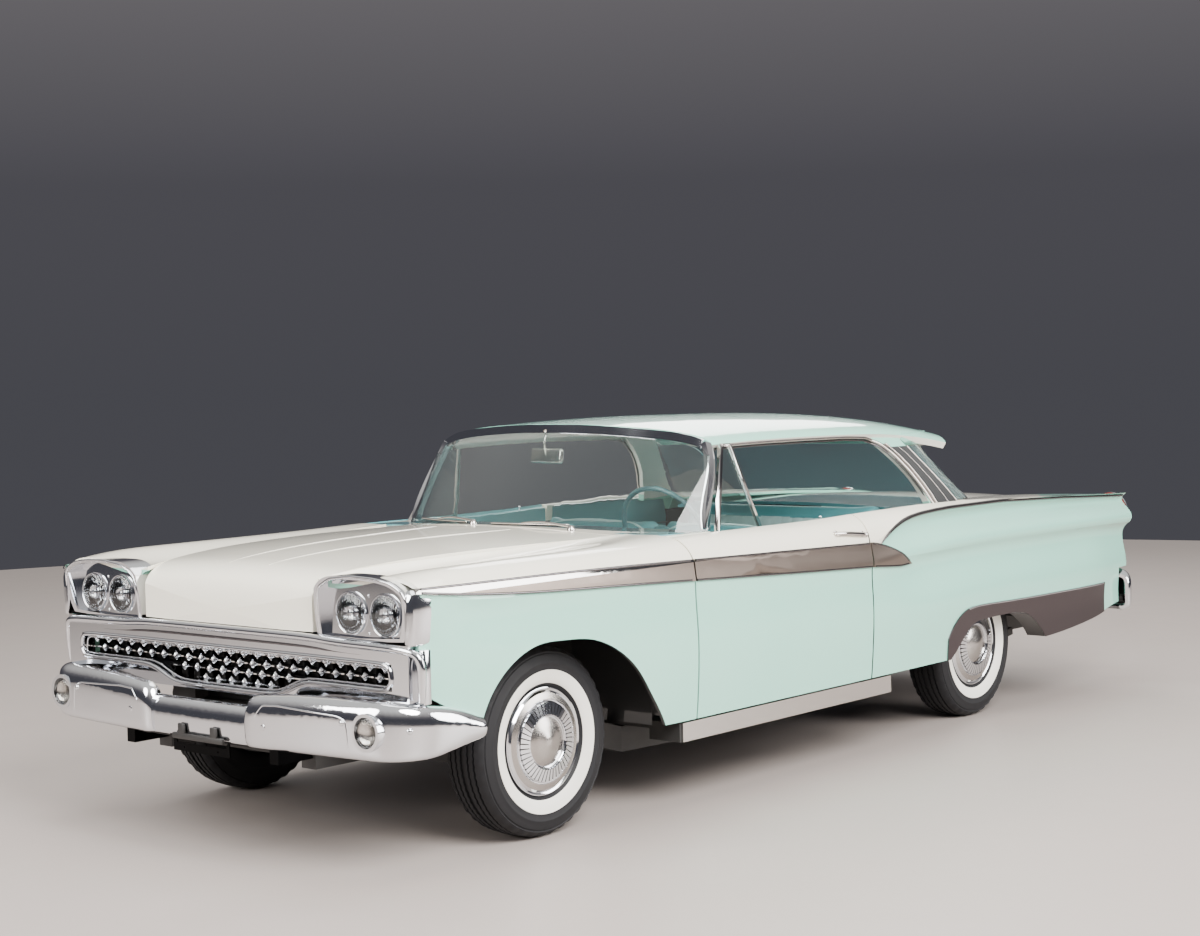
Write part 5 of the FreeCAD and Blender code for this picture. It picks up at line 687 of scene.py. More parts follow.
def along(points, count):
    """Evenly spread rows on straight runs through rows of numbers."""
    lengths = [0.0]
    for a, b in zip(points, points[1:]):
        lengths.append(lengths[-1] + math.dist(a, b))
    rows = []
    for k in range(count):
        reach = lengths[-1] * k / (count - 1)
        i = max(j for j, length in enumerate(lengths[:-1]) if length <= reach + 1e-9)
        share = (reach - lengths[i]) / (lengths[i + 1] - lengths[i])
        rows.append(tuple(p + (q - p) * share for p, q in zip(points[i], points[i + 1])))
    return rows


class CAR_OT_paint(bpy.types.Operator):
    """Gives every node of the frame its finish"""

    bl_idname = "hardtop.paint"
    bl_label = "Paint the frame"

    def execute(self, context):
        for name, key in node_finishes.items():
            mesh = nodes[name].data
            mesh.materials.clear()
            mesh.materials.append(finish_of(key))
        return {"FINISHED"}


# Stations and heights along the tail fin's moulding, from its root at the spear to the tail.
fin_line = [
    (-0.205, 0.878), (-0.250, 0.906), (-0.320, 0.936), (-0.410, 0.964), (-0.520, 0.980), (-0.660, 0.988),
    (-0.800, 0.992), (-1.250, 0.993), (-1.900, 0.973), (-2.300, 0.955), (-2.585, 0.944),
]


class CAR_OT_fin_mouldings(bpy.types.Operator):
    """Lays the plated moulding along each tail fin, its plating darkened as painted shade"""

    bl_idname = "hardtop.fin_mouldings"
    bl_label = "Fin mouldings"

    def execute(self, context):
        sizes = context.scene.car_sizes
        for side, word in sides:
            bm = bmesh.new()
            points = [on_flank("quarter_" + word, x, z, side) for x, z in along(fin_line, 40)]
            taper = [0.35, 0.8] + [1.0] * (len(points) - 3) + [0.7]
            round_bar(bm, points, sizes.fin_moulding, taper=taper)
            settle("fin_moulding_" + word, bm, "car_body", ["chrome_painted_shade"])
        return {"FINISHED"}


# Height of the side spear's middle at stations along the car.
spear_line = [
    (2.490, 0.927), (2.400, 0.921), (2.000, 0.904), (1.500, 0.890), (1.150, 0.879), (1.050, 0.876),
    (0.700, 0.864), (0.300, 0.851), (0.000, 0.841), (-0.150, 0.834), (-0.200, 0.828), (-0.300, 0.809),
    (-0.400, 0.784),
]


# How deep the borders lie in the spear, so that they stay within the car's width.
border_sunk = 0.0008


def read_line(rows, x):
    """Height of a line of (station, height) rows, whose stations fall, at station x."""
    for (x1, z1), (x2, z2) in zip(rows, rows[1:]):
        if x >= x2:
            return z1 + (z2 - z1) * (x - x1) / (x2 - x1)
    return rows[-1][1]


def spear_edges(node, stations, side):
    """Points along the upper and the lower edge of a length of the side spear."""
    upper, lower = [], []
    for x in stations:
        middle = read_line(spear_line, x)
        top = flank_edge(node, side, (x, middle), (x, middle + 0.08))[1]
        foot = flank_edge(node, side, (x, middle), (x, middle - 0.08))[1]
        inset = min(0.004, (top - foot) * 0.3)
        upper.append(on_flank(node, x, top - inset, side, -border_sunk))
        lower.append(on_flank(node, x, foot + inset, side, -border_sunk))
    return upper, lower


class CAR_OT_spears(bpy.types.Operator):
    """Edges the satin side spears with plated borders darkened as painted shade"""

    bl_idname = "hardtop.spears"
    bl_label = "Spear borders"

    def execute(self, context):
        sizes = context.scene.car_sizes
        lengths = [
            ("fender", "body_trim", "car_body", between(2.470, 1.112, 18)),
            ("door", "door_trim", None, between(1.080, -0.098, 14)),
            ("quarter", "body_trim", "car_body", between(-0.125, -0.400, 10)),
        ]
        for side, word in sides:
            for part, node, body, stations in lengths:
                if body is None:
                    node, body = f"{node}_{word}", "door_" + word
                upper, lower = spear_edges(node, stations, side)
                bm = bmesh.new()
                for run in (upper, lower):
                    round_bar(bm, run, sizes.border)
                settle(f"spear_border_{part}_{word}", bm, body, ["chrome_painted_shade"])
            # A bright bead runs along the top of the shield behind the rear wheel.
            bm = bmesh.new()
            bead = []
            for x in between(-0.880, -2.265, 26):
                top = flank_edge("body_trim", side, (x, 0.500), (x, 0.600))[1]
                bead.append(on_flank("body_trim", x, top - 0.003, side, -border_sunk))
            round_bar(bm, bead, sizes.border)
            settle("shield_bead_" + word, bm, "car_body", ["chrome"])
        return {"FINISHED"}


# Stations and heights just above the roof's side edge, from the windscreen to the rear pillar.
roof_rail = [
    (0.660, 1.310), (0.560, 1.314), (0.300, 1.318), (0.000, 1.318), (-0.300, 1.316), (-0.480, 1.308),
]
# Stations and heights of the rear pillar's front edge, from the roof down.
pillar_front = [
    (-0.570, 1.276), (-0.640, 1.226), (-0.700, 1.166), (-0.745, 1.106), (-0.785, 1.046), (-0.812, 0.998),
]


class CAR_OT_roof_trim(bpy.types.Operator):
    """Lays the drip rails over the side windows and down the rear pillars"""

    bl_idname = "hardtop.roof_trim"
    bl_label = "Roof trim"

    def execute(self, context):
        sizes = context.scene.car_sizes
        for side, word in sides:
            bm = bmesh.new()
            line = [on_flank("roof_panel", x, z, side, 0.002) for x, z in along(roof_rail + pillar_front, 34)]
            round_bar(bm, line, sizes.drip_rail)
            # The thin line under the drip rail is plating darkened as painted shade.
            inner = [p + Vector((0, -0.004 * side, -0.012)) for p in line]
            round_bar(bm, inner, sizes.drip_rail * 0.55, 1)
            # A second bright line runs down the pillar behind a satin band.
            second = [(x - 0.034, z + 0.004) for x, z in pillar_front]
            outer = [on_flank("roof_panel", x, z, side, 0.002) for x, z in along(second, 16)]
            round_bar(bm, outer, sizes.drip_rail * 0.6)
            rows = []
            for (x1, z1), (x2, z2) in zip(along(pillar_front, 16), along(second, 16)):
                rows.append([on_flank("roof_panel", x1 + (x2 - x1) * s, z1 + (z2 - z1) * s, side, 0.003)
                             for s in (0.0, 0.33, 0.67, 1.0)])
            lofted(bm, rows, ring=False, caps=False, finish_index=2)
            settle("roof_trim_" + word, bm, "car_body", ["stainless", "chrome_painted_shade", "spear"])
        return {"FINISHED"}


class CAR_OT_pillar_glass(bpy.types.Operator):
    """Lays the rear window's corner over the rear pillar as opaque glass, dark as painted shade of the cabin
    behind, and its bright foot
    """

    bl_idname = "hardtop.pillar_glass"
    bl_label = "Pillar glass"

    def execute(self, context):
        for side, word in sides:
            bm = bmesh.new()
            rows = []
            for x, z in along([(px - 0.036, min(pz, 1.262)) for px, pz in pillar_front], 20):
                end = flank_edge("roof_panel", side, (x - 0.004, z), (x - 0.404, z))[0]
                rows.append([on_flank("roof_panel", x + (end - x) * s, z, side, 0.0025)
                             for s in between(0.0, 1.0, 8)])
            lofted(bm, rows, ring=False, caps=False)
            bmesh.ops.solidify(bm, geom=bm.faces[:], thickness=0.0022)
            round_bar(bm, [row[-1] for row in rows], 0.0048, 1)
            round_bar(bm, [row[4] for row in rows], 0.0026, 1)
            settle("pillar_glass_" + word, bm, "car_body", ["glass_painted_shade", "stainless"])
        return {"FINISHED"}


class CAR_OT_roof_brow(bpy.types.Operator):
    """Deepens the roof's overhanging rear edge with a painted brow and a plated bead"""

    bl_idname = "hardtop.roof_brow"
    bl_label = "Roof brow"

    def execute(self, context):
        bm = bmesh.new()
        # Rays run in to this middle. The brow deepens to 58 mm over 140 mm of the roof's length.
        middle = Vector((-0.62, 0.0, 1.316))
        low_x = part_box("roof_panel")[0].x
        rows, foot = [], []
        for turn in between(100.0, 260.0, 61):
            ray = Vector((math.cos(math.radians(turn)), math.sin(math.radians(turn)), 0))
            spot = skin_of("roof_panel").ray_cast(middle + ray * 2, -ray)[0]
            if spot is None:
                continue
            depth = 0.058 * min(1.0, max(0.05, (-0.680 - spot.x) / 0.140))
            drop = Vector((0, 0, -depth))
            outer = spot + ray * 0.0005
            outer.x = max(outer.x, low_x)
            rows.append([outer + Vector((0, 0, 0.004)), outer + drop * 0.5, outer + drop * 0.92 - ray * 0.002,
                         outer + drop - ray * 0.006, outer + drop - ray * 0.020, outer - ray * 0.030])
            foot.append(outer + drop * 0.96 - ray * 0.003)
        lofted(bm, rows)
        round_bar(bm, foot[2:-2], 0.0034, 1)
        settle("roof_brow", bm, "car_body", ["mint", "stainless"])
        return {"FINISHED"}


class CAR_OT_door_trim(bpy.types.Operator):
    """Carries the doors' trim over with a rounded push handle in place of the plain one"""

    bl_idname = "hardtop.door_trim"
    bl_label = "Door trim"

    def execute(self, context):
        for side, word in sides:
            node = nodes["door_trim_" + word]
            bm = bmesh.new()
            bm.from_mesh(node.data)
            bmesh.ops.remove_doubles(bm, verts=bm.verts, dist=1e-6)
            plain = [v for v in bm.verts if -0.2 < v.co.x < 0.2 and 0.8985 < v.co.z < 0.968]
            bmesh.ops.delete(bm, geom=plain, context="VERTS")
            panel = "door_" + word
            grip = [(0.136, 0.939, 0.010), (0.118, 0.940, 0.017), (0.040, 0.936, 0.021),
                    (-0.030, 0.929, 0.021), (-0.066, 0.925, 0.017), (-0.080, 0.923, 0.009)]
            rows = []
            for x, z, reach in grip:
                wall = on_flank(panel, x, z, side)
                row = []
                for k in range(12):
                    turn = math.tau * k / 12
                    row.append(wall + Vector((0, side * (reach - 0.006 + 0.0048 * math.cos(turn)),
                                              0.0085 * math.sin(turn))))
                rows.append(row)
            lofted(bm, rows)
            for x, z, length in ((0.122, 0.940, 0.016), (-0.062, 0.926, 0.016)):
                wall = on_flank(panel, x, z, side)
                spin_profile(bm, [(0.0135, -0.002), (0.0130, 0.003), (0.0085, 0.007), (0.0070, length)], 24,
                             turned_to((0, side, 0), wall))
            lock = on_flank(panel, -0.086, 0.922, side)
            spin_profile(bm, [(0, 0.013), (0.006, 0.0125), (0.0090, 0.010), (0.0105, 0.004),
                              (0.0105, -0.002)], 24, turned_to((0, side, 0), lock))
            settle("door_trim_fitted_" + word, bm, panel, ["side_trim"], [node.name])
        return {"FINISHED"}


class CAR_OT_hood_creases(bpy.types.Operator):
    """Raises the two soft creases that run down the middle of the hood"""

    bl_idname = "hardtop.hood_creases"
    bl_label = "Hood creases"

    def execute(self, context):
        bm = bmesh.new()
        for side in (left, right):
            points, taper = [], []
            for x, y in along([(1.26, 0.200), (1.70, 0.150), (2.10, 0.120), (2.38, 0.105)], 24):
                points.append(on_top("hood", x, y * side, -0.0105))
                taper.append(min(1.0, 0.86 + 0.1 * math.sin((x - 1.26) / 1.12 * math.pi)))
            round_bar(bm, points, 0.014, taper=taper)
        settle("hood_creases", bm, "hood", ["cream"])
        return {"FINISHED"}


class CAR_OT_wipers(bpy.types.Operator):
    """Models the two wipers that rest at the foot of the windscreen"""

    bl_idname = "hardtop.wipers"
    bl_label = "Wipers"

    def execute(self, context):
        for word, pivot_y, tip_y in (("left", 0.400, -0.020), ("right", -0.120, -0.520)):
            bm = bmesh.new()
            pivot = on_top("cowl_panel", 1.128, pivot_y)
            spin_profile(bm, [(0, 0.020), (0.008, 0.019), (0.012, 0.013), (0.016, 0.004), (0.016, -0.004)],
                         20, Matrix.Translation(pivot))
            blade = []
            for share in between(0.0, 1.0, 9):
                y = pivot_y + (tip_y - pivot_y) * share
                spot = skin_of("windscreen_glass").ray_cast(Vector((2.0, y, 1.018)), Vector((-1, 0, 0)))[0]
                blade.append((spot or pivot) + Vector((0.010, 0, 0.004)))
            arm = [pivot + Vector((0, 0, 0.014))]
            arm += [pivot.lerp(blade[5], share) + Vector((0.004, 0, 0.020)) for share in (0.35, 0.7)]
            arm.append(blade[5] + Vector((0.004, 0, 0.008)))
            round_bar(bm, arm, 0.0042, taper=[1.3, 1.0, 0.9, 0.7])
            round_bar(bm, [p + Vector((0.003, 0, 0.004)) for p in blade[1:]], 0.0032)
            round_bar(bm, blade[1:], 0.0036, 1)
            settle("wiper_" + word, bm, "car_body", ["stainless", "black_rubber"])
        return {"FINISHED"}


def tyre_profile(sizes):
    """Half a tyre in section from bead to tread, each point (radius, outwards, finish)."""
    black, white = 0, 1
    return [
        (0.1885, 0.066, black), (0.1935, 0.0695, black), (0.1990, 0.0765, black),
        (sizes.white_inner, 0.0790, black), (sizes.white_inner + 0.001, 0.0802, white),
        (0.220, 0.0872, white), (0.235, 0.0908, white), (sizes.white_outer - 0.001, 0.0932, white),
        (sizes.white_outer, 0.0920, white), (0.2550, 0.0925, black), (0.2700, 0.0938, black),
        (0.2720, 0.0948, black), (0.2760, 0.0948, black), (0.2780, 0.0935, black), (0.2900, 0.0915, black),
        (0.3040, 0.0868, black), (0.3060, 0.0835, black), (0.3090, 0.0830, black), (0.3120, 0.0850, black),
        (0.3210, 0.0800, black), (0.3280, 0.0705, black),
    ]


class CAR_OT_tyres(bpy.types.Operator):
    """Models the whitewall tyres with their ribbed tread"""

    bl_idname = "hardtop.tyres"
    bl_label = "Tyres"

    def execute(self, context):
        sizes = context.scene.car_sizes
        outer = tyre_profile(sizes)
        # Ribs of the tread, from the outer shoulder to the middle: (radius, place).
        ribs = [
            (0.3302, 0.0560), (0.3225, 0.0550), (0.3225, 0.0490), (0.3315, 0.0480), (0.3325, 0.0310),
            (0.3250, 0.0300), (0.3250, 0.0240), (0.3332, 0.0230), (0.3338, 0.0080), (0.3260, 0.0070),
        ]
        tread = [(r, y, 0) for r, y in ribs]
        tread += [(r, -y, 0) for r, y in reversed(ribs)]
        inner = [(r, -y, 0) for r, y, _ in reversed(outer)]
        profile = outer + tread + inner + [outer[0]]
        steps = 160
        for corner, side in corners.items():
            body = "wheel_" + corner
            bm = bmesh.new()
            spin_profile(bm, profile, steps, Matrix.Identity(4))
            for vert in bm.verts:
                radius = math.hypot(vert.co.x, vert.co.y)
                if radius < 0.318:
                    continue
                turn = round(math.atan2(vert.co.y, vert.co.x) / math.tau * steps)
                if abs(vert.co.z) < 0.057:
                    # The tread's ribs run in a fine zigzag.
                    vert.co.z += 0.0022 if turn % 2 else -0.0022
                elif turn % 4 < 2 and radius > 0.3195:
                    # Slots cut the shoulder into blocks.
                    vert.co.x *= 1 - 0.0045 / radius
                    vert.co.y *= 1 - 0.0045 / radius
            bmesh.ops.transform(bm, matrix=turned_to((0, side, 0), hub[body]), verts=bm.verts)
            settle("tyre_whitewall_" + corner, bm, body, ["black_rubber", "white_rubber"],
                   ["tyre_" + corner])
        return {"FINISHED"}


def cover_profile():
    """The wheel cover in section, each point (radius, outwards of the wheel's middle, finish)."""
    # The fin ring starts in satin black, which stays on the slots as painted shade.
    bright, satin, fin_ring_shade = 0, 1, 2
    return [
        (0.1890, 0.0690, bright), (0.1900, 0.0715, bright), (0.1885, 0.0745, bright),
        (0.1850, 0.0755, bright), (0.1815, 0.0735, bright), (0.1780, 0.0720, bright),
        (0.1745, 0.0745, bright), (0.1700, 0.0790, bright), (0.1540, 0.0835, satin),
        (0.1480, 0.0848, satin), (0.1465, 0.0820, bright), (0.1425, 0.0815, bright),
        (0.1405, 0.0855, bright), (0.1380, 0.0870, bright), (0.0960, 0.0930, fin_ring_shade),
        (0.0935, 0.0945, bright), (0.0910, 0.0925, bright), (0.0890, 0.0885, bright),
        (0.0870, 0.0880, bright), (0.0850, 0.0895, bright), (0.0500, 0.0975, satin),
        (0.0200, 0.1040, satin), (0.0000, 0.1080, satin),
    ]


class CAR_OT_wheels(bpy.types.Operator):
    """Models the rims and their covers with a ring of fins round a pointed centre"""

    bl_idname = "hardtop.wheels"
    bl_label = "Wheels"

    def execute(self, context):
        fins = context.scene.car_sizes.cover_fins
        rim = [
            (0.1860, 0.0720), (0.1885, 0.0700), (0.1878, 0.0665), (0.1805, 0.0655),
            (0.1790, 0.0300), (0.1650, 0.0200), (0.1650, -0.0150), (0.1790, -0.0300),
            (0.1805, -0.0655), (0.1878, -0.0670), (0.1880, -0.0735), (0.1735, -0.0735),
            (0.1700, -0.0300), (0.1560, -0.0180), (0.1560, 0.0350), (0.1380, 0.0380),
            (0.1375, -0.0215), (0.0230, -0.0215),
        ]
        for corner, side in corners.items():
            body = "wheel_" + corner
            bm = bmesh.new()
            spin_profile(bm, cover_profile(), fins * 4, Matrix.Identity(4))
            ring = [f for f in bm.faces if f.material_index == 2]
            ring.sort(key=lambda f: math.atan2(f.calc_center_median().y, f.calc_center_median().x))
            # Two faces of four in each pitch rise as a fin; the other two sink as a slot, painted black as
            # shade between the fins.
            for share, finish_index, rise in (((1, 2), 0, 0.0070), ((0, 3), 2, -0.0080)):
                region = [f for k, f in enumerate(ring) if k % 4 in share]
                for face in region:
                    face.material_index = finish_index
                made = bmesh.ops.extrude_face_region(bm, geom=region)
                verts = [v for v in made["geom"] if isinstance(v, bmesh.types.BMVert)]
                bmesh.ops.translate(bm, vec=(0, 0, rise), verts=verts)
                if rise > 0:
                    for vert in verts:
                        # Each fin's crest narrows and leans round, as a pressed blade does.
                        pitch = math.tau / fins
                        angle = math.atan2(vert.co.y, vert.co.x)
                        middle = (math.floor(angle / pitch) + 0.5) * pitch
                        lean = 0.16 * pitch * (0.117 - math.hypot(vert.co.x, vert.co.y)) / 0.021
                        turned = middle + (angle - middle) * 0.45 + lean
                        radius = math.hypot(vert.co.x, vert.co.y)
                        vert.co.x = radius * math.cos(turned)
                        vert.co.y = radius * math.sin(turned)
                bmesh.ops.delete(bm, geom=region, context="FACES")
            spin_profile(bm, rim, 96, Matrix.Identity(4), 3)
            bmesh.ops.transform(bm, matrix=turned_to((0, side, 0), hub[body]), verts=bm.verts)
            settle("wheel_cover_" + corner, bm, body, ["chrome", "cover", "black", "frame"],
                   ["wheel_" + corner], crease=24)
        return {"FINISHED"}


class CAR_OT_headlamps(bpy.types.Operator):
    """Models the four sealed-beam lamps with reflectors, retaining rings and fluted lenses"""

    bl_idname = "hardtop.headlamps"
    bl_label = "Headlamps"

    def execute(self, context):
        low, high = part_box("headlamps")
        radius = (high.z - low.z) / 2
        level = (high.z + low.z) / 2
        lamp_pitch = 0.163
        outer = high.y - radius
        inner = outer - lamp_pitch
        face = high.x - 0.016
        glass, metal = bmesh.new(), bmesh.new()
        for side in (left, right):
            for reach in (outer, inner):
                place = turned_to((1, 0, 0), Vector((face, reach * side, level)))
                lens = [(radius - 0.004, -0.002), (radius - 0.004, 0.002), (radius * 0.86, 0.0080),
                        (radius * 0.60, 0.0125), (radius * 0.30, 0.0150), (0, 0.0158)]
                lens += [(r, z - 0.003) for r, z in reversed(lens[1:])]
                spin_profile(glass, lens, 64, place)
                bowl = [(radius - 0.003, -0.001), (radius * 0.92, -0.014), (radius * 0.75, -0.030),
                        (radius * 0.50, -0.043), (radius * 0.25, -0.049), (0, -0.051)]
                spin_profile(metal, bowl, 64, place)
                ring = [(radius - 0.0005, -0.010), (radius - 0.0005, 0.001), (radius - 0.0015, 0.0045),
                        (radius - 0.0045, 0.0050), (radius - 0.0070, 0.0035), (radius - 0.0060, -0.002)]
                spin_profile(metal, ring, 64, place)
                shade = [(0.0, -0.012), (0.011, -0.014), (0.0125, -0.020), (0.0125, -0.046)]
                spin_profile(metal, shade, 24, place)
            # Two trim screws stand between the lamps of each pair.
            for height in (level + 0.060, level - 0.062):
                spot = on_nose("headlamp_bezels", (outer + inner) / 2 * side, height)
                spin_profile(metal, [(0, 0.0030), (0.003, 0.0026), (0.0048, 0.0010), (0.0050, -0.001)], 16,
                             turned_to((1, 0, 0), spot))
        settle("headlamp_lenses", glass, "car_body", ["lamp_glass"], ["headlamps"])
        settle("headlamp_reflectors", metal, "car_body", ["chrome"], ["headlamps"])
        return {"FINISHED"}


class CAR_OT_grille_rim(bpy.types.Operator):
    """Frames the grille opening with a plated rim, and sets a black sheet behind the stars as painted shade
    of the space behind them
    """

    bl_idname = "hardtop.grille_rim"
    bl_label = "Grille rim"

    def execute(self, context):
        low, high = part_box("grille")
        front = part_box("front_surround")[1].x
        reach = high.y
        top = high.z - 0.006
        shoulder = 0.601
        drop = 0.544
        corner = 0.024
        half = [
            (0.0, top), (reach - corner * 2, top), (reach - corner * 0.3, top - corner * 0.3),
            (reach, top - corner * 2), (reach - corner * 0.1, shoulder + corner), (reach - corner, shoulder),
            (reach - corner * 3, shoulder), (0.500, shoulder), (0.430, shoulder - 0.001),
            (0.380, shoulder - 0.013), (0.325, drop + 0.020), (0.275, drop + 0.004), (0.215, drop),
            (0.0, drop),
        ]
        ring = half + [(-y, z) for y, z in half[-2:0:-1]]
        bm = bmesh.new()
        round_bar(bm, [(front + 0.001, y, z) for y, z in ring], 0.0085, closed=True)
        inner = [((y - math.copysign(0.012, y) if abs(y) > 0.01 else y), z + (0.011 if z < 0.62 else -0.011))
                 for y, z in ring]
        round_bar(bm, [(front - 0.012, y, z) for y, z in inner], 0.004, closed=True)
        settle("grille_rim", bm, "car_body", ["chrome"])
        # A black sheet behind the grille stands as painted shade of the space behind it.
        shade_sheet = bmesh.new()
        soft_box(shade_sheet, (low.x - 0.010, -reach - 0.01, shoulder - 0.03),
                 (low.x - 0.006, reach + 0.01, top + 0.02), 0.001, 1)
        soft_box(shade_sheet, (low.x - 0.010, -0.42, drop - 0.01), (low.x - 0.006, 0.42, shoulder - 0.02),
                 0.001, 1)
        settle("grille_backing", shade_sheet, "car_body", ["black"], smooth=False)
        return {"FINISHED"}


class CAR_OT_front_bumper(bpy.types.Operator):
    """Adds the parking lamps, bolts and pressed beads of the front bumper"""

    bl_idname = "hardtop.front_bumper"
    bl_label = "Front bumper"

    def execute(self, context):
        metal, glass = bmesh.new(), bmesh.new()
        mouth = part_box("bumper_front")[1].x - 0.0425
        for side in (left, right):
            for y, z in ((0.344, 0.462), (0.700, 0.506), (0.930, 0.486)):
                ray = Vector((-1, -0.12 * side, 0)).normalized()
                spot, normal = skin_of("bumper_front").ray_cast(Vector((3.2, (y + 0.08) * side, z)), ray)[:2]
                spin_profile(metal, [(0, 0.0060), (0.005, 0.0054), (0.0085, 0.0034), (0.0105, 0.0004),
                                     (0.0105, -0.002)], 24, turned_to(normal, spot))
            place = turned_to((1, 0, 0), Vector((mouth, 0.812 * side, 0.482)))
            spin_profile(metal, [(0.060, -0.004), (0.061, 0.004), (0.057, 0.008), (0.052, 0.006),
                                 (0.0495, 0.0), (0.0495, -0.012)], 56, place)
            spin_profile(metal, [(0.0495, -0.010), (0.036, -0.016), (0.015, -0.018), (0, -0.018)], 56, place)
            lens = [(0.0490, -0.006), (0.0490, -0.002), (0.040, 0.004), (0.020, 0.008), (0, 0.009)]
            lens += [(r, z - 0.003) for r, z in reversed(lens[1:])]
            spin_profile(glass, lens, 56, place)
            # A pressed bead frames each wing between the bolts.
            frame_line = along([(0.300, 0.430), (0.318, 0.500), (0.350, 0.534), (0.420, 0.538),
                                (0.690, 0.526), (0.722, 0.515), (0.728, 0.490), (0.734, 0.425)], 40)
            bead = traced("bumper_front", [(y * side, z) for y, z in frame_line], 1, -0.0014)
            round_bar(metal, bead, 0.0032)
        # The bolts' low heads stay behind the bumper's foremost line.
        foremost = cad_box[1][0] - 0.0004
        for vert in metal.verts:
            vert.co.x = min(vert.co.x, foremost)
        settle("bumper_front_details", metal, "car_body", ["chrome"])
        settle("parking_lamp_lenses", glass, "car_body", ["parking_glass"])
        return {"FINISHED"}


class CAR_OT_nose_trim(bpy.types.Operator):
    """Adds the plated header bar, the caps and lips round the lamps, and the plate's bracket"""

    bl_idname = "hardtop.nose_trim"
    bl_label = "Nose trim"

    def execute(self, context):
        bm = bmesh.new()
        # The header bar runs under the hood's lip and falls round both ends of the surround.
        half = [(2.500, 0.0, 0.7515), (2.500, 0.300, 0.7515), (2.499, 0.460, 0.7500), (2.497, 0.560, 0.7420),
                (2.497, 0.760, 0.7400), (2.494, 0.880, 0.7370), (2.483, 0.928, 0.7250), (2.476, 0.942, 0.690),
                (2.474, 0.940, 0.630), (2.472, 0.934, 0.572)]
        run = [Vector((x, -y, z)) for x, y, z in reversed(half[1:])] + [Vector(p) for p in half]
        taper = [0.75] + [1.0] * (len(run) - 2) + [0.75]
        round_bar(bm, run, 0.0145, taper=taper)
        # The bar under the header is plating darkened as painted shade.
        second = [p + Vector((-0.004, 0, -0.031)) for p in run if abs(p.y) < 0.90]
        round_bar(bm, second, 0.0060, 1)
        for side, word in sides:
            fender = "front_fender_" + word
            rows = []
            for z, share in ((0.752, 0.9), (0.758, 1.0), (0.800, 1.0), (0.850, 1.0), (0.890, 1.0),
                             (0.915, 0.9), (0.928, 0.6)):
                edge = abs(on_flank(fender, 2.440, z, side).y)
                inner = 0.900
                outer = inner + (edge - inner) * share
                front = 2.470 + 0.036 * share
                rows.append([Vector((2.425, side * inner, z)), Vector((front, side * inner, z)),
                             Vector((front + 0.002, side * (inner + outer) / 2, z)),
                             Vector((front - 0.006, side * (outer - 0.004), z)),
                             Vector((front - 0.022, side * (outer + 0.0012), z)),
                             Vector((2.425, side * (outer + 0.0012), z))])
            lofted(bm, rows)
            # A plate closes the corner between the surround and the fender.
            soft_box(bm, (2.436, side * 0.893, 0.562), (2.4705, side * 0.944, 0.738), 0.004, 2)
            # The lip over the lamps follows the bezel's brow.
            brow = along([(0.486, 0.760), (0.482, 0.860), (0.500, 0.922), (0.560, 0.952), (0.660, 0.9635),
                          (0.780, 0.9600), (0.870, 0.9440), (0.905, 0.905), (0.906, 0.790)], 34)
            lip = traced("headlamp_bezels", [(y * side, z) for y, z in brow], 1, -0.001)
            round_bar(bm, lip, 0.0050)
        settle("nose_trim", bm, "car_body", ["chrome", "chrome_painted_shade"])
        bracket = bmesh.new()
        for y in (-0.080, 0.092):
            soft_box(bracket, (2.628, y - 0.017, 0.388), (2.6375, y + 0.017, 0.436), 0.004, 2)
        soft_box(bracket, (2.624, -0.128, 0.381), (2.6385, 0.140, 0.402), 0.004, 2)
        settle("plate_bracket", bracket, "car_body", ["frame"])
        return {"FINISHED"}


class CAR_OT_grille_stars(bpy.types.Operator):
    """Sets a fuller plated star on each star of the grille"""

    bl_idname = "hardtop.grille_stars"
    bl_label = "Grille stars"

    def execute(self, context):
        bm = bmesh.new()
        pitch = 0.070
        # Level of each row, place of its first star from the middle, and place of its last star.
        for level, offset, last in ((0.6698, 0.0, 0.770), (0.6338, 0.035, 0.735), (0.5978, 0.0, 0.280),
                                    (0.5618, 0.035, 0.175)):
            stars = round((last - offset) / pitch) + 1
            places = sorted({sign * (offset + pitch * k) for k in range(stars) for sign in (1, -1)})
            for y in places:
                tip = on_nose("grille", y, level)
                rows = []
                for setback, share in ((0.0105, 1.0), (0.0075, 1.0), (0.0020, 0.62), (-0.0010, 0.30)):
                    ring = []
                    for k in range(16):
                        turn = math.tau * k / 16
                        reach = (1.0, 0.70, 0.52, 0.70)[k % 4]
                        ring.append(tip + Vector((-setback, 0.0315 * share * reach * math.cos(turn),
                                                  0.0160 * share * reach * math.sin(turn))))
                    rows.append(ring)
                lofted(bm, rows)
        settle("grille_stars", bm, "car_body", ["chrome"], crease=24)
        return {"FINISHED"}


# Size of the voxels that a pad is remeshed in, and the steps of its cloth.
pad_voxel = 0.013
pad_steps = 20
# Lean of the front backrests in degrees, and the distance of their middles from the car's.
front_lean = -13.5
front_back_y = 0.343


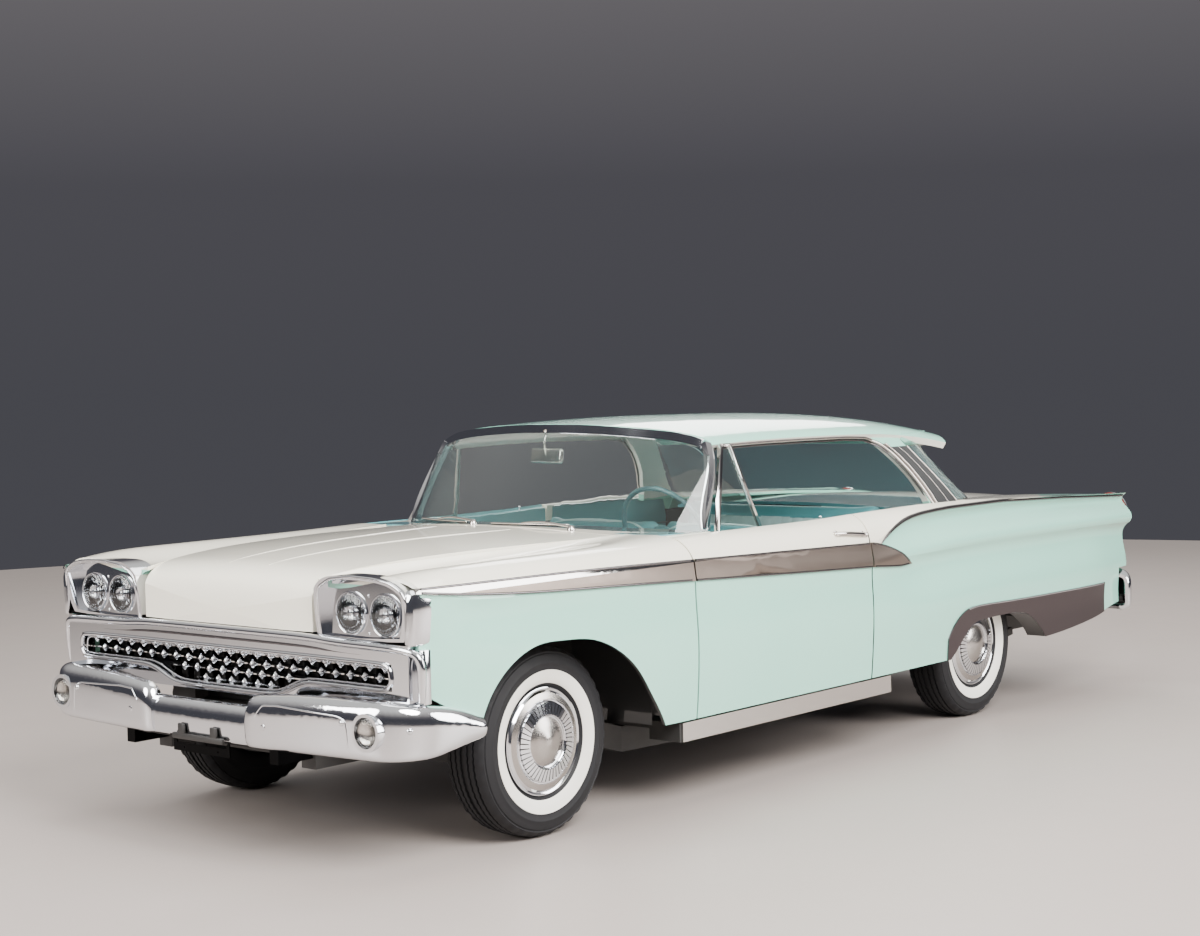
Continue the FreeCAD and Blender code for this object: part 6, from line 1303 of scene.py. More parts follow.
def blown_up(bm, cap):
    """Turns a closed form into a stuffed one: cloth under pressure, no point further than cap away."""
    scene = bpy.context.scene
    mesh = bpy.data.meshes.new("pad")
    bm.to_mesh(mesh)
    bm.free()
    holder = bpy.data.objects.new("pad", mesh)
    scene.collection.objects.link(holder)
    remesh = holder.modifiers.new("remesh", "REMESH")
    remesh.mode = "VOXEL"
    remesh.voxel_size = pad_voxel
    graph = bpy.context.evaluated_depsgraph_get()
    form = bpy.data.meshes.new_from_object(holder.evaluated_get(graph))
    holder.modifiers.clear()
    holder.data = form
    rest = [v.co.copy() for v in form.vertices]
    places = rest
    cloth = holder.modifiers.new("cloth", "CLOTH")
    cloth.settings.use_pressure = True
    cloth.settings.uniform_pressure_force = 4.0
    cloth.settings.effector_weights.gravity = 0.0
    for frame_number in range(1, pad_steps + 1):
        scene.frame_set(frame_number)
    graph = bpy.context.evaluated_depsgraph_get()
    swollen = bpy.data.meshes.new_from_object(holder.evaluated_get(graph))
    places = [v.co.copy() for v in swollen.vertices]
    bpy.data.meshes.remove(swollen)
    scene.frame_set(1)
    stuffed = bmesh.new()
    stuffed.from_mesh(form)
    stuffed.verts.ensure_lookup_table()
    for vert, start, end in zip(stuffed.verts, rest, places):
        move = end - start
        vert.co = start + move * min(1.0, cap / max(move.length, 1e-6))
    bpy.data.objects.remove(holder)
    bpy.data.meshes.remove(form)
    bpy.data.meshes.remove(mesh)
    bmesh.ops.smooth_vert(stuffed, verts=stuffed.verts, factor=0.5,
                          use_axis_x=True, use_axis_y=True, use_axis_z=True)
    bmesh.ops.subdivide_edges(stuffed, edges=stuffed.edges, cuts=1, use_grid_fill=True, smooth=1.0)
    return stuffed


def sew_channels(bm, face_axis, low, high):
    """Sinks sewn channels and a seam into the padded side that faces along face_axis.

    The insert between low and high is a rectangle in Y and in the pad's rise, which is Z for a
    back and X for a cushion. It gets the pad's second finish.
    """
    pitch, depth, seam_depth, seam_reach = 0.058, 0.007, 0.005, 0.007
    rise = "z" if face_axis == "x" else "x"
    for vert in bm.verts:
        if getattr(vert.normal, face_axis) < 0.5:
            continue
        y, r = vert.co.y, getattr(vert.co, rise)
        inside = min(y - low[0], high[0] - y, r - low[1], high[1] - r)
        sink = seam_depth * math.exp(-(inside / seam_reach) ** 2)
        if inside > 0:
            sink += depth * (1 - abs(math.sin(math.pi * (y - low[0]) / pitch))) ** 2
        setattr(vert.co, face_axis, getattr(vert.co, face_axis) - sink)
    for face in bm.faces:
        spot = face.calc_center_median()
        r = getattr(spot, rise)
        if getattr(face.normal, face_axis) > 0.4 and low[0] < spot.y < high[0] and low[1] < r < high[1]:
            face.material_index = 1


def pad_block(size, radius, cap, lean, centre, insert, face_axis):
    """A stuffed and sewn pad of a given size, leant back about Y and carried to its centre."""
    bm = bmesh.new()
    half = Vector(size) / 2
    soft_box(bm, -half, half, radius, 4)
    bmesh.ops.triangulate(bm, faces=bm.faces)
    stuffed = blown_up(bm, cap)
    stuffed.normal_update()
    sew_channels(stuffed, face_axis, *insert)
    turn = Matrix.Translation(centre) @ Matrix.Rotation(math.radians(lean), 4, "Y")
    bmesh.ops.transform(stuffed, matrix=turn, verts=stuffed.verts)
    return stuffed


class CAR_OT_seats(bpy.types.Operator):
    """Makes the stuffed front and rear bench seats with sewn channels, piping and a plinth"""

    bl_idname = "hardtop.seats"
    bl_label = "Bench seats"

    def execute(self, context):
        pads = [
            # Name, replaced node, size, corner radius, cap, lean, centre, insert's corners, sewn face.
            ("front_cushion", "front_seat", (0.430, 1.370, 0.100), 0.032, 0.022, -3.0, (0.380, 0.0, 0.528),
             ((-0.600, -0.150), (0.600, 0.165)), "z"),
            *(("front_back_" + word, "front_seat", (0.072, 0.655, 0.402), 0.028, 0.022, front_lean,
               (0.100, front_back_y * side, 0.778), ((-0.265, -0.130), (0.265, 0.120)), "x")
              for side, word in sides),
            ("rear_cushion", "rear_seat", (0.300, 1.090, 0.090), 0.030, 0.020, -4.0, (-0.510, 0.0, 0.535),
             ((-0.480, -0.110), (0.480, 0.120)), "z"),
            ("rear_back", "rear_seat", (0.090, 1.100, 0.410), 0.032, 0.020, -18.0, (-0.797, 0.0, 0.796),
             ((-0.480, -0.120), (0.480, 0.120)), "x"),
        ]
        for name, node, *build in pads:
            bm = pad_block(*build)
            pad = settle(name, bm, "car_body", ["vinyl", "ribbed_vinyl"], [node], crease=70)
        trim = bmesh.new()
        turn = Matrix.Rotation(math.radians(front_lean), 4, "Y")
        for side in (left, right):
            # Piping runs round each backrest's front edge, and a chrome button sits on its side.
            ring = []
            for y, z in ((-0.300, -0.168), (-0.318, 0.0), (-0.300, 0.172), (0.0, 0.190), (0.300, 0.172),
                         (0.318, 0.0), (0.300, -0.168), (0.0, -0.182)):
                ring.append(turn @ Vector((0.052, y, z)) + Vector((0.102, front_back_y * side, 0.770)))
            round_bar(trim, ring, 0.0042, closed=True)
            hinge = Vector((0.150, 0.690 * side, 0.600))
            spin_profile(trim, [(0, 0.010), (0.012, 0.008), (0.018, 0.002), (0.018, -0.012)], 24,
                         turned_to((0, side, 0), hinge), 1)
        soft_box(trim, (0.180, -0.640, 0.300), (0.545, 0.640, 0.470), 0.012, 3, 2)
        settle("front_seat_trim", trim, "car_body", ["pale_vinyl", "chrome", "carpet"], ["front_seat"])
        base = bmesh.new()
        soft_box(base, (-0.650, -0.545, 0.470), (-0.372, 0.545, 0.496), 0.006, 2)
        settle("rear_seat_base", base, "car_body", ["carpet"], ["rear_seat"])
        return {"FINISHED"}


class CAR_OT_steering_wheel(bpy.types.Operator):
    """Makes the steering wheel with its gripped rim, spokes, horn ring and boss"""

    bl_idname = "hardtop.steering_wheel"
    bl_label = "Steering wheel"

    def execute(self, context):
        grip = context.scene.car_sizes.rim_grip
        low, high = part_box("steering_wheel")
        centre = (low + high) / 2
        axis = Vector(turning_axis["steering_wheel"]).normalized()
        if axis.x > 0:
            axis = -axis
        place = turned_to(axis, centre)
        reach = (high.y - low.y) / 2 - grip
        bm = bmesh.new()
        rim = [(math.cos(a) * reach, math.sin(a) * reach, 0.0)
               for a in (math.tau * k / 48 for k in range(48))]
        line = curve_line(rim, closed=True)
        line.bevel_depth = grip
        line.bevel_resolution = 4
        take_curve(bm, line)
        # Finger grips are pressed into the rim's underside.
        for vert in bm.verts:
            if vert.co.z < -0.002:
                turn = math.atan2(vert.co.y, vert.co.x)
                vert.co.z += 0.0016 * (0.5 + 0.5 * math.cos(turn * 72))
        for angle in (100, 180, 260):
            turn = math.radians(angle)
            ray = Vector((math.cos(turn), math.sin(turn), 0))
            for offset in (-0.012, 0.012):
                across = Vector((-ray.y, ray.x, 0)) * offset
                points = [ray * share + across * bend + Vector((0, 0, drop)) for share, bend, drop in (
                    (0.030, 1.4, -0.020), (0.075, 1.2, -0.024), (0.130, 1.0, -0.016),
                    (reach - 0.004, 0.7, -0.001))]
                round_bar(bm, points, 0.0058, 0, taper=[1.5, 1.2, 1.0, 0.9])
        ring = [Vector((math.cos(a) * 0.105, math.sin(a) * 0.118, -0.006)) for a in
                (math.radians(80 + 200 * k / 24) for k in range(25))]
        round_bar(bm, ring, 0.0036, 1)
        for end in (ring[0], ring[-1], ring[12]):
            round_bar(bm, [Vector((0, 0, -0.012)), end * 0.5 + Vector((0, 0, -0.008)), end], 0.0034, 1)
        boss = [(0, 0.012), (0.016, 0.0115), (0.027, 0.0085), (0.034, 0.001), (0.036, -0.008)]
        spin_profile(bm, boss, 48, Matrix.Identity(4), 1)
        hubcap = [(0.040, -0.006), (0.043, -0.012), (0.044, -0.030), (0.038, -0.046), (0.034, -0.050)]
        spin_profile(bm, hubcap, 48, Matrix.Identity(4), 0)
        bmesh.ops.transform(bm, matrix=place, verts=bm.verts)
        settle("steering_wheel_rim", bm, "steering_wheel", ["wheel_rim", "chrome"], ["steering_wheel"])
        return {"FINISHED"}


def dial(bm, centre, radius, ticks, reading):
    """A gauge that faces rearward: plated ring, pale face, ticks and a needle."""
    place = facing((-1, 0, 0), (0, 0, 1), centre) @ Matrix.Rotation(math.radians(90), 4, "Y")
    spin_profile(bm, [(radius + 0.004, -0.002), (radius + 0.005, 0.005), (radius + 0.001, 0.008),
                      (radius - 0.002, 0.004), (radius - 0.002, 0.0005)], 48, place, 0)
    spin_profile(bm, [(radius - 0.002, 0.0008), (radius * 0.5, 0.0004), (0, 0.0004)], 48, place, 1)
    for k in range(ticks):
        turn = math.radians(-60 + 300 * k / (ticks - 1))
        ray = Vector((0, math.cos(turn), math.sin(turn)))
        start = Vector(centre) + Vector((-0.0016, 0, 0)) + ray * radius * 0.80
        end = Vector(centre) + Vector((-0.0016, 0, 0)) + ray * radius * (0.92 if k % 2 else 0.95)
        round_bar(bm, [start, (start + end) / 2, end], 0.0006, 2)
    turn = math.radians(reading)
    ray = Vector((0, math.cos(turn), math.sin(turn)))
    hub_spot = Vector(centre) + Vector((-0.003, 0, 0))
    round_bar(bm, [hub_spot - ray * radius * 0.15, hub_spot, hub_spot + ray * radius * 0.75], 0.0009, 3,
              taper=[1.4, 1.2, 0.5])
    spin_profile(bm, [(0, 0.006), (0.003, 0.0055), (0.004, 0.003), (0.004, 0.0)], 16, place, 2)


class CAR_OT_dashboard(bpy.types.Operator):
    """Fits the dashboard with gauges, knobs, speaker grille, glove-box lid and plated strips"""

    bl_idname = "hardtop.dashboard"
    bl_label = "Dashboard fittings"

    def execute(self, context):
        bm = bmesh.new()

        def on_dash(y, z, proud=0.0):
            """The point on the dashboard's face towards the seats."""
            return strike("dashboard", (0.64, y, z), (1, 0, 0), proud)

        for y, radius, ticks, reading in ((0.455, 0.036, 13, 60), (0.290, 0.036, 13, 150),
                                          (0.590, 0.028, 9, 100), (0.000, 0.026, 12, 30)):
            dial(bm, on_dash(y, 0.935), radius, ticks, reading)
        # The speedometer is a long window between the round gauges.
        spot = on_dash(0.372, 0.938)
        soft_box(bm, spot + Vector((-0.007, -0.030, -0.020)), spot + Vector((0.001, 0.030, 0.028)), 0.003,
                 2, 0)
        soft_box(bm, spot + Vector((-0.0085, -0.026, -0.016)), spot + Vector((-0.0060, 0.026, 0.024)),
                 0.001, 2, 1)
        for y, z, radius in ((0.200, 0.905, 0.011), (0.160, 0.905, 0.011), (0.075, 0.880, 0.014),
                             (-0.075, 0.880, 0.014), (-0.160, 0.905, 0.011), (0.650, 0.900, 0.011),
                             (0.520, 0.885, 0.009)):
            place = turned_to((-1, 0, 0), on_dash(y, z))
            spin_profile(bm, [(0, 0.024), (radius * 0.6, 0.024), (radius * 0.92, 0.021), (radius, 0.016),
                              (radius * 0.9, 0.010), (0.004, 0.009), (0.004, -0.002)], 24, place)
        for k in range(9):
            z = 0.868 + 0.004 * k
            round_bar(bm, [on_dash(y, z, 0.002) for y in (-0.048, 0.0, 0.048)], 0.0012)
        for z in (0.862, 0.966):
            round_bar(bm, [on_dash(y, z, 0.0015) for y in between(-0.740, 0.740, 25)], 0.0042)
        lid = [on_dash(y, z, 0.0010) for y, z in (
            (-0.250, 0.880), (-0.250, 0.945), (-0.560, 0.945), (-0.560, 0.880))]
        round_bar(bm, lid, 0.0022, 3, closed=True)
        spin_profile(bm, [(0, 0.014), (0.010, 0.012), (0.013, 0.005), (0.007, -0.002)], 24,
                     turned_to((-1, 0, 0), on_dash(-0.405, 0.925)))
        settle("dashboard_fittings", bm, "car_body", ["chrome", "dial", "black", "red"])
        return {"FINISHED"}


class CAR_OT_mirror(bpy.types.Operator):
    """Hangs the inside mirror from the windscreen's header"""

    bl_idname = "hardtop.mirror"
    bl_label = "Inside mirror"

    def execute(self, context):
        bm = bmesh.new()
        centre = Vector((0.806, 0.0, 1.277))
        place = facing((-1, 0.22, -0.12), (0, 0, 1), centre)
        soft_box(bm, (-0.012, -0.105, -0.031), (0.006, 0.105, 0.031), 0.009, 4, 0, place)
        soft_box(bm, (0.0045, -0.099, -0.025), (0.0075, 0.099, 0.025), 0.001, 2, 1, place)
        round_bar(bm, [(0.812, 0, 1.282), (0.826, 0, 1.316), (0.820, 0, 1.350), (0.806, 0, 1.380)], 0.0052, 0)
        spin_profile(bm, [(0, -0.004), (0.016, -0.003), (0.018, 0.004), (0.018, 0.010)], 24,
                     turned_to((0, 0, 1), Vector((0.806, 0, 1.378))), 0)
        settle("inside_mirror", bm, "car_body", ["stainless", "chrome"])
        return {"FINISHED"}


class CAR_OT_door_furniture(bpy.types.Operator):
    """Fits the doors with armrests, cranks, inner handles, lock knobs and vent latches"""

    bl_idname = "hardtop.door_furniture"
    bl_label = "Door furniture"

    def execute(self, context):
        for side, word in sides:
            bm = bmesh.new()
            panel = "door_" + word

            def on_door(x, z, proud=0.0):
                """The point on the door's inner side."""
                return strike(panel, (x, 0.3 * side, z), (0, side, 0), proud)

            wall = on_door(0.35, 0.70)
            soft_box(bm, (0.130, wall.y, 0.672), (0.520, wall.y - 0.058 * side, 0.716), 0.016, 4, 1)
            pull = [on_door(x, z, p) for x, z, p in (
                (0.20, 0.726, 0.002), (0.22, 0.742, 0.024), (0.33, 0.748, 0.030), (0.43, 0.742, 0.024),
                (0.45, 0.726, 0.002))]
            round_bar(bm, pull, 0.0055, 0)
            for x, z, reach, droop in ((0.700, 0.780, 0.085, -20), (0.560, 0.845, 0.075, 8)):
                pin = on_door(x, z)
                spin_profile(bm, [(0, 0.022), (0.010, 0.021), (0.014, 0.014), (0.020, 0.006),
                                  (0.022, -0.002)], 24, turned_to((0, -side, 0), pin), 0)
                turn = math.radians(droop)
                arm = pin - Vector((0, side * 0.018, 0))
                end = arm + Vector((-math.cos(turn) * reach, -side * 0.008, math.sin(turn) * reach))
                round_bar(bm, [arm, (arm + end) / 2 - Vector((0, side * 0.003, 0)), end], 0.0050, 0,
                          taper=[1.3, 1.0, 0.9])
                spin_profile(bm, [(0, 0.018), (0.008, 0.016), (0.010, 0.008), (0.006, -0.002)], 20,
                             turned_to((0, -side, 0), end), 0)
            for z in (0.600, 0.866):
                line = [on_door(x, z, 0.001) for x in between(-0.060, 0.980, 18)]
                round_bar(bm, line, 0.0035, 0)
            knob = on_top(panel, 0.077, 0.835 * side)
            spin_profile(bm, [(0, 0.022), (0.005, 0.021), (0.0065, 0.017), (0.005, 0.010), (0.0035, 0.004),
                              (0.0035, -0.004)], 20, turned_to((0, 0, 1), knob), 0)
            settle("door_furniture_" + word, bm, panel, ["chrome", "pale_vinyl"])
        return {"FINISHED"}


class CAR_OT_side_panels(bpy.types.Operator):
    """Lines the quarters beside the rear seat with vinyl panels, mouldings and armrests"""

    bl_idname = "hardtop.side_panels"
    bl_label = "Rear side panels"

    def execute(self, context):
        for side, word in sides:
            bm = bmesh.new()
            inner = skin_of("quarter_" + word)
            rows = []
            for z in between(0.520, 0.995, 12):
                row = []
                for x in between(-0.150, -1.000, 16):
                    spot = inner.ray_cast(Vector((x, 0.2 * side, z)), Vector((0, side, 0)))[0]
                    reach = abs(spot.y) if spot is not None else 0.90
                    row.append(Vector((x, side * min(reach - 0.006, 0.900), z)))
                rows.append(row)
            lofted(bm, rows, ring=False, caps=False)
            bmesh.ops.solidify(bm, geom=bm.faces[:], thickness=0.003)
            for level, finish in ((0.9935, 1), (0.870, 1), (0.600, 1)):
                row = min(rows, key=lambda r: abs(r[0].z - level))
                round_bar(bm, [p - Vector((0, side * 0.004, 0)) for p in row], 0.0040, finish)
            # The armrest reaches from the panel to the seat's side.
            wall = abs(rows[3][8].y)
            soft_box(bm, (-0.720, side * 0.600, 0.600), (-0.360, side * wall, 0.660), 0.018, 4, 2)
            settle("rear_side_panel_" + word, bm, "car_body", ["vinyl", "chrome", "pale_vinyl"])
        return {"FINISHED"}


class CAR_OT_carpet(bpy.types.Operator):
    """Lays looped carpet over the cabin's floor and its tunnel"""

    bl_idname = "hardtop.carpet"
    bl_label = "Cabin carpet"

    def execute(self, context):
        bm = bmesh.new()
        rows = []
        # The points keep off the tunnel's own edges, where a ray can slip between two faces.
        for x in between(-0.5013, 1.0023, 26):
            rows.append([on_top("floor_pan", x, y, 0.004) for y in between(-0.7311, 0.7293, 74)])
        lofted(bm, rows, ring=False, caps=False)
        bmesh.ops.solidify(bm, geom=bm.faces[:], thickness=0.003)
        settle("cabin_carpet", bm, "car_body", ["carpet"], crease=60)
        return {"FINISHED"}


class CAR_OT_engine_bay(bpy.types.Operator):
    """Dresses the engine with its valve covers, air cleaner, radiator, fan and battery"""

    bl_idname = "hardtop.engine_bay"
    bl_label = "Engine bay"

    def execute(self, context):
        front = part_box("engine_block")[1].x
        top = on_top("engine_block", 1.500, 0.0).z
        bm = bmesh.new()
        for side in (left, right):
            tilt = Matrix.Translation((1.480, 0.205 * side, top - 0.045))
            tilt = tilt @ Matrix.Rotation(math.radians(-22 * side), 4, "X")
            soft_box(bm, (-0.300, -0.062, 0.0), (0.300, 0.062, 0.058), 0.018, 4, 0, tilt)
            for k in range(4):
                spin_profile(bm, [(0, 0.066), (0.006, 0.065), (0.009, 0.060), (0.009, 0.056)], 16,
                             tilt @ Matrix.Translation((-0.24 + 0.16 * k, 0, 0)), 2)
            pipe = [Vector((1.70 - 0.13 * k, 0.262 * side,
                            top - 0.13 + 0.012 * math.sin(k * 3.0))) for k in range(5)]
            round_bar(bm, pipe, 0.017, 1)
        cleaner = Matrix.Translation((1.430, 0.0, top))
        spin_profile(bm, [(0.045, -0.004), (0.045, 0.012), (0.120, 0.016), (0.150, 0.020), (0.152, 0.024),
                          (0.146, 0.030), (0.146, 0.062), (0.152, 0.068), (0.150, 0.073), (0.090, 0.083),
                          (0.020, 0.086), (0.012, 0.090), (0, 0.090)], 56, cleaner, 2)
        fan_place = turned_to((1, 0, 0), Vector((front + 0.010, 0.0, 0.600)))
        spin_profile(bm, [(0, 0.040), (0.020, 0.038), (0.024, 0.030), (0.060, 0.028), (0.062, 0.006),
                          (0.050, 0.004), (0.050, -0.030)], 40, fan_place, 1)
        for k in range(4):
            turn = math.tau * k / 4
            blade = fan_place @ Matrix.Rotation(turn, 4, "Z") @ Matrix.Translation((0.115, 0, 0.020))
            blade = blade @ Matrix.Rotation(math.radians(24), 4, "X")
            soft_box(bm, (-0.070, -0.034, -0.0015), (0.070, 0.034, 0.0015), 0.0012, 1, 2, blade)
        settle("engine_dress", bm, "car_body", ["dash", "cast", "black"])
        cooler = bmesh.new()
        soft_box(cooler, (2.290, -0.300, 0.470), (2.345, 0.300, 0.765), 0.010, 3, 0)
        for foot, crown in ((0.765, 0.806), (0.432, 0.470)):
            soft_box(cooler, (2.282, -0.320, foot), (2.353, 0.320, crown), 0.014, 4, 1)
        spin_profile(cooler, [(0, 0.024), (0.020, 0.023), (0.026, 0.014), (0.020, 0.010), (0.020, -0.004)],
                     32, Matrix.Translation((2.318, 0.080, 0.806)), 2)
        round_bar(cooler, [(2.290, 0.120, 0.786), (2.200, 0.120, 0.792), (2.060, 0.060, 0.770),
                           (1.960, 0.030, 0.740)], 0.021, 3)
        soft_box(cooler, (2.080, 0.250, 0.620), (2.250, 0.405, 0.790), 0.008, 3, 3)
        for y in (0.285, 0.370):
            spin_profile(cooler, [(0, 0.016), (0.009, 0.015), (0.010, 0.0), (0.010, -0.004)], 20,
                         Matrix.Translation((2.165, y, 0.790)), 2)
        settle("radiator_and_battery", cooler, "car_body",
               ["radiator", "black", "bare_steel", "black_rubber"])
        return {"FINISHED"}


class CAR_OT_tail_lamps(bpy.types.Operator):
    """Rings the round tail lamps with plated bezels and sets a reverse lamp in each middle"""

    bl_idname = "hardtop.tail_lamps"
    bl_label = "Tail lamps"

    def execute(self, context):
        low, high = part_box("tail_lamps")
        radius = (high.z - low.z) / 2
        bm = bmesh.new()
        for side in (left, right):
            centre = Vector((low.x, side * (high.y - radius), (low.z + high.z) / 2))
            place = turned_to((-1, 0, 0), centre + Vector((0.030, 0, 0)))
            ring = [(radius + 0.001, -0.004), (radius + 0.003, 0.004), (radius + 0.001, 0.010),
                    (radius - 0.004, 0.013), (radius - 0.009, 0.010), (radius - 0.010, 0.002)]
            spin_profile(bm, ring, 64, place)
            middle = turned_to((-1, 0, 0), centre + Vector((0.006, 0, 0)))
            spin_profile(bm, [(0.030, -0.006), (0.0305, 0.001), (0.0285, 0.0035), (0.0255, 0.001),
                              (0.0240, -0.003)], 48, middle)
            spin_profile(bm, [(0.0250, -0.003), (0.018, 0.001), (0.009, 0.0025), (0, 0.003)], 48, middle, 1)
        settle("tail_lamp_rings", bm, "car_body", ["chrome", "parking_glass"])
        return {"FINISHED"}


class CAR_OT_boot_fittings(bpy.types.Operator):
    """Fits the boot lid with its handle and beads, and the valance with the plate and its lamps"""

    bl_idname = "hardtop.boot_fittings"
    bl_label = "Boot fittings"

    def execute(self, context):
        lid = bmesh.new()
        for z in (0.700, 0.930):
            line = traced("boot_lid", [(y, z) for y in between(-0.560, 0.560, 25)], -1, 0.001)
            round_bar(lid, line, 0.0060)
        lock = on_tail("boot_lid", 0.0, 0.860)
        spin_profile(lid, [(0, 0.009), (0.010, 0.0085), (0.016, 0.006), (0.020, 0.001), (0.020, -0.004)], 32,
                     turned_to((-1, 0, 0), lock))
        wings = [on_tail("boot_lid", y, 0.860, 0.002) for y in (-0.110, -0.050, 0.0, 0.050, 0.110)]
        round_bar(lid, wings, 0.0055, taper=[0.4, 0.9, 1.0, 0.9, 0.4])
        settle("boot_lid_fittings", lid, "boot_lid", ["chrome"])
        bm = bmesh.new()
        wall = on_tail("rear_valance", 0.0, 0.520).x
        frame_line = [Vector((wall - 0.001, y, z)) for y, z in (
            (-0.170, 0.452), (-0.176, 0.530), (-0.170, 0.606), (0.0, 0.610), (0.170, 0.606), (0.176, 0.530),
            (0.170, 0.452), (0.0, 0.448))]
        round_bar(bm, frame_line, 0.0045, closed=True)
        soft_box(bm, (wall - 0.0035, -0.155, 0.462), (wall - 0.0010, 0.155, 0.596), 0.001, 1, 1)
        for y in (-0.230, 0.230):
            place = turned_to((-1, 0, 0), Vector((wall, y, 0.590)))
            spin_profile(bm, [(0, 0.014), (0.008, 0.013), (0.014, 0.008), (0.016, -0.002)], 24, place, 0)
        for side in (left, right):
            # A painted plate closes the tail between the boot lid and the lamp.
            soft_box(bm, (-2.550, side * 0.652, 0.600), (-2.541, side * 0.800, 0.905), 0.003, 2, 2)
        settle("rear_plate_frame", bm, "car_body", ["chrome", "cream", "mint"])
        return {"FINISHED"}


class CAR_OT_rear_bumper(bpy.types.Operator):
    """Adds the rear bumper's bolts and its pressed bead"""

    bl_idname = "hardtop.rear_bumper"
    bl_label = "Rear bumper"

    def execute(self, context):
        bm = bmesh.new()
        for side in (left, right):
            for y in (0.300, 0.640, 0.850):
                spot, normal = skin_of("bumper_rear").ray_cast(
                    Vector((-clear.x, y * side, 0.455)), Vector((1, 0, 0)))[:2]
                place = turned_to(normal, spot - normal * 0.003)
                spin_profile(bm, [(0, 0.0050), (0.006, 0.0046), (0.0095, 0.0030), (0.0110, 0.0),
                                  (0.0110, -0.002)], 24, place)
        for z in (0.385, 0.530):
            bead = traced("bumper_rear", [(y, z) for y in between(-0.860, 0.860, 41)], -1, -0.0014)
            round_bar(bm, bead, 0.0030)
        settle("bumper_rear_details", bm, "car_body", ["chrome"])
        return {"FINISHED"}


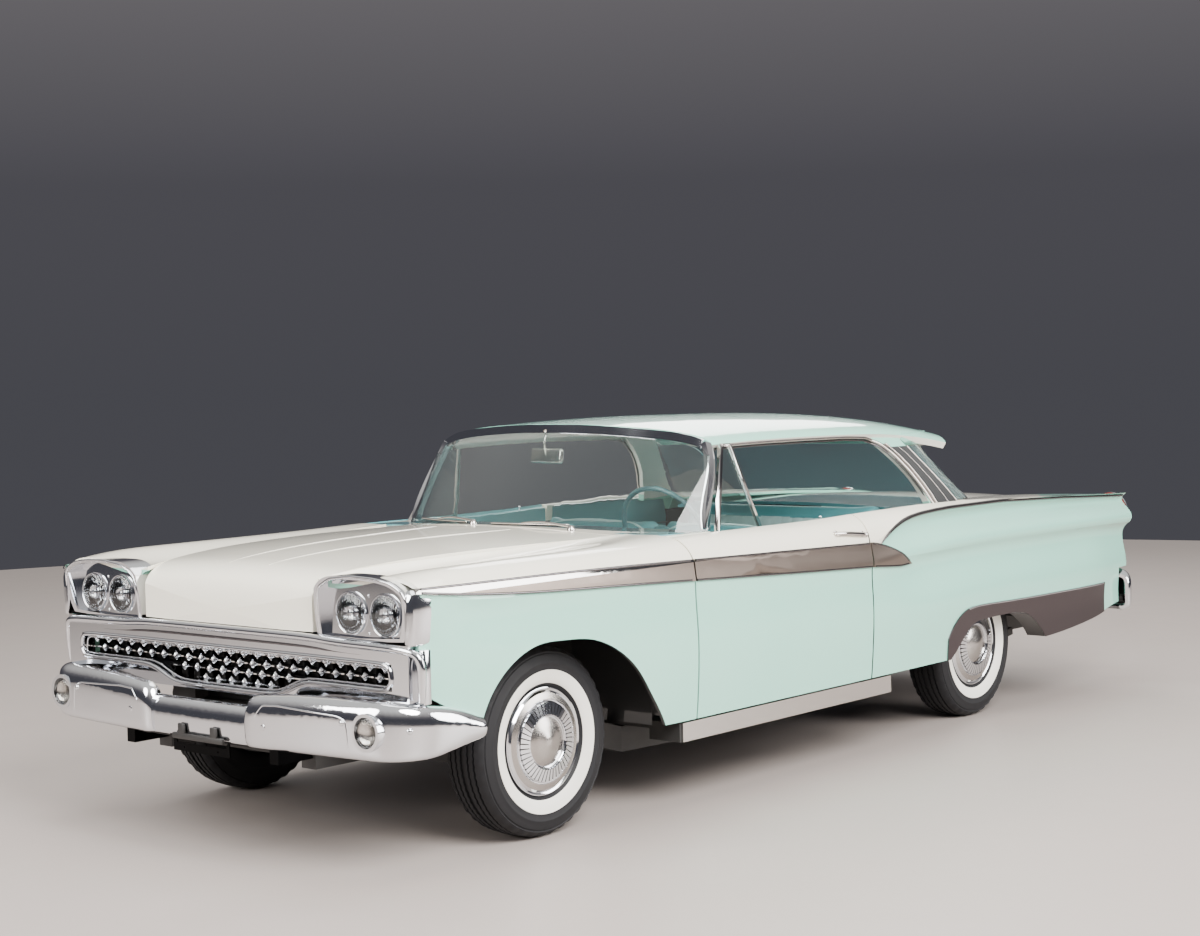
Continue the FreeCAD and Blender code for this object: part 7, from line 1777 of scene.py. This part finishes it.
class CAR_OT_stage(bpy.types.Operator):
    """Sets the pale floor, soft lights and the camera"""

    bl_idname = "hardtop.stage"
    bl_label = "Stage"

    def execute(self, context):
        scene = context.scene
        bm = bmesh.new()
        bmesh.ops.create_circle(bm, cap_ends=True, segments=128, radius=11.0)
        mesh = bpy.data.meshes.new("studio_floor")
        bm.to_mesh(mesh)
        bm.free()
        mesh.materials.append(finish_of("floor"))
        ground = bpy.data.objects.new("studio_floor", mesh)
        scene.collection.objects.link(ground)
        world = bpy.data.worlds.new("studio")
        scene.world = world
        world.use_nodes = True
        tree = world.node_tree
        place = add_node(tree, "ShaderNodeTexCoord").outputs["Generated"]
        rise = add_node(tree, "ShaderNodeSeparateXYZ", inputs={"Vector": place}).outputs["Z"]
        ramp = add_node(tree, "ShaderNodeValToRGB", inputs={"Fac": rise})
        stops = ramp.color_ramp.elements
        stops[0].color = linear("#4A4A50")
        stops[1].color = linear("#F6F5F2")
        for position, colour in ((0.10, "#4E4D53"), (0.22, "#6E6B6E"), (0.42, "#BDB9B6"), (0.65, "#ECEAE6")):
            stops.new(position).color = linear(colour)
        background = tree.nodes["Background"]
        tree.links.new(ramp.outputs["Color"], background.inputs["Color"])
        background.inputs["Strength"].default_value = 1.0
        lights = [
            ("key", (3.2, 6.0, 5.2), (0.8, 0.4, 0.5), 4.5, 1250),
            ("nose", (7.5, -1.5, 3.4), (1.6, 0.0, 0.6), 4.0, 560),
            ("flank", (-3.5, 7.0, 3.0), (-1.2, 0.6, 0.7), 4.5, 560),
            ("back", (-6.0, -4.0, 4.5), (-0.5, 0.0, 0.8), 4.0, 240),
            ("top", (0.0, 0.0, 7.0), (0.0, 0.0, 0.0), 6.0, 330),
        ]
        # Name, place, target, width in metres and power in watts of each lamp.
        for name, place, target, size, power in lights:
            lamp = bpy.data.lights.new("softbox_" + name, "AREA")
            lamp.shape = "DISK"
            lamp.size = size
            lamp.energy = power
            lamp.color = (1.0, 0.985, 0.96)
            holder = bpy.data.objects.new("softbox_" + name, lamp)
            scene.collection.objects.link(holder)
            holder.location = place
            aim = Vector(target) - Vector(place)
            holder.rotation_euler = aim.to_track_quat("-Z", "Y").to_euler()
        # The camera stands where the photograph's did, solved from the car's known sizes.
        focal_pixels, picture_pixels, sensor = 2012.445, 1200, 36.0
        yaw, pitch, roll = (math.radians(a) for a in (220.39506, -2.39867, -1.26735))
        ahead = Vector((math.cos(pitch) * math.cos(yaw), math.cos(pitch) * math.sin(yaw), math.sin(pitch)))
        across = ahead.cross(Vector((0, 0, 1))).normalized()
        upward = across.cross(ahead)
        side = across * math.cos(roll) + upward * math.sin(roll)
        up = upward * math.cos(roll) - across * math.sin(roll)
        lens = bpy.data.cameras.new("camera")
        lens.sensor_fit = "HORIZONTAL"
        lens.sensor_width = sensor
        lens.lens = focal_pixels / picture_pixels * sensor
        lens.clip_end = 200.0
        camera = bpy.data.objects.new("camera", lens)
        scene.collection.objects.link(camera)
        turn = Matrix((side, up, -ahead)).transposed().to_4x4()
        camera.matrix_world = Matrix.Translation((6.92060, 5.48124, 1.56822)) @ turn
        scene.camera = camera
        return {"FINISHED"}


class CAR_PT_dresser(bpy.types.Panel):
    """Lists the car's pieces in the sidebar"""

    bl_label = "Hardtop"
    bl_idname = "CAR_PT_dresser"
    bl_space_type = "VIEW_3D"
    bl_region_type = "UI"
    bl_category = "Hardtop"

    def draw(self, context):
        for group in (context.scene.car_colours, context.scene.car_sizes):
            for name in group.__annotations__:
                self.layout.prop(group, name)
        for operator in makers:
            self.layout.operator(operator.bl_idname)


makers = [
    CAR_OT_paint, CAR_OT_fin_mouldings, CAR_OT_spears, CAR_OT_roof_trim, CAR_OT_pillar_glass,
    CAR_OT_roof_brow, CAR_OT_door_trim, CAR_OT_hood_creases, CAR_OT_wipers, CAR_OT_tyres, CAR_OT_wheels,
    CAR_OT_headlamps, CAR_OT_grille_rim, CAR_OT_front_bumper, CAR_OT_nose_trim, CAR_OT_grille_stars,
    CAR_OT_seats, CAR_OT_steering_wheel, CAR_OT_dashboard, CAR_OT_mirror, CAR_OT_door_furniture,
    CAR_OT_side_panels, CAR_OT_carpet, CAR_OT_engine_bay, CAR_OT_tail_lamps, CAR_OT_boot_fittings,
    CAR_OT_rear_bumper, CAR_OT_stage,
]
classes = [CarColours, CarSizes, *makers, CAR_PT_dresser]


def register():
    for item in classes:
        bpy.utils.register_class(item)
    bpy.types.Scene.car_colours = PointerProperty(type=CarColours)
    bpy.types.Scene.car_sizes = PointerProperty(type=CarSizes)


def unregister():
    del bpy.types.Scene.car_sizes
    del bpy.types.Scene.car_colours
    for item in reversed(classes):
        bpy.utils.unregister_class(item)


def main():
    register()
    for operator in makers:
        family, name = operator.bl_idname.split(".")
        getattr(getattr(bpy.ops, family), name)()


if __name__ == "__main__":
    main()
